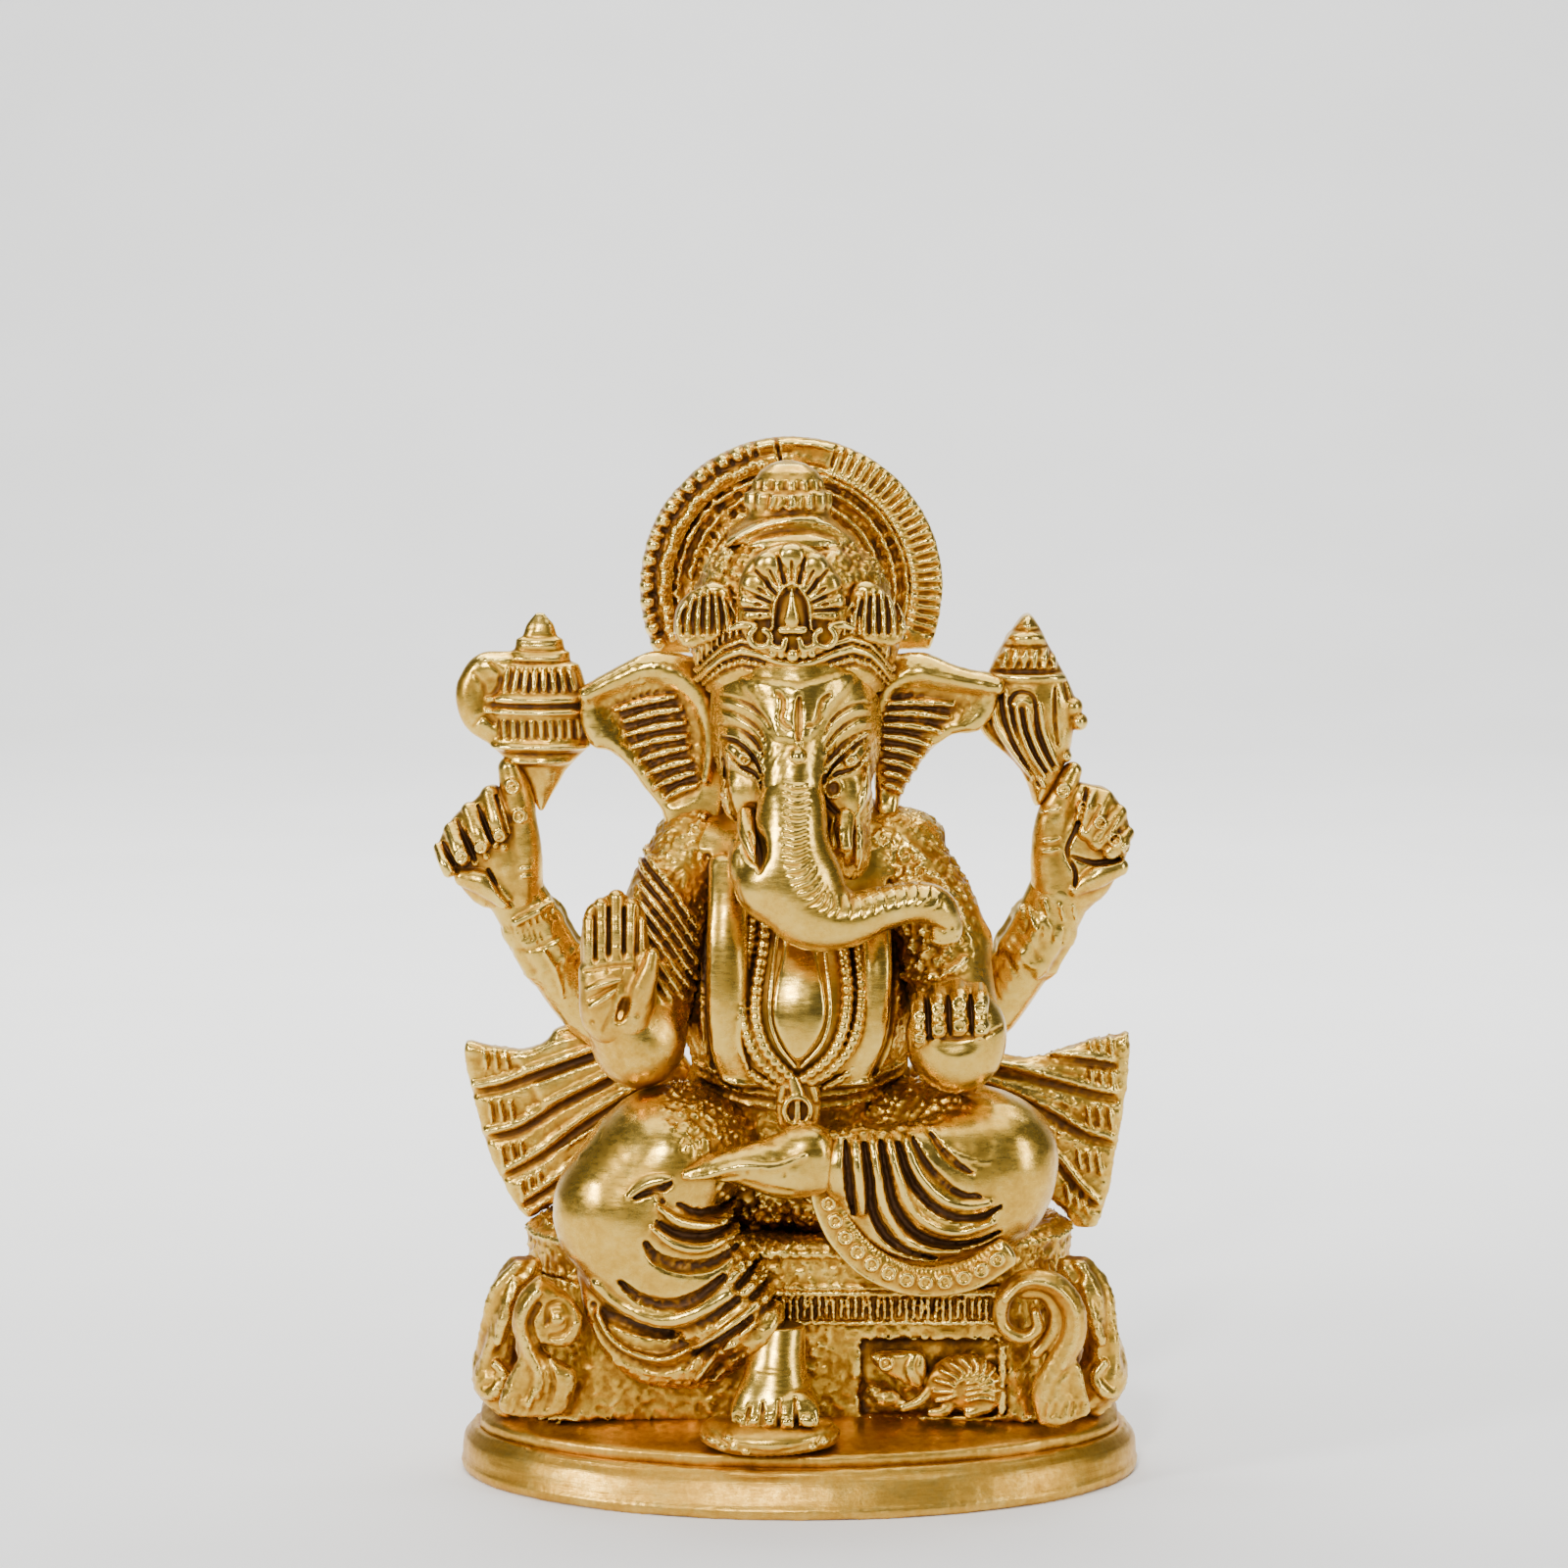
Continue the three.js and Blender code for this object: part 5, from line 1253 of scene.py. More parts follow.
@cast("ornament", "chased_brass", cell=0.22, filed=0.1)
def conch_shell(clay):
    """The conch, point up: stepped whorls, long flutes swept down to its spout, and knobs at its side."""
    clay.slab([(27.6, 105.7), (26.2, 104.4), (24.6, 101.8), (23.2, 98.9), (22, 96), (21.4, 93.6), (22.4, 91),
        (24.6, 89), (26.8, 86.8), (28, 84.4), (28.8, 82.2), (30.6, 83.4), (32, 86.6), (33.2, 90),
        (33.6, 94.6), (32.9, 97), (31.4, 100), (29.8, 102.8), (28.6, 105)], 2, 6.4, rounded=2.6, smooth=3)
    clay.ball((28, 1.6, 95), (4.8, 3.6, 5), blend=1)
    for x, z, r in ((33.2, 94.4, 1.3), (34, 92.6, 1.15), (32.4, 88.4, 0.8), (31.2, 87, 0.75)):
        clay.ball((x, 0.8, z), (r, 1.6, r), blend=0.2)
    marks = Relief(clay)
    for z, half in ((103.9, 0.35), (101.9, 0.35), (98.9, 0.4)):
        marks.line([(21, z - 0.1), (28, z), (35, z - 0.1)], half, -0.6)
    for z in (103, 100.6, 98.2):
        marks.line([(21, z), (35, z)], 0.6, 0.3)
    for n in range(6):
        x = 24.6 + n * 1.25
        marks.lines(
            ([(x, 99.4), (x + 0.35, 101.5)], 0.4, 0.4, 0.4),
            ([(x + 0.6, 99.4), (x + 0.9, 101.5)], 0.22, -0.45, 0.3))
    flutes = (
        [(21.8, 94.2), (23, 91.6), (24.8, 89.4)],
        [(22.6, 96.6), (23.2, 92.4), (25.2, 89), (28, 85.6)],
        [(24.2, 97), (24.9, 92.8), (26.6, 89), (29.2, 84.8)],
        [(25.5, 95), (26.1, 92), (27.4, 88.8), (29.2, 86)],
        [(26.9, 94.6), (27.4, 91.8), (28.6, 88.8), (30, 86.6)],
        [(28.5, 95), (28.9, 92), (29.8, 89.4), (30.8, 87.4)],
        [(31, 97), (31, 93), (31.4, 90)],
        [(32.2, 97.4), (32.6, 95.4)],
    )
    for path in flutes:
        marks.line(path, 0.34, -0.7, 0.4)
    for path in flutes[1:6]:
        marks.line([(x + 0.65, z) for x, z in path], 0.45, 0.4, 0.4)
    marks.lines(
        ([(25.3, 95.2), (26.1, 96.3), (27.2, 96.5), (28.2, 96.1), (28.6, 95)], 0.3, -0.7),
        ([(25.8, 95), (27, 95.5), (28.1, 95)], 0.35, 0.3))
    clay.press(marks, 1.4)
    clay.press_behind(marks, 2.6, 1.2, 0.7)


# The spread ends of the sash

def fan(clay, outline, panels, ribs, bars, y=6.4):
    """A pleated fan of cloth: a thin plate, creased between its panels, with short bars near its edge."""
    clay.slab(outline, y, 3.2, rounded=1, smooth=3)
    marks = Relief(clay)
    for path in panels:
        marks.lines(
            (path, 0.75, -1.0, 0.2),
            ([(x, z + 1.1) for x, z in path], 0.8, 0.5, 0.3))
    for path in ribs:
        marks.line(path, 0.34, 0.35, 0.3)
    for x, z, lean in bars:
        for n in range(3):
            marks.line([(x + 1.3 * n * lean[0], z + 1.3 * n * lean[1] + 1.2), (x + 1.3 * n * lean[0] + 0.35,
                z + 1.3 * n * lean[1] - 1.2)], 0.42, 0.5, 0.3)
    clay.press(marks, y)
    clay.press_behind(marks, y + 0.6, 0.8, 0.8)


@cast("figure_cloth", "chased_cloth", filed=0.1)
def right_sash_fan(clay):
    """The fan on the figure's right, with two smooth tongues of cloth between its creases."""
    outline = [(-41.3, 52), (-38.4, 51.4), (-34.6, 51), (-31.4, 52), (-29, 54), (-18, 54), (-12.6, 46),
        (-20, 38.4), (-31.4, 31), (-34.2, 30), (-36.6, 34), (-38.8, 38.6), (-40.2, 44), (-41.2, 48.6)]
    panels = ([(-40.4, 45.6), (-36.4, 46.4), (-30.6, 48.6), (-24, 51)], [(-38.8, 39.8), (-34.4, 41),
        (-28.6, 44.6), (-20, 49)], [(-36.6, 35), (-31.9, 37.6), (-26.6, 41.6), (-18, 47)],
        [(-33.8, 31.6), (-29.4, 34.6), (-24, 39), (-17, 44)])
    ribs = ([(-33.6, 43.6), (-29, 46), (-22, 49)], [(-33.4, 42.6), (-28, 45.4), (-21, 48.4)],
        [(-31, 40.2), (-26.6, 43), (-19, 47.4)], [(-30, 38.4), (-25, 41.6), (-18, 46)])
    bars = ((-39, 50, (1, 0)), (-38.4, 43.4, (1, 0)), (-37, 37.6, (0.95, 0.25)), (-34.6, 33.2, (0.85, 0.5)))
    fan(clay, outline, panels, ribs, bars)
    tongues = Relief(clay)
    tongues.field([(-35.2, 50.6), (-34.6, 49.2), (-32.6, 48.6), (-22, 52), (-22, 54), (-33.6, 51.6)],
        0.45, soft=0.7)
    tongues.field([(-32.6, 46.4), (-32, 44.8), (-30, 44.8), (-20, 49.6), (-21, 51), (-31.4, 47.6)],
        0.45, soft=0.7)
    clay.press(tongues, 6)
    grained(clay, 0.7, 0.14)


@cast("figure_cloth", "chased_cloth", filed=0.1)
def left_sash_fan(clay):
    """The fan on the figure's left, finely ribbed towards the waist."""
    outline = [(40.9, 52.8), (39.4, 52.8), (35.4, 52), (31, 50.4), (26, 50.2), (18, 52), (12.6, 46),
        (20, 37), (31, 32.4), (35.2, 27.6), (36.6, 28), (38.4, 32.8), (39.4, 38.8), (40.6, 45.6)]
    panels = ([(38.8, 49), (34.8, 49.6), (30, 49.9), (22, 50.6)], [(39.2, 44.9), (35.8, 45.6), (30, 47.2),
        (20, 49.6)], [(38.6, 39.2), (35, 40.4), (29, 44), (19, 48)], [(37.2, 31), (34.6, 33.4),
        (30.6, 38), (20, 45)])
    ribs = ([(34.6, 47.4), (30, 48.6), (22, 49.8)], [(34.4, 46.6), (28, 48), (20, 49.4)],
        [(34.4, 44), (29, 46), (20, 48.8)], [(33.8, 42.8), (28, 45.4), (20, 48.2)],
        [(32.6, 40.6), (27, 43.6), (19, 47)], [(31.4, 36), (28, 39), (20, 44)])
    bars = ((35.8, 51.4, (1, 0.1)), (36, 47.6, (1, 0)), (35.8, 42.6, (1, 0.05)), (34.6, 37.4, (0.95, -0.2)),
        (33.2, 33.2, (0.85, -0.4)))
    fan(clay, outline, panels, ribs, bars)
    grained(clay, 0.7, 0.3, worn=0.1)


# The head

@cast("figure_skin", "polished_brass", cell=0.24, room=4.5, filed=0.04)
def head(clay):
    """The elephant's head: a broad brow with arched wrinkles, lidded eyes, full cheeks, a forehead mark."""
    clay.ball((-0.4, -4.2, 92), (10.2, 9.6, 11.4))
    clay.slab([(-10.2, 98), (-10, 92.6), (-9.2, 88.6), (-8.6, 84.6), (-7.2, 80.6), (-3, 77), (3, 76),
        (6.4, 76.4), (6.8, 80), (7.2, 83.6), (8.2, 87), (8.8, 92), (8.6, 98), (5, 101), (-6, 101)], lambda x,
        z: -9.6 + 0.035 * x * x - 0.05 * (z - 92), 8.2, rounded=3.4, blend=2)
    clay.ball((-6.4, -10.4, 86), (3, 3.4, 4.4), turn=(0, 12, 0), blend=1.6)
    clay.ball((5.9, -10.4, 85), (2.8, 3.4, 4.6), turn=(0, -10, 0), blend=1.6)
    clay.ball((-6.4, -11.2, 90), (2.8, 2.4, 2), turn=(0, 22, 0), blend=1)
    clay.ball((5.7, -11.2, 89.6), (2.6, 2.4, 2), turn=(0, -24, 0), blend=1)
    clay.tube([(-0.4, -11, 100, 4.8, 3), (-0.6, -12.6, 96, 3.8, 2.8), (-0.8, -13.7, 92.6, 3.4, 2.8),
        (-0.9, -14.8, 88.6, 3.7, 3.1), (-1, -15.3, 85.6, 3.9, 3.3)], blend=3)
    clay.ball((6.2, -10.4, 79), (2.4, 3.4, 4.2), blend=1.4)
    clay.ball((-6.6, -12.4, 78.6), (2, 3, 2.8), turn=(0, 10, 0), blend=1)
    marks = Relief(clay)
    marks.field([(-7, 99.6), (-5.6, 97), (-3.6, 94), (-2.6, 92.6), (1.2, 92.6), (2.6, 95), (5.6, 98),
        (6.4, 100.4), (0, 98.8)], 0.35, soft=0.8, steps=2)
    brows = (
        [(-9.8, 96.9), (-8, 96.9), (-6.1, 96.3), (-4.5, 95.2), (-3.5, 94)],
        [(-9.7, 95.5), (-8.1, 95.3), (-6.3, 94.5), (-5, 93.5), (-4.2, 92.3)],
        [(-9.6, 93.4), (-7.9, 93.5), (-6.3, 92.8), (-5.1, 91.7), (-4.4, 90.5)],
        [(8.5, 96), (7, 96.3), (5.4, 95.8), (3.9, 94.7), (2.8, 92.8)],
        [(8.4, 94.5), (7, 94.6), (5.6, 94), (4.2, 92.9), (3, 91.2)],
        [(8.3, 93), (6.9, 92.6), (5.4, 91.8), (4, 90.5), (2.8, 89.2)],
    )
    for path in brows:
        marks.lines(
            (path, 0.26, -0.5, 0.55),
            ([(x, z - 0.7) for x, z in path], 0.4, 0.16, 0.5))
    for n in range(6):
        x, z = 3.4 + 0.8 * n, 90.4 + 0.42 * n - 0.03 * n * n
        marks.line([(x, z + 0.5), (x + 0.2, z - 0.3)], 0.2, -0.3)
    lids = (
        ([(-9.4, 91.9), (-7.7, 91.8), (-6.3, 90.9), (-5.2, 89.7), (-4.5, 88.1)],
         [(-8.8, 90.8), (-7.6, 89.4), (-6.5, 88.7), (-5.5, 88.3), (-4.7, 87.4)], (-6.7, 90)),
        ([(8, 92.1), (6.7, 91.4), (5.2, 90.2), (3.9, 89), (3.1, 87.8)],
         [(8.2, 90.8), (7, 89.2), (5.8, 88.5), (4.6, 88.2), (3.4, 87.5)], (6.1, 89.8)),
    )
    for upper, lower, eye in lids:
        marks.lines(
            (upper, 0.34, -0.75, 0.4),
            ([(x + 0.1, z + 0.62) for x, z in upper], 0.36, 0.35, 0.4),
            (lower, 0.3, -0.6, 0.5),
            ([(x, z - 0.5) for x, z in lower], 0.3, 0.22, 0.5))
        marks.dot(eye[0], eye[1], 1.05, 0.6)
        marks.dot(eye[0], eye[1] - 0.1, 0.42, -0.9)
    # Tear-shaped cheeks, each inside its groove
    marks.lines(
        ([(-9.2, 89.4), (-8.6, 86), (-7.8, 83), (-6.8, 81.4), (-5.6, 82.6), (-4.6, 84.2), (-4.3, 86),
            (-4.7, 87.2)], 0.45, -0.8, 0.4),
        ([(2.9, 88), (2.7, 86.4), (3.2, 84.6), (4.6, 83.2), (6.2, 82.4)], 0.45, -0.7, 0.4),
        ([(8.3, 89), (7.9, 86), (7.1, 83.4)], 0.6, 0.5, 0.5))
    marks.dot(3.9, 86.4, 0.75, -0.35)
    marks.ring(3.9, 86.4, 1.1, 0.35, 0.2)
    # The stub and the notch of the tusks
    marks.lines(
        ([(2.8, 84.2), (2.5, 83), (2.9, 81.4)], 0.5, 0.45, 0.5),
        ([(4, 82.4), (3.7, 81), (4, 79.2)], 0.55, 0.45, 0.5),
        ([(6.8, 83), (7.2, 80), (6.9, 76.6)], 0.7, 0.4, 0.3),
        ([(5.6, 83), (6, 79.6), (5.8, 76)], 0.5, -0.35, 0.3))
    # The forehead mark: a barred slot between two curls, and a bead below
    marks.lines(
        ([(-0.1, 97.4), (-0.15, 95.6), (-0.15, 94.2), (-0.15, 92.6)], 0.62, -0.9, 0.5),
        ([(-0.95, 97.2), (-1, 95.4), (-0.8, 93.6), (-0.15, 91.9), (0.5, 93.6), (0.7, 95.4),
            (0.65, 97.2)], 0.26, 0.3))
    marks.ring(-0.15, 97.8, 0.65, 0.34, 0.45)
    marks.dot(-0.15, 95.4, 0.4, 0.4)
    marks.dot(-0.2, 90.8, 0.85, 0.6)
    marks.lines(
        ([(-2.7, 98), (-2.1, 97.3), (-2.1, 96.2), (-2.3, 95.1), (-1.8, 94.3), (-1.2, 94)], 0.42, -0.7, 0.3),
        ([(3.5, 97.7), (2.7, 97.1), (2.4, 96), (2.3, 95), (1.7, 94.3), (0.9, 94.2)], 0.42, -0.7, 0.3))
    clay.press(marks, -6)
    rough = Relief(clay)
    rough.lines(
        ([(-10.4, 98), (-10.4, 92), (-9.6, 86), (-8, 80)], 0.7, 0.8),
        ([(9.4, 98), (9.4, 90), (8, 82), (7.8, 76)], 0.9, 0.8))
    grained(clay, 0.7, 0.3, rough)
    grained(clay, 0.8, 0.2, worn=0.75)


@cast("figure_skin", "polished_brass", cell=0.26, filed=0.05)
def trunk(clay):
    """The trunk: straight down the face, then swung to the figure's left, nicked across along its back."""
    clay.tube([(-0.6, -10.6, 95.4, 1.8, 1.8), (-0.8, -12.5, 91.8, 2.5, 2.3), (-0.9, -14.2, 88, 3.2, 3),
        (-1, -15.7, 84.4, 4.1, 3.9), (-1, -16.8, 80, 4.6, 4.4), (-0.4, -17.8, 76, 5.4, 4.4),
        (1.4, -18.4, 72.6, 5, 4.2), (5.4, -18.8, 71.4, 3.4, 3.8), (9.4, -18.8, 72.6, 2.7, 3.4),
        (13, -18.6, 73.4, 2.5, 3.1), (16, -18, 72.8, 2.4, 2.8), (17.6, -17.4, 70.4, 1.8, 2.3)], steps=6)
    clay.ball((-4.4, -17, 75), (3.4, 3.6, 3.8), turn=(0, -20, 0), blend=2)
    clay.ball((-7, -15.6, 78), (1.7, 2.6, 2.5), turn=(0, 15, 0), blend=1.4)
    clay.ball((17.2, -17.6, 69.2), (1.9, 2, 1.3), turn=(0, -10, 0), blend=0.6)
    clay.ball((-5.6, -20, 80.6), (1.5, 3, 2.6), turn=(0, -14, 0), blend=0.8, cut=True)
    nicks = Relief(clay)
    spine = smooth_path([(-0.3, 87.4), (-0.4, 85), (-0.6, 82.4), (-0.5, 80), (-0.1, 78), (0.8, 76.4),
        (2, 74.6), (3.8, 73.6), (6, 73.3), (8.4, 73.7), (10.6, 74.4), (12.8, 74.8), (14.8, 74.6),
        (16.2, 73.6)], 16)
    length, place = walk(spine)
    s = 0.2
    while s < length:
        x, z = place(s)
        (x0, z0), (x1, z1) = place(s - 0.3), place(s + 0.3)
        run = math.hypot(x1 - x0, z1 - z0) or 1
        ux, uz = (x1 - x0) / run, (z1 - z0) / run
        half = 1.5 if s < 14 else 1.1
        for slip, wide, height in ((0, 0.22, -0.32), (-0.4, 0.26, 0.14)):
            cx, cz = x + slip * ux, z + slip * uz
            nicks.line([(cx - uz * half, cz + ux * half), (cx + 0.35 * ux, cz + 0.35 * uz),
                (cx + uz * half, cz - ux * half)], wide, height, 0.4)
        s += 0.85 if s < 8 else 0.95 if s < 16 else 1.35
    # Corner of the mouth, and the tip's two lips
    nicks.lines(
        ([(-5.4, 82.6), (-5, 80.6), (-4.6, 78.6), (-4.8, 77.4)], 0.4, -0.6, 0.3),
        ([(14.4, 70.3), (16, 70.6), (17.2, 70.2)], 0.34, -0.6, 0.3))
    nicks.dot(17.9, 70.6, 0.3, -0.4)
    nicks.line([(15.4, 69.4), (17, 69), (18.8, 69.6)], 0.26, -0.3, 0.3)
    clay.press(nicks, -14)


@cast("figure_skin", "polished_brass", cell=0.18, room=1.4, filed=0.05)
def right_tusk(clay):
    """The whole tusk, short and slit along its length, standing in the corner of the mouth."""
    clay.tube([(-6.4, -14, 83, 1.1, 1.2), (-6.2, -16.2, 81.4, 1.15, 1.1), (-5.5, -17.8, 79.6, 0.95, 0.9),
        (-4.8, -18.8, 77.8, 0.5, 0.5)], steps=6)
    slit = Relief(clay)
    slit.line([(-6, 81.6), (-5.5, 80), (-5, 78.6)], 0.24, -0.5, 0.4)
    clay.press(slit, -13)


@cast("figure_skin", "polished_brass", cell=0.18, room=1.4, filed=0.05)
def left_tusk(clay):
    """The stump of the broken tusk, close against the cheek."""
    clay.tube([(5.4, -13.4, 82.8, 1.2, 1.2), (5.2, -14.8, 81, 1.1, 1),
        (5.4, -15.2, 79.6, 0.9, 0.8)], steps=6)
    facet = Relief(clay)
    facet.line([(4.8, 82), (4.9, 80.2)], 0.4, 0.25, 0.4)
    clay.press(facet, -12)


def ear(clay, outline, rim, bowl, ribs):
    """A spread ear: a thick rolled rim, a sunk bowl behind it, and ribs like a leaf's veins."""
    clay.slab(outline, -0.6, 3.6, rounded=1.4)
    clay.tube([(x, -1.6, z, r, 1.6) for x, z, r in rim], blend=0.8, steps=6)
    marks = Relief(clay)
    marks.field(bowl, -1.3, soft=1.8)
    clay.press(marks, 0.4)
    marks = Relief(clay)
    for (x0, z0), (x1, z1) in ribs:
        marks.line([(x0, z0), ((x0 + x1) / 2, (z0 + z1) / 2 + 0.2), (x1, z1)], 0.64, 0.85, 0.3)
    clay.press(marks, 0.4)
    rough = Relief(clay)
    rough.field(bowl, 1, soft=1)
    grained(clay, 0.6, 0.24, rough)
    grained(clay, 0.8, 0.14, worn=0.5)
    hand_worked(clay, 0.08)


@cast("figure_skin", "polished_brass", cell=0.24)
def right_ear(clay):
    """The ear on the figure's right, its rim rolled widest near the top."""
    outline = [(-9.4, 99.6), (-12.8, 100.6), (-15.4, 101.2), (-18.4, 101.2), (-21, 99.8), (-23.8, 98.1),
        (-26.2, 96.4), (-26.6, 93), (-25.2, 89.8), (-23, 89.2), (-20.7, 87.3), (-18.8, 84.6), (-16.8, 81.9),
        (-16, 78.4), (-14, 77.4), (-9, 79)]
    rim = [(-25.8, 96.2, 1.1), (-22.4, 98, 1.3), (-18.4, 99.4, 1.5), (-15, 98.8, 1.6), (-12.4, 96.6, 1.6),
        (-11.1, 93.4, 1.4), (-10.9, 90, 1.1), (-11.6, 86, 0.9)]
    bowl = [(-24.2, 94.9), (-21.6, 96), (-18.6, 96.9), (-15.6, 96.7), (-13.6, 95), (-12.4, 92.6),
        (-12, 89.4), (-12.4, 85.4), (-14, 83.6), (-16.4, 83.4), (-18.4, 86.4), (-20.4, 89), (-23, 92.4)]
    ribs = [((-22.3, 94.4), (-15.2, 96)), ((-21.3, 93), (-14.4, 94.5)), ((-20.9, 91.4), (-14, 92.8)),
        ((-20.2, 89.9), (-13.8, 91.2)), ((-19.4, 88.2), (-13.6, 89.8)), ((-18.4, 86.6), (-13.2, 88.2)),
        ((-17.4, 85), (-12.8, 86.7)), ((-16.2, 83.6), (-12.6, 85.2))]
    ear(clay, outline, rim, bowl, ribs)


@cast("figure_skin", "polished_brass", cell=0.24)
def left_ear(clay):
    """The ear on the figure's left, held more level, with shorter ribs."""
    outline = [(9, 100), (12, 101), (15.2, 101.1), (18.2, 99.9), (21, 99.1), (23.6, 98.4), (24, 95),
        (22, 91.8), (18.5, 91.2), (16.2, 89.4), (14, 86.4), (12.5, 83.4), (11.6, 80.6), (9.4, 79.6)]
    rim = [(23.8, 97.2, 1.2), (20.6, 97.7, 1.3), (17.4, 98.4, 1.4), (14.4, 98.9, 1.5), (12, 98.2, 1.5),
        (10.2, 96, 1.3), (9.4, 93, 1)]
    bowl = [(10.8, 95.8), (12.4, 96.9), (15, 96.6), (18, 96), (21.4, 95.6), (19.6, 93), (17, 91.4),
        (15.4, 88.9), (13.4, 86), (11.8, 83.2), (10, 83), (9.6, 90)]
    ribs = [((10.8, 95.2), (18.6, 95)), ((10.4, 94), (18, 93.4)), ((10.3, 92.6), (17, 91.8)),
        ((10.2, 91.2), (15.8, 90)), ((10.2, 89.7), (14.9, 88.6)), ((10.2, 88.2), (14, 87.1)),
        ((10.3, 86.7), (13.2, 85.7)), ((10.4, 85.2), (12.4, 84.3))]
    ear(clay, outline, rim, bowl, ribs)


# Tiara and crown

TIARA = (-0.6, -4)


@cast("ornament", "chased_brass", cell=0.24, filed=0.08)
def tiara_band(clay):
    """The tiara: a beaded cord, a smooth band and a band of upright ridges, all bowed over each brow."""
    clay.turned([(10.6, 97), (11.6, 98.6), (12.2, 100.4), (12.6, 102.6), (12.7, 104.6), (12, 106.4),
        (11.4, 108)], centre=TIARA, squash=0.78)
    clay.ball((0, -14, 92), (9.6, 6, 7.4), blend=0.6, cut=True)
    wave = [(-12.4, 96.8), (-11, 98.6), (-9.2, 100.3), (-7, 101.2), (-5, 100.9), (-2.8, 100), (-0.6, 99.6),
        (1.6, 99.9), (3.8, 100.8), (6.2, 101.4), (8.4, 100.6), (9.8, 99), (11, 97)]
    marks = Relief(clay)
    low = np.interp(marks.x[:, 0], [p[0] for p in wave], [p[1] for p in wave])
    height_over = marks.z - low[:, None]
    for up, half, height in ((0.25, 0.5, 0.45), (1.55, 0.75, 0.6), (2.7, 0.5, 0.35), (-0.35, 0.3, -0.5),
            (0.85, 0.22, -0.4), (2.25, 0.22, -0.5), (3.2, 0.25, -0.4)):
        marks.lay(slice(None), height * np.clip(1 - ((height_over - up) / half) ** 2, 0, 1))
    length, place = walk(smooth_path(wave, 16))
    for n in range(int(length / 0.85)):
        x, z = place(0.85 * n)
        marks.line([(x, z - 0.2), (x, z + 0.75)], 0.25, -0.6)
    for n in range(int(length / 0.95)):
        x, z = place(0.95 * n)
        if abs(x + 1) > 4.6:
            marks.lines(
                ([(x, z + 3.5), (x, z + 5.4)], 0.4, 0.4, 0.3),
                ([(x + 0.47, z + 3.5), (x + 0.47, z + 5.4)], 0.22, -0.45, 0.3))
    clay.press(marks, -2)
    rough = Relief(clay)
    rough.field([(-14.5, 108), (-14.5, 101), (-12.6, 101), (-12.2, 108)], 1, soft=0.8)
    rough.field([(13, 108), (13, 101), (11.2, 101), (10.8, 108)], 1, soft=0.8)
    grained(clay, 0.7, 0.35, rough)
    round_it = lambda x, y: np.arctan2(x - TIARA[0], y - TIARA[1])
    clay.emboss(lambda x, y, z: 0.22 * np.sin(24 * round_it(x, y)) * (y > 0) * (np.abs(z - 103) < 2.6))
    grained(clay, 0.7, 0.08)


@cast("ornament", "matted_brass", cell=0.26)
def crown_dome(clay):
    """The crown's round body behind the plaque, left rough, under a plain flared eave."""
    clay.turned([(11.8, 106.6), (11.8, 109), (10.8, 111.6), (9.2, 113.6), (7.6, 114.6), (7.4, 115.2)],
        centre=(-0.9, -3.4), squash=0.78)
    lumps = Relief(clay)
    for n in range(26):
        x, z = -11.4 + (n * 7.3) % 21.6, 109 + (n * 2.9) % 5.4
        lumps.dot(x, z, 1.1, 0.5)
    clay.press(lumps, -4)
    clay.emboss(lambda x, y, z: 0.25 * np.sin(1.9 * z + 0.6) * (y > -3))
    grained(clay, 0.85, 0.5)


@cast("ornament", "chased_brass", cell=0.22, filed=0.08)
def crown_finial(clay):
    """The crown's knob: a flared eave, two rings of upright nicks and a low smooth dome."""
    ridges = lambda a, z: 0.2 * np.sin(a * 15) * ((np.abs(z - 119.8) < 1) | (np.abs(z - 121.8) < 0.6))
    clay.turned([(8.4, 114.6), (8, 115.6), (6.4, 116.8), (5.4, 117.6), (5, 118.3), (5, 119), (5.2, 119.5),
        (5.1, 120.7), (4.5, 121.1), (4.2, 121.5), (4.1, 122.4), (3.4, 123.4), (2, 124.3), (0.6, 124.7)],
        centre=(-1.4, -2.6), squash=0.84, pattern=ridges)
    eave = Relief(clay)
    eave.lines(
        ([(-9, 114.9), (-6.8, 116.3), (-4.2, 117.4), (-1.4, 117.9), (1.6, 117.9), (4.4, 117),
            (7, 115.4)], 0.6, 0.6),
        ([(-8, 114.2), (-5, 115.8), (-1.4, 116.6), (2, 116.4), (6, 114.8)], 0.5, -0.6, 0.3))
    for n in range(5):
        eave.line([(-3.6 + 1.2 * n, 119.2), (-3.2 + 1.1 * n, 120.6)], 0.4, 0.35)
    eave.ring(-1.3, 119.9, 0.7, 0.3, 0.35)
    eave.line([(-4.6, 122.6), (-2.8, 123.6), (0, 123.6), (1.2, 122.9)], 0.5, 0.25)
    clay.press(eave, -5)


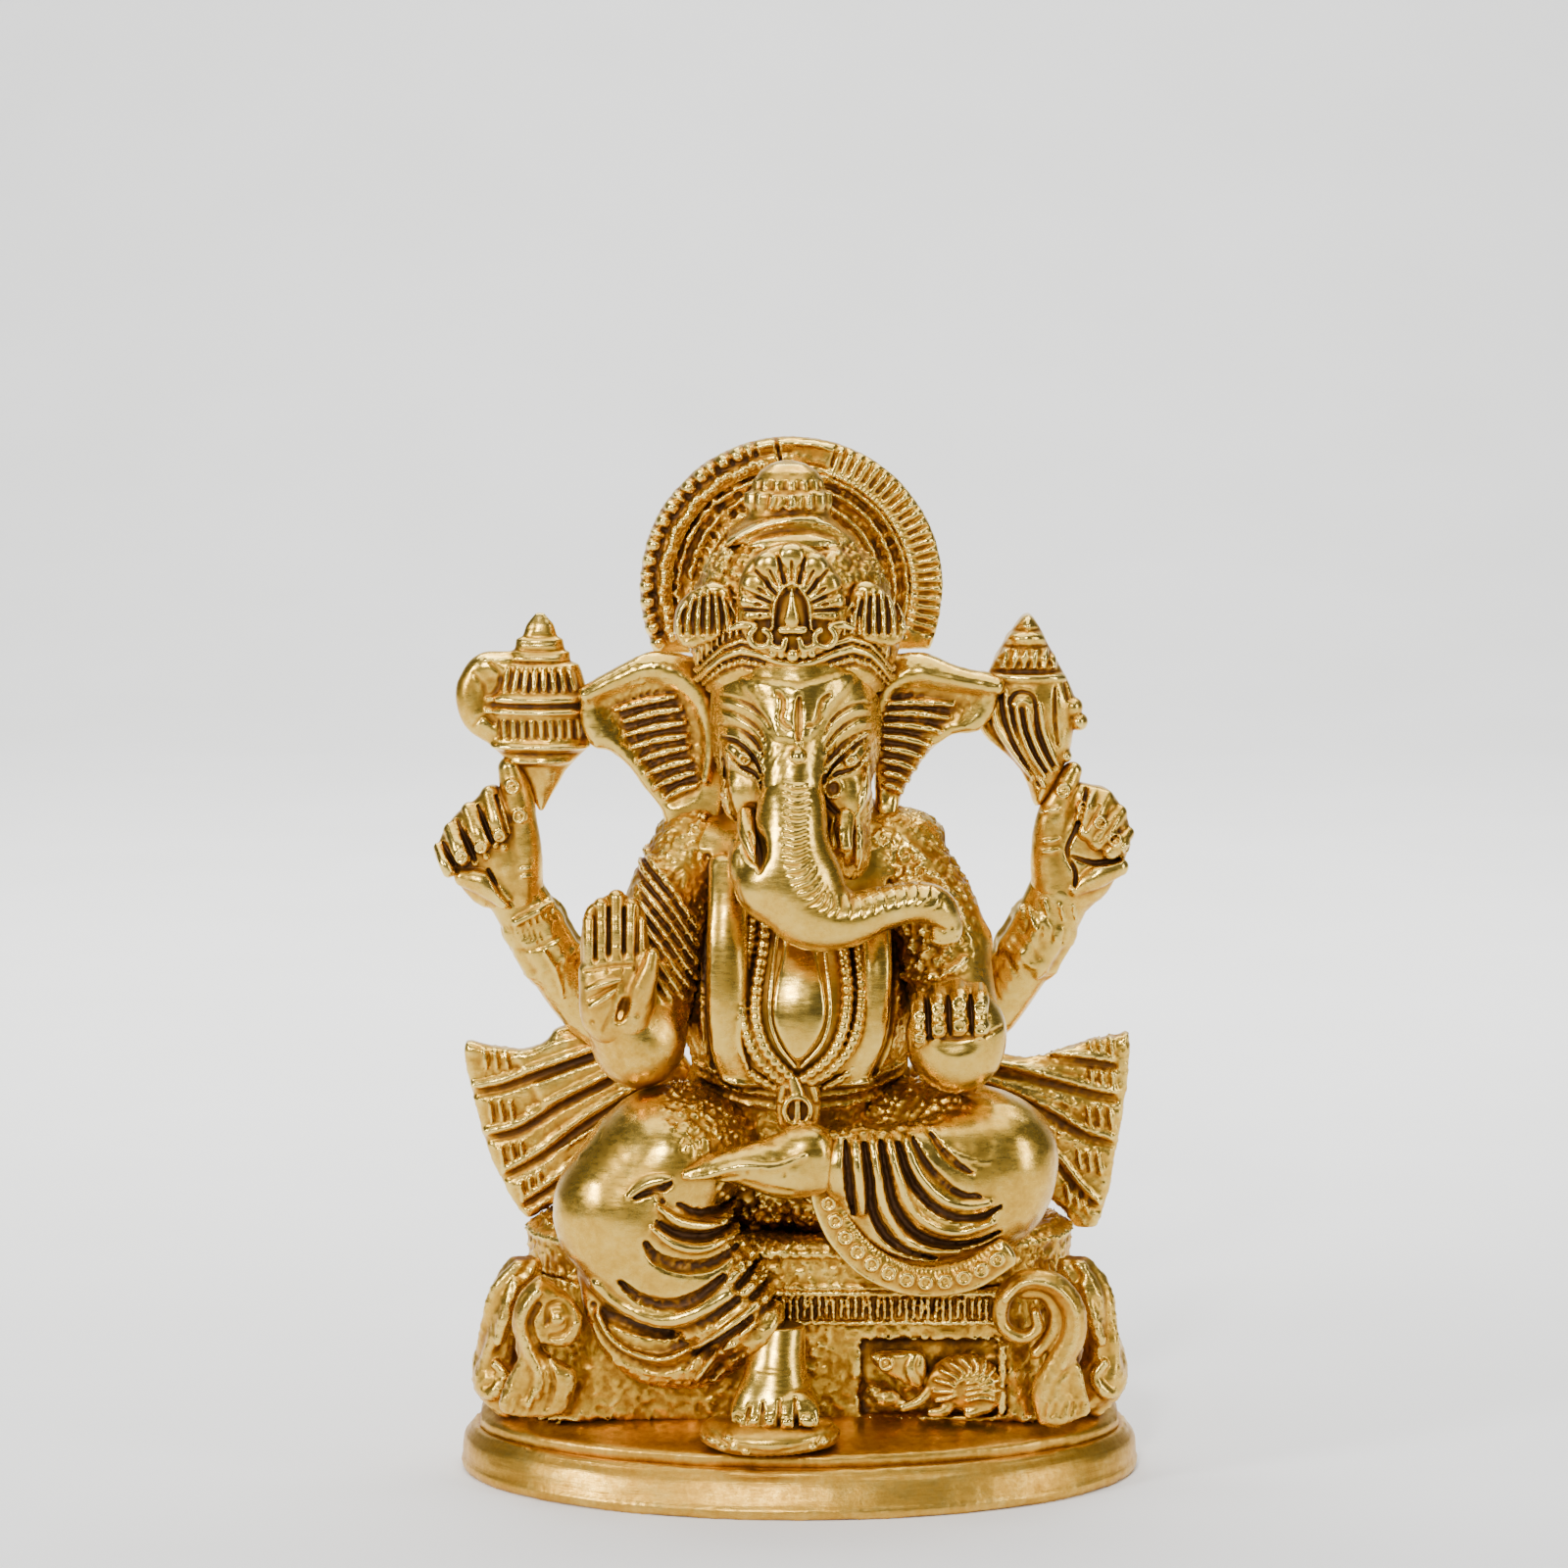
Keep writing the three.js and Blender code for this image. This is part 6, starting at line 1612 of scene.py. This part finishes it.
@cast("ornament", "chased_brass", cell=0.18, room=2.6, filed=0.05)
def tiara_plaque(clay):
    """The plaque over the brow: a fan of slit petals, a pointed drop in an arch, and scrolls below."""
    clay.slab([(-6.6, 104.4), (-7.4, 107.4), (-7.4, 110.2), (-6.4, 113), (-4.4, 114.6), (-1.4, 115.6),
        (1.4, 115), (3.6, 113), (5, 110.6), (5.4, 107.6), (4.6, 104.4), (1.6, 102.2), (-3.6, 102.2)],
        lambda x, z: -13.4 + 0.022 * (x + 1) ** 2 + 0.06 * np.maximum(z - 106, 0), 2.6, rounded=0.9)
    marks = Relief(clay)
    centre_x, centre_z = -1.0, 107.6
    for degrees, length in ((0, 8.1), (28, 7.6), (-28, 7.7), (55, 6.9), (-55, 6.9), (78, 6.5), (-78, 6.4),
            (97, 5.6), (-97, 5.8)):
        a = math.radians(degrees)
        ux, uz = math.sin(a), math.cos(a)
        x0, z0 = centre_x + 3 * ux, centre_z + 2.9 * uz
        x1, z1 = centre_x + length * ux, centre_z + length * uz
        tip = 1.5 if abs(degrees) < 60 else 0.8
        marks.line([(x0, z0), ((x0 + x1) / 2, (z0 + z1) / 2), (x1 - tip * ux, z1 - tip * uz)], 0.8, 0.55)
        marks.dot(x1 - tip * ux, z1 - tip * uz, tip, 0.6)
        marks.line([(x0 + 0.6 * ux, z0 + 0.6 * uz), (x1 - 1.9 * ux, z1 - 1.9 * uz)], 0.3, -0.75, 0.7)
    for degrees in (14, -14, 41, -41, 66, -66, 88, -88):
        a = math.radians(degrees)
        ux, uz = math.sin(a), math.cos(a)
        marks.line([(centre_x + 2.8 * ux, centre_z + 2.8 * uz), (centre_x + 6.4 * ux, centre_z + 6.4 * uz)],
            0.22, -0.5)
    marks.line([(-3.3, 105.6), (-3, 108.6), (-2, 110.4), (-1, 110.9), (0, 110.4), (1, 108.6),
        (1.3, 105.6)], 0.36, 0.75)
    marks.field([(-2.6, 105.4), (-2.4, 108.6), (-1, 110.4), (0.4, 108.6), (0.6, 105.4)], -0.5, soft=0.4)
    clay.press(marks, -11)
    clay.tube([(-1, -15.4, 110.4, 0.15, 0.2), (-1, -15.6, 108.6, 0.55, 0.55), (-1, -15.6, 106.8, 0.95, 0.7),
        (-1, -15.4, 106.2, 0.7, 0.6)], blend=0.1, steps=5)
    clay.tube([(-2.2, -15.4, 105.5, 0.5, 0.6), (0.4, -15.4, 105.5, 0.5, 0.6)], blend=0.1)
    for side, cx in ((-1, -4.6), (1, 2.8)):
        turn = np.linspace(0.6, 5.9, 9)
        clay.tube([(cx + side * 1.35 * math.sin(a) * (1.1 - 0.06 * a), -15.2,
            104.6 + 1.25 * math.cos(a) * (1.1 - 0.06 * a), 0.42, 0.6) for a in turn], blend=0.15)
        clay.tube([(cx + side * 0.8, -15, 105.9, 0.45, 0.5), (cx + side * 2.2, -14.6, 106, 0.5, 0.5),
            (cx + side * 3.4, -14, 105.6, 0.35, 0.4)], blend=0.15)
        clay.tube([(cx - side * 1, -15.2, 103.6, 0.45, 0.6), (-0.9 + side * 1.3, -15.4, 103.2, 0.5, 0.6),
            (-0.9 + side * 0.8, -15.4, 104.4, 0.4, 0.5)], blend=0.15)
    clay.ball((-0.9, -15.3, 102.5), (0.8, 0.8, 0.9), blend=0.15)
    for x in (-3.2, -2.2, 0.4, 1.4):
        clay.ball((x, -15.2, 102.4 + 0.12 * abs(x + 0.9)), (0.5, 0.6, 0.55), blend=0.1)


def tiara_crest(clay, side, centre_x, outline):
    """A leaf-shaped crest on the tiara's side, veined upright."""
    clay.slab(outline, lambda x, z: -10.6 + 0.16 * np.maximum(side * (x - centre_x) + 1, 0) ** 1.4
        + 0.1 * (z - 104), 2.6, rounded=0.9)
    veins = Relief(clay)
    for n in range(-3, 4):
        x = centre_x + 1.15 * n
        veins.lines(
            ([(x + 0.1 * n, 104.6), (x, 107), (x - 0.25 * n, 109.6 - 0.16 * n * n)], 0.4, 0.45, 0.3),
            ([(x + 0.57, 104.6), (x + 0.55, 107), (x + 0.5 - 0.25 * n, 109.2 - 0.16 * n * n)],
                0.22, -0.6, 0.3))
    clay.press(veins, -4)
    grained(clay, 0.6, 0.12)
    hand_worked(clay, 0.1)


@cast("ornament", "chased_brass", cell=0.2, room=3)
def right_tiara_crest(clay):
    """The broader crest, on the figure's right."""
    tiara_crest(clay, -1, -11, [(-15, 104.6), (-14.6, 107.8), (-12.6, 109.8), (-10.4, 110.7), (-8.4, 110),
        (-7.8, 107.4), (-8.6, 104.8), (-11, 103.4), (-13.6, 102.8)])


@cast("ornament", "chased_brass", cell=0.2, room=3)
def left_tiara_crest(clay):
    """The narrower crest, on the figure's left."""
    tiara_crest(clay, 1, 8.8, [(5.6, 104.8), (5.5, 107.6), (6.4, 110.2), (8.2, 110.7), (10, 109.6),
        (11.6, 107.2), (12.4, 104.2), (11, 103), (8, 103.6)])


# The halo

HALO = (-1.0, 108.3)


def halo_point(degrees, radius):
    """A point of the halo by its clock angle."""
    turn = math.radians(degrees)
    return HALO[0] + radius * math.sin(turn), HALO[1] + radius * math.cos(turn)


def halo_arc(radius, first, last, count):
    """Points on the halo's round, from one clock angle to another."""
    return [halo_point(degrees, radius) for degrees in np.linspace(first, last, count)]


@cast("ornament", "matted_brass", cell=0.28, filed=0.2)
def halo_plate(clay):
    """The halo's field: a dished disc, crossed by raised lines that follow the rim, its ground matted."""
    clay.slab(halo_arc(16, -112, 112, 44), 8.4, 2.6, rounded=0.8, smooth=0)
    marks = Relief(clay)
    for radius, height in ((13.9, 0.7), (12.4, 0.6), (10.6, 0.5)):
        marks.lines(
            (halo_arc(radius, -105, -8, 12), 0.42, height),
            (halo_arc(radius + 0.3, 8, 105, 12), 0.5, height + 0.1))
    for radius in (13.1, 11.5):
        marks.line(halo_arc(radius, -105, 105, 20), 0.35, -0.5)
    for n in range(9):
        marks.line([halo_point(-70 + n * 6, 8), halo_point(-64.27 + n * 6, 12)], 0.4, 0.45, 0.3)
    clay.press(marks, 8.4)
    lumps = Relief(clay)
    lumps.field([(-19, 100), (-19, 112), (-12, 122), (-4, 126), (-4, 122), (-9, 118), (-12, 110),
        (-12, 100)], 1, soft=2)
    grained(clay, 1.3, 0.7, lumps)
    grained(clay, 0.85, 0.5)


@cast("ornament", "chased_brass", cell=0.26, filed=0.08)
def halo_rim(clay):
    """The halo's rim: broad notches on one side, fine straight cuts on the other, and beads inside it."""
    outer, inner = 18.6, 14.6
    clay.slab(halo_arc(outer, -116, 114, 60), 8, 3.4, rounded=1.1, smooth=0)
    from_middle = np.hypot(clay.axes[0][:, None, None] - HALO[0], clay.axes[2] - HALO[1])
    clay.gap = np.maximum(clay.gap, inner - from_middle).astype(np.float32)
    marks = Relief(clay)
    for n in range(18):
        degrees = -112 + n * 5.6 + 0.9 * math.sin(n * 2.1)
        marks.dot(*halo_point(degrees, 17.7), 0.95, 0.6)
        marks.line([halo_point(degrees + 2.8, 16.9), halo_point(degrees + 2.3, 19)], 0.45, -1.0)
    for n in range(25):
        marks.dot(*halo_point(-112 + n * 4.1, 15.7 + 0.2 * math.sin(n * 1.7)), 0.66, 0.7)
    for n in range(24):
        degrees = 18 + n * 3.9
        marks.line([halo_point(degrees, 15.7), halo_point(degrees, 18.2)], 0.34, -0.8, 0.2)
        marks.dot(*halo_point(degrees + 1.5, 15), 0.5, 0.4)
    marks.lines(
        (halo_arc(16.7, -112, 0, 14), 0.3, -0.45),
        (halo_arc(17.9, -110, 20, 14), 0.5, 0.3),
        (halo_arc(15.2, 0, 112, 14), 0.3, -0.5),
        ([(-2.9, 126.6), (-2.6, 125.2), (-2.2, 123.6)], 0.24, -1.2))
    clay.press(marks, 8.4)
    back = Relief(clay)
    back.line(halo_arc(17.2, -112, 112, 24), 0.8, 0.4)
    clay.press_behind(back, 8.8, 0.6)
    grained(clay, 0.7, 0.12)


# ---- from wax to metal: skins, and how deep each spot of the surface lies ------------------------------

def softened(field, cells, passes=2):
    """A block of numbers averaged over a few cells each way, some passes running."""
    out = field
    for _ in range(passes):
        for axis in range(3):
            padded = np.concatenate([np.repeat(np.take(out, [0], axis), cells + 1, axis), out,
                np.repeat(np.take(out, [-1], axis), cells, axis)], axis)
            total = np.cumsum(padded, axis=axis, dtype=np.float32)
            upper = np.take(total, range(2 * cells + 1, total.shape[axis]), axis)
            lower = np.take(total, range(0, total.shape[axis] - 2 * cells - 1), axis)
            out = (upper - lower) / (2 * cells + 1)
    return out


def read_at(field, low, cell, points):
    """A block's numbers at points in mm, blended from the nearest corners."""
    spot = np.clip((points - low) / cell, 0, np.array(field.shape) - 1.001)
    base = np.floor(spot).astype(int)
    part = spot - base
    total = 0
    for a, b, c in CORNERS:
        weight = np.abs(1 - a - part[:, 0]) * np.abs(1 - b - part[:, 1]) * np.abs(1 - c - part[:, 2])
        total = total + weight * field[base[:, 0] + a, base[:, 1] + b, base[:, 2] + c]
    return total


CREST_REACH = 0.45  # mm, how far round a spot its crest or groove is judged
WHOLE_CELL = 0.5  # mm, the grid of the whole figure
node_boxes = np.array([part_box(name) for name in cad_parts])
WHOLE_LOW = (node_boxes[:, 0].min(0) - FOOT) / MM - 8
WHOLE_HIGH = (node_boxes[:, 1].max(0) - FOOT) / MM + 8
WHOLE_COUNTS = np.ceil((WHOLE_HIGH - WHOLE_LOW) / WHOLE_CELL).astype(int)


def model_piece(name):
    """One piece in wax: its skin, the crest number of each of its points, and where it is solid."""
    model, _, _, cell, room, filed = CAST[name]
    clay = Clay(*room_of(name, room), cell)
    model(clay)
    if filed:
        hand_worked(clay, filed)
    points, quads = clay.skin()
    reach = max(1, round(CREST_REACH / cell))
    rounded = softened(np.clip(clay.gap, -2, 2), reach)
    crest = read_at(rounded, clay.low, cell, points) / (reach * cell)
    spots = [np.clip(np.round((WHOLE_LOW[k] + WHOLE_CELL * np.arange(WHOLE_COUNTS[k]) - clay.low[k]) / cell),
        -1, clay.gap.shape[k]).astype(int) for k in range(3)]
    kept = [np.nonzero((s >= 0) & (s < clay.gap.shape[k]))[0] for k, s in enumerate(spots)]
    solid = clay.gap[np.ix_(*(spots[k][kept[k]] for k in range(3)))] < 0
    return name, points, quads, crest, kept, solid


modelled = [model_piece(name) for name in CAST]

whole = np.zeros(WHOLE_COUNTS, np.float32)
for _, _, _, _, kept, solid in modelled:
    whole[np.ix_(*kept)] = np.maximum(whole[np.ix_(*kept)], solid)
# How enclosed each spot is by the whole figure; the finishes paint enclosed spots darker, as patina and as
# painted shade
near_hollow = softened(whole, 1)
far_hollow = softened(whole, 4)


def point_normals(points, quads):
    """The direction straight out of the surface at each point."""
    a, b, c, d = (points[quads[:, k]] for k in range(4))
    face = np.cross(c - a, d - b)
    out = np.zeros_like(points)
    for k in range(4):
        for axis in range(3):
            out[:, axis] += np.bincount(quads[:, k], face[:, axis], len(points))
    return out / np.maximum(np.linalg.norm(out, axis=1), 1e-9)[:, None]


def cast_in_metal(name, points, quads, crest):
    """The piece's mesh, with its crest and hollow numbers kept for the patina, the rubbed crests and the
    painted shade in hollows.
    """
    _, slot, brass, *_ = CAST[name]
    # How far in among the pieces a spot lies, for painting it darker as patina and as shade
    outward = points + 0.5 * point_normals(points, quads)
    hollow = 0.5 * read_at(near_hollow, WHOLE_LOW, WHOLE_CELL, outward)
    hollow += 0.5 * read_at(far_hollow, WHOLE_LOW, WHOLE_CELL, outward)
    mesh = bpy.data.meshes.new(name)
    mesh.vertices.add(len(points))
    mesh.vertices.foreach_set("co", np.float32(points * MM + FOOT).ravel())
    mesh.loops.add(quads.size)
    mesh.loops.foreach_set("vertex_index", np.int32(quads).ravel())
    mesh.polygons.add(len(quads))
    mesh.polygons.foreach_set("loop_start", np.arange(0, quads.size, 4, dtype=np.int32))
    mesh.polygons.foreach_set("use_smooth", np.ones(len(quads), bool))
    mesh.update(calc_edges=True)
    mesh.validate()
    for key, values in (("crest", crest), ("hollow", hollow)):
        mesh.attributes.new(key, "FLOAT", "POINT").data.foreach_set("value", np.float32(values))
    mesh.materials.append(finishes[brass])
    piece = bpy.data.objects.new("cast_" + name, mesh)
    bpy.context.scene.collection.objects.link(piece)
    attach(piece, "root")
    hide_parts(name)


# ---- finishes -------------------------------------------------------------------------------------------

def linear(hex_colour):
    """An sRGB hex colour as linear red, green, blue and alpha."""
    parts = [int(hex_colour[n:n + 2], 16) / 255 for n in (1, 3, 5)]
    return tuple(p / 12.92 if p <= 0.04045 else ((p + 0.055) / 1.055) ** 2.4 for p in parts) + (1.0,)


def per_mm(size):
    """The scale that makes a pattern's features `size` mm across, where the coordinates are metres."""
    return 1 / (size * MM)


def node(tree, kind, links, out=0, stops=(), **settings):
    """Adds a node and gives an output; settings name its properties, links its inputs, stops its ramp."""
    made = tree.nodes.new(kind)
    for key, value in settings.items():
        setattr(made, key, value)
    for key, value in links.items():
        if isinstance(value, bpy.types.NodeSocket):
            tree.links.new(value, made.inputs[key])
        else:
            made.inputs[key].default_value = value
    for n, (place, colour) in enumerate(stops):
        steps = made.color_ramp.elements
        step = steps[n] if n < 2 else steps.new(place)
        step.position = place
        step.color = linear(colour)
    return made.outputs[out]


def span(value, low, high, first, last):
    """Inputs that take a number from one range to another, held at its ends."""
    return {"Value": value, "From Min": low, "From Max": high, "To Min": first, "To Max": last}


def brass(name, colours, rough, dirt_shade_and_wear, tarnish, grain, strokes):
    """Cast brass (a yellow copper and zinc alloy), its hollows darkened by patina and by painted shade, and
    its crests rubbed bright.

    colours: from the rubbed crests down to the pits; their dark end also paints shade into hollows. rough:
    roughness of a crest and of a pit.
    dirt: how strongly hollows darken with patina and painted shade, grooves with old wax, and crests brighten
    where rubbed. tarnish: how much the tone wanders.
    grain: size and depth in mm of the cast skin.
    strokes: size and depth in mm, turn and stretch of the polishing.
    """
    material = bpy.data.materials.new(name)
    material.use_nodes = True
    tree = material.node_tree
    tree.nodes.clear()
    place = node(tree, "ShaderNodeTexCoord", {}, out="Object")
    hollow = node(tree, "ShaderNodeAttribute", {}, out="Fac", attribute_name="hollow")
    crest = node(tree, "ShaderNodeAttribute", {}, out="Fac", attribute_name="crest")
    blotch = node(tree, "ShaderNodeTexNoise", {"Vector": place, "Scale": per_mm(5.5), "Detail": 4.0,
        "Roughness": 0.6})
    speck = node(tree, "ShaderNodeTexNoise", {"Vector": place, "Scale": per_mm(0.9), "Detail": 3.0,
        "Roughness": 0.65})
    # Spots sheltered in among the pieces turn darker: partly patina, partly painted shade
    patina_and_shade_in_hollow = node(tree, "ShaderNodeMapRange", span(hollow, 0.34, 0.80, 0.0, dirt_shade_and_wear[0]))
    in_groove = node(tree, "ShaderNodeMapRange", span(crest, 0.05, -0.75, 0.0, dirt_shade_and_wear[1]))
    on_crest = node(tree, "ShaderNodeMapRange", span(crest, 0.08, 0.60, 0.3, 0.3 - dirt_shade_and_wear[2]))
    wander = node(tree, "ShaderNodeMapRange", span(blotch, 0.3, 0.7, -tarnish, tarnish))
    fleck = node(tree, "ShaderNodeMapRange", span(speck, 0.3, 0.75, -tarnish, tarnish))
    depth = patina_and_shade_in_hollow
    for share in (in_groove, on_crest, wander, fleck):
        depth = node(tree, "ShaderNodeMath", {0: depth, 1: share}, operation="ADD")
    tone = node(tree, "ShaderNodeValToRGB", {"Fac": depth}, stops=colours)
    skin = node(tree, "ShaderNodeTexNoise", {"Vector": place, "Scale": per_mm(grain[0]), "Detail": 3.0,
        "Roughness": 0.6})
    cut = node(tree, "ShaderNodeMapping", {"Vector": place, "Rotation": strokes[2], "Scale": strokes[3]})
    stroke = node(tree, "ShaderNodeTexNoise", {"Vector": cut, "Scale": per_mm(strokes[0]), "Detail": 4.0,
        "Roughness": 0.7})
    matt = node(tree, "ShaderNodeMapRange", span(depth, 0.15, 0.85, rough[0], rough[1]))
    streaky = node(tree, "ShaderNodeMapRange", span(stroke, 0.25, 0.75, -0.06, 0.08))
    matt = node(tree, "ShaderNodeMath", {0: matt, 1: streaky}, operation="ADD")
    bumpy = node(tree, "ShaderNodeBump", {"Height": skin, "Strength": 1.0, "Distance": grain[1] * MM})
    bumpy = node(tree, "ShaderNodeBump", {"Height": stroke, "Strength": 1.0, "Distance": strokes[1] * MM,
        "Normal": bumpy})
    bare = node(tree, "ShaderNodeMapRange", span(depth, 0.55, 1.0, 1.0, 0.65))
    shader = node(tree, "ShaderNodeBsdfPrincipled", {"Base Color": tone, "Roughness": matt, "Metallic": bare,
        "Normal": bumpy})
    tree.links.new(shader, tree.nodes.new("ShaderNodeOutputMaterial").inputs["Surface"])
    return material


def turned_brass():
    """Brass turned or scraped round the base: satin, a little orange, with fine strokes that run level."""
    return brass("turned_brass", ((0.0, "#E3BC5C"), (0.3, "#C99838"), (0.55, "#A4721F"), (0.8, "#7C4F12"),
        (1.0, "#5C390E")), rough=(0.3, 0.55), dirt_shade_and_wear=(0.55, 0.35, 0.12), tarnish=0.12, grain=(0.5, 0.02),
        strokes=(1.2, 0.03, (0, 0, 0), (0.25, 0.25, 6.0)))


def matted_brass():
    """Brass struck all over with a round punch, dark between its grains: it glitters more than it shines."""
    return brass("matted_brass", ((0.0, "#F3D36C"), (0.25, "#D6A63A"), (0.5, "#A47020"), (0.75, "#6E4411"),
        (1.0, "#45290B")), rough=(0.26, 0.6), dirt_shade_and_wear=(0.6, 0.55, 0.3), tarnish=0.12, grain=(0.3, 0.03),
        strokes=(0.6, 0.01, (0, 0, 0), (1, 1, 1)))


def worn_brass():
    """Cast brass worn smooth by hands, brown where cloths don't reach, and darkened in its hollows by painted
    shade as well.
    """
    return brass("worn_brass", ((0.0, "#EFCD68"), (0.3, "#D0A03A"), (0.55, "#A67422"), (0.8, "#744812"),
        (1.0, "#4C2E0C")), rough=(0.26, 0.55), dirt_shade_and_wear=(0.6, 0.55, 0.25), tarnish=0.1, grain=(0.5, 0.015),
        strokes=(0.8, 0.02, (0.3, 0.5, 0.8), (0.4, 1, 3)))


def chased_brass():
    """Ornament cut with small chisels: crisp bright edges, and grooves filled with old dark wax."""
    return brass("chased_brass", ((0.0, "#F6D672"), (0.28, "#D8AA40"), (0.5, "#AE7A26"), (0.75, "#744812"),
        (1.0, "#45290B")), rough=(0.22, 0.55), dirt_shade_and_wear=(0.65, 0.7, 0.32), tarnish=0.09, grain=(0.45, 0.015),
        strokes=(0.6, 0.015, (0.6, 0.2, 0.4), (0.5, 1, 2)))


def polished_brass():
    """Bare parts of the figure, filed and buffed until they mirror: pale, very slightly green gold."""
    return brass("polished_brass", ((0.0, "#F2D372"), (0.32, "#D8AE46"), (0.55, "#AE7D28"), (0.8, "#784B14"),
        (1.0, "#4A2C0C")), rough=(0.17, 0.5), dirt_shade_and_wear=(0.6, 0.65, 0.22), tarnish=0.07, grain=(0.9, 0.01),
        strokes=(0.7, 0.015, (0.2, 0.5, 0.1), (0.35, 1, 2.4)))


def polished_cloth():
    """Robes of the same brass, buffed on their broad rounds and left dark down in the pleats."""
    return brass("polished_cloth", ((0.0, "#F0CF6C"), (0.32, "#D4A840"), (0.55, "#AA7826"), (0.8, "#724712"),
        (1.0, "#45290B")), rough=(0.19, 0.55), dirt_shade_and_wear=(0.65, 0.65, 0.22), tarnish=0.08, grain=(0.8, 0.012),
        strokes=(0.8, 0.015, (0.5, 0.9, 0.2), (0.35, 1, 2)))


def chased_cloth():
    """Sleeves and sash of the same brass, cut into close folds: bright along each, brown between them."""
    return brass("chased_cloth", ((0.0, "#F2D06C"), (0.3, "#D1A23A"), (0.52, "#A47022"), (0.76, "#6E4411"),
        (1.0, "#45290B")), rough=(0.24, 0.55), dirt_shade_and_wear=(0.6, 0.65, 0.3), tarnish=0.1, grain=(0.45, 0.02),
        strokes=(0.6, 0.02, (0.4, 0.2, 0.9), (0.5, 1, 2)))


finishes = {make.__name__: make() for make in (turned_brass, matted_brass, worn_brass, chased_brass,
    polished_brass, polished_cloth, chased_cloth)}
for name, points, quads, crest, _, _ in modelled:
    cast_in_metal(name, points, quads, crest)


# ---- floor and light ------------------------------------------------------------------------------------

def pale_sheet():
    """A wide roll of matt white paper: flat under the idol, then curved up behind it."""
    z = float(cad_box[0][2])
    level, bend, wall, half = 0.7, 0.5, 1.6, 2.4
    profile = [(-half, 0.0), (level, 0.0)]
    for n in range(1, 13):
        turn = math.radians(7.5 * n)
        profile.append((level + bend * math.sin(turn), bend * (1 - math.cos(turn))))
    profile.append((level + bend, wall))
    corners = [(FOOT[0] + side * half, FOOT[1] + y, z + up) for y, up in profile for side in (-1, 1)]
    faces = [(2 * n, 2 * n + 1, 2 * n + 3, 2 * n + 2) for n in range(len(profile) - 1)]
    mesh = bpy.data.meshes.new("floor")
    mesh.from_pydata(corners, [], faces)
    mesh.polygons.foreach_set("use_smooth", [True] * len(faces))
    paper = bpy.data.materials.new("white_paper")
    paper.use_nodes = True
    tree = paper.node_tree
    tree.nodes.clear()
    place = node(tree, "ShaderNodeTexCoord", {}, out="Object")
    mottle = node(tree, "ShaderNodeTexNoise", {"Vector": place, "Scale": per_mm(60), "Detail": 3.0})
    tone = node(tree, "ShaderNodeValToRGB", {"Fac": mottle}, stops=((0.3, "#F4F4F2"), (0.7, "#F8F8F7")))
    shader = node(tree, "ShaderNodeBsdfPrincipled", {"Base Color": tone, "Roughness": 0.8})
    tree.links.new(shader, tree.nodes.new("ShaderNodeOutputMaterial").inputs["Surface"])
    mesh.materials.append(paper)
    floor = bpy.data.objects.new("floor", mesh)
    bpy.context.scene.collection.objects.link(floor)


def soft_box(name, place, width, height, power, aim=(0, 0, 60)):
    """A studio light behind a white cloth: place and aim in mm from the foot of the base."""
    lamp = bpy.data.lights.new(name, "AREA")
    lamp.shape = "RECTANGLE"
    lamp.size, lamp.size_y = width * MM, height * MM
    lamp.energy = power
    made = bpy.data.objects.new(name, lamp)
    made.location = FOOT + np.array(place) * MM
    away = np.array(place, float) - np.array(aim, float)
    flat = math.hypot(away[0], away[1])
    made.rotation_euler = (math.atan2(flat, away[2]), 0, math.atan2(away[0], -away[1]))
    bpy.context.scene.collection.objects.link(made)


def studio():
    """A white room with the lamps off to the sides, so the metal has both bright and dark to mirror."""
    world = bpy.data.worlds.new("studio")
    world.use_nodes = True
    tree = world.node_tree
    tree.nodes.clear()
    sky = node(tree, "ShaderNodeBackground", {"Color": linear("#FFFFFF"), "Strength": 0.12})
    tree.links.new(sky, tree.nodes.new("ShaderNodeOutputWorld").inputs["Surface"])
    bpy.context.scene.world = world
    soft_box("front", (-100, -560, 380), 70, 55, 2.3)
    soft_box("key", (-430, -300, 260), 85, 140, 2.0)
    soft_box("fill", (440, -240, 190), 70, 280, 0.9)
    soft_box("top", (0, -20, 460), 480, 380, 1.6)
    soft_box("back", (0, 260, 620), 700, 400, 14.0, aim=(0, 900, 150))


pale_sheet()
studio()
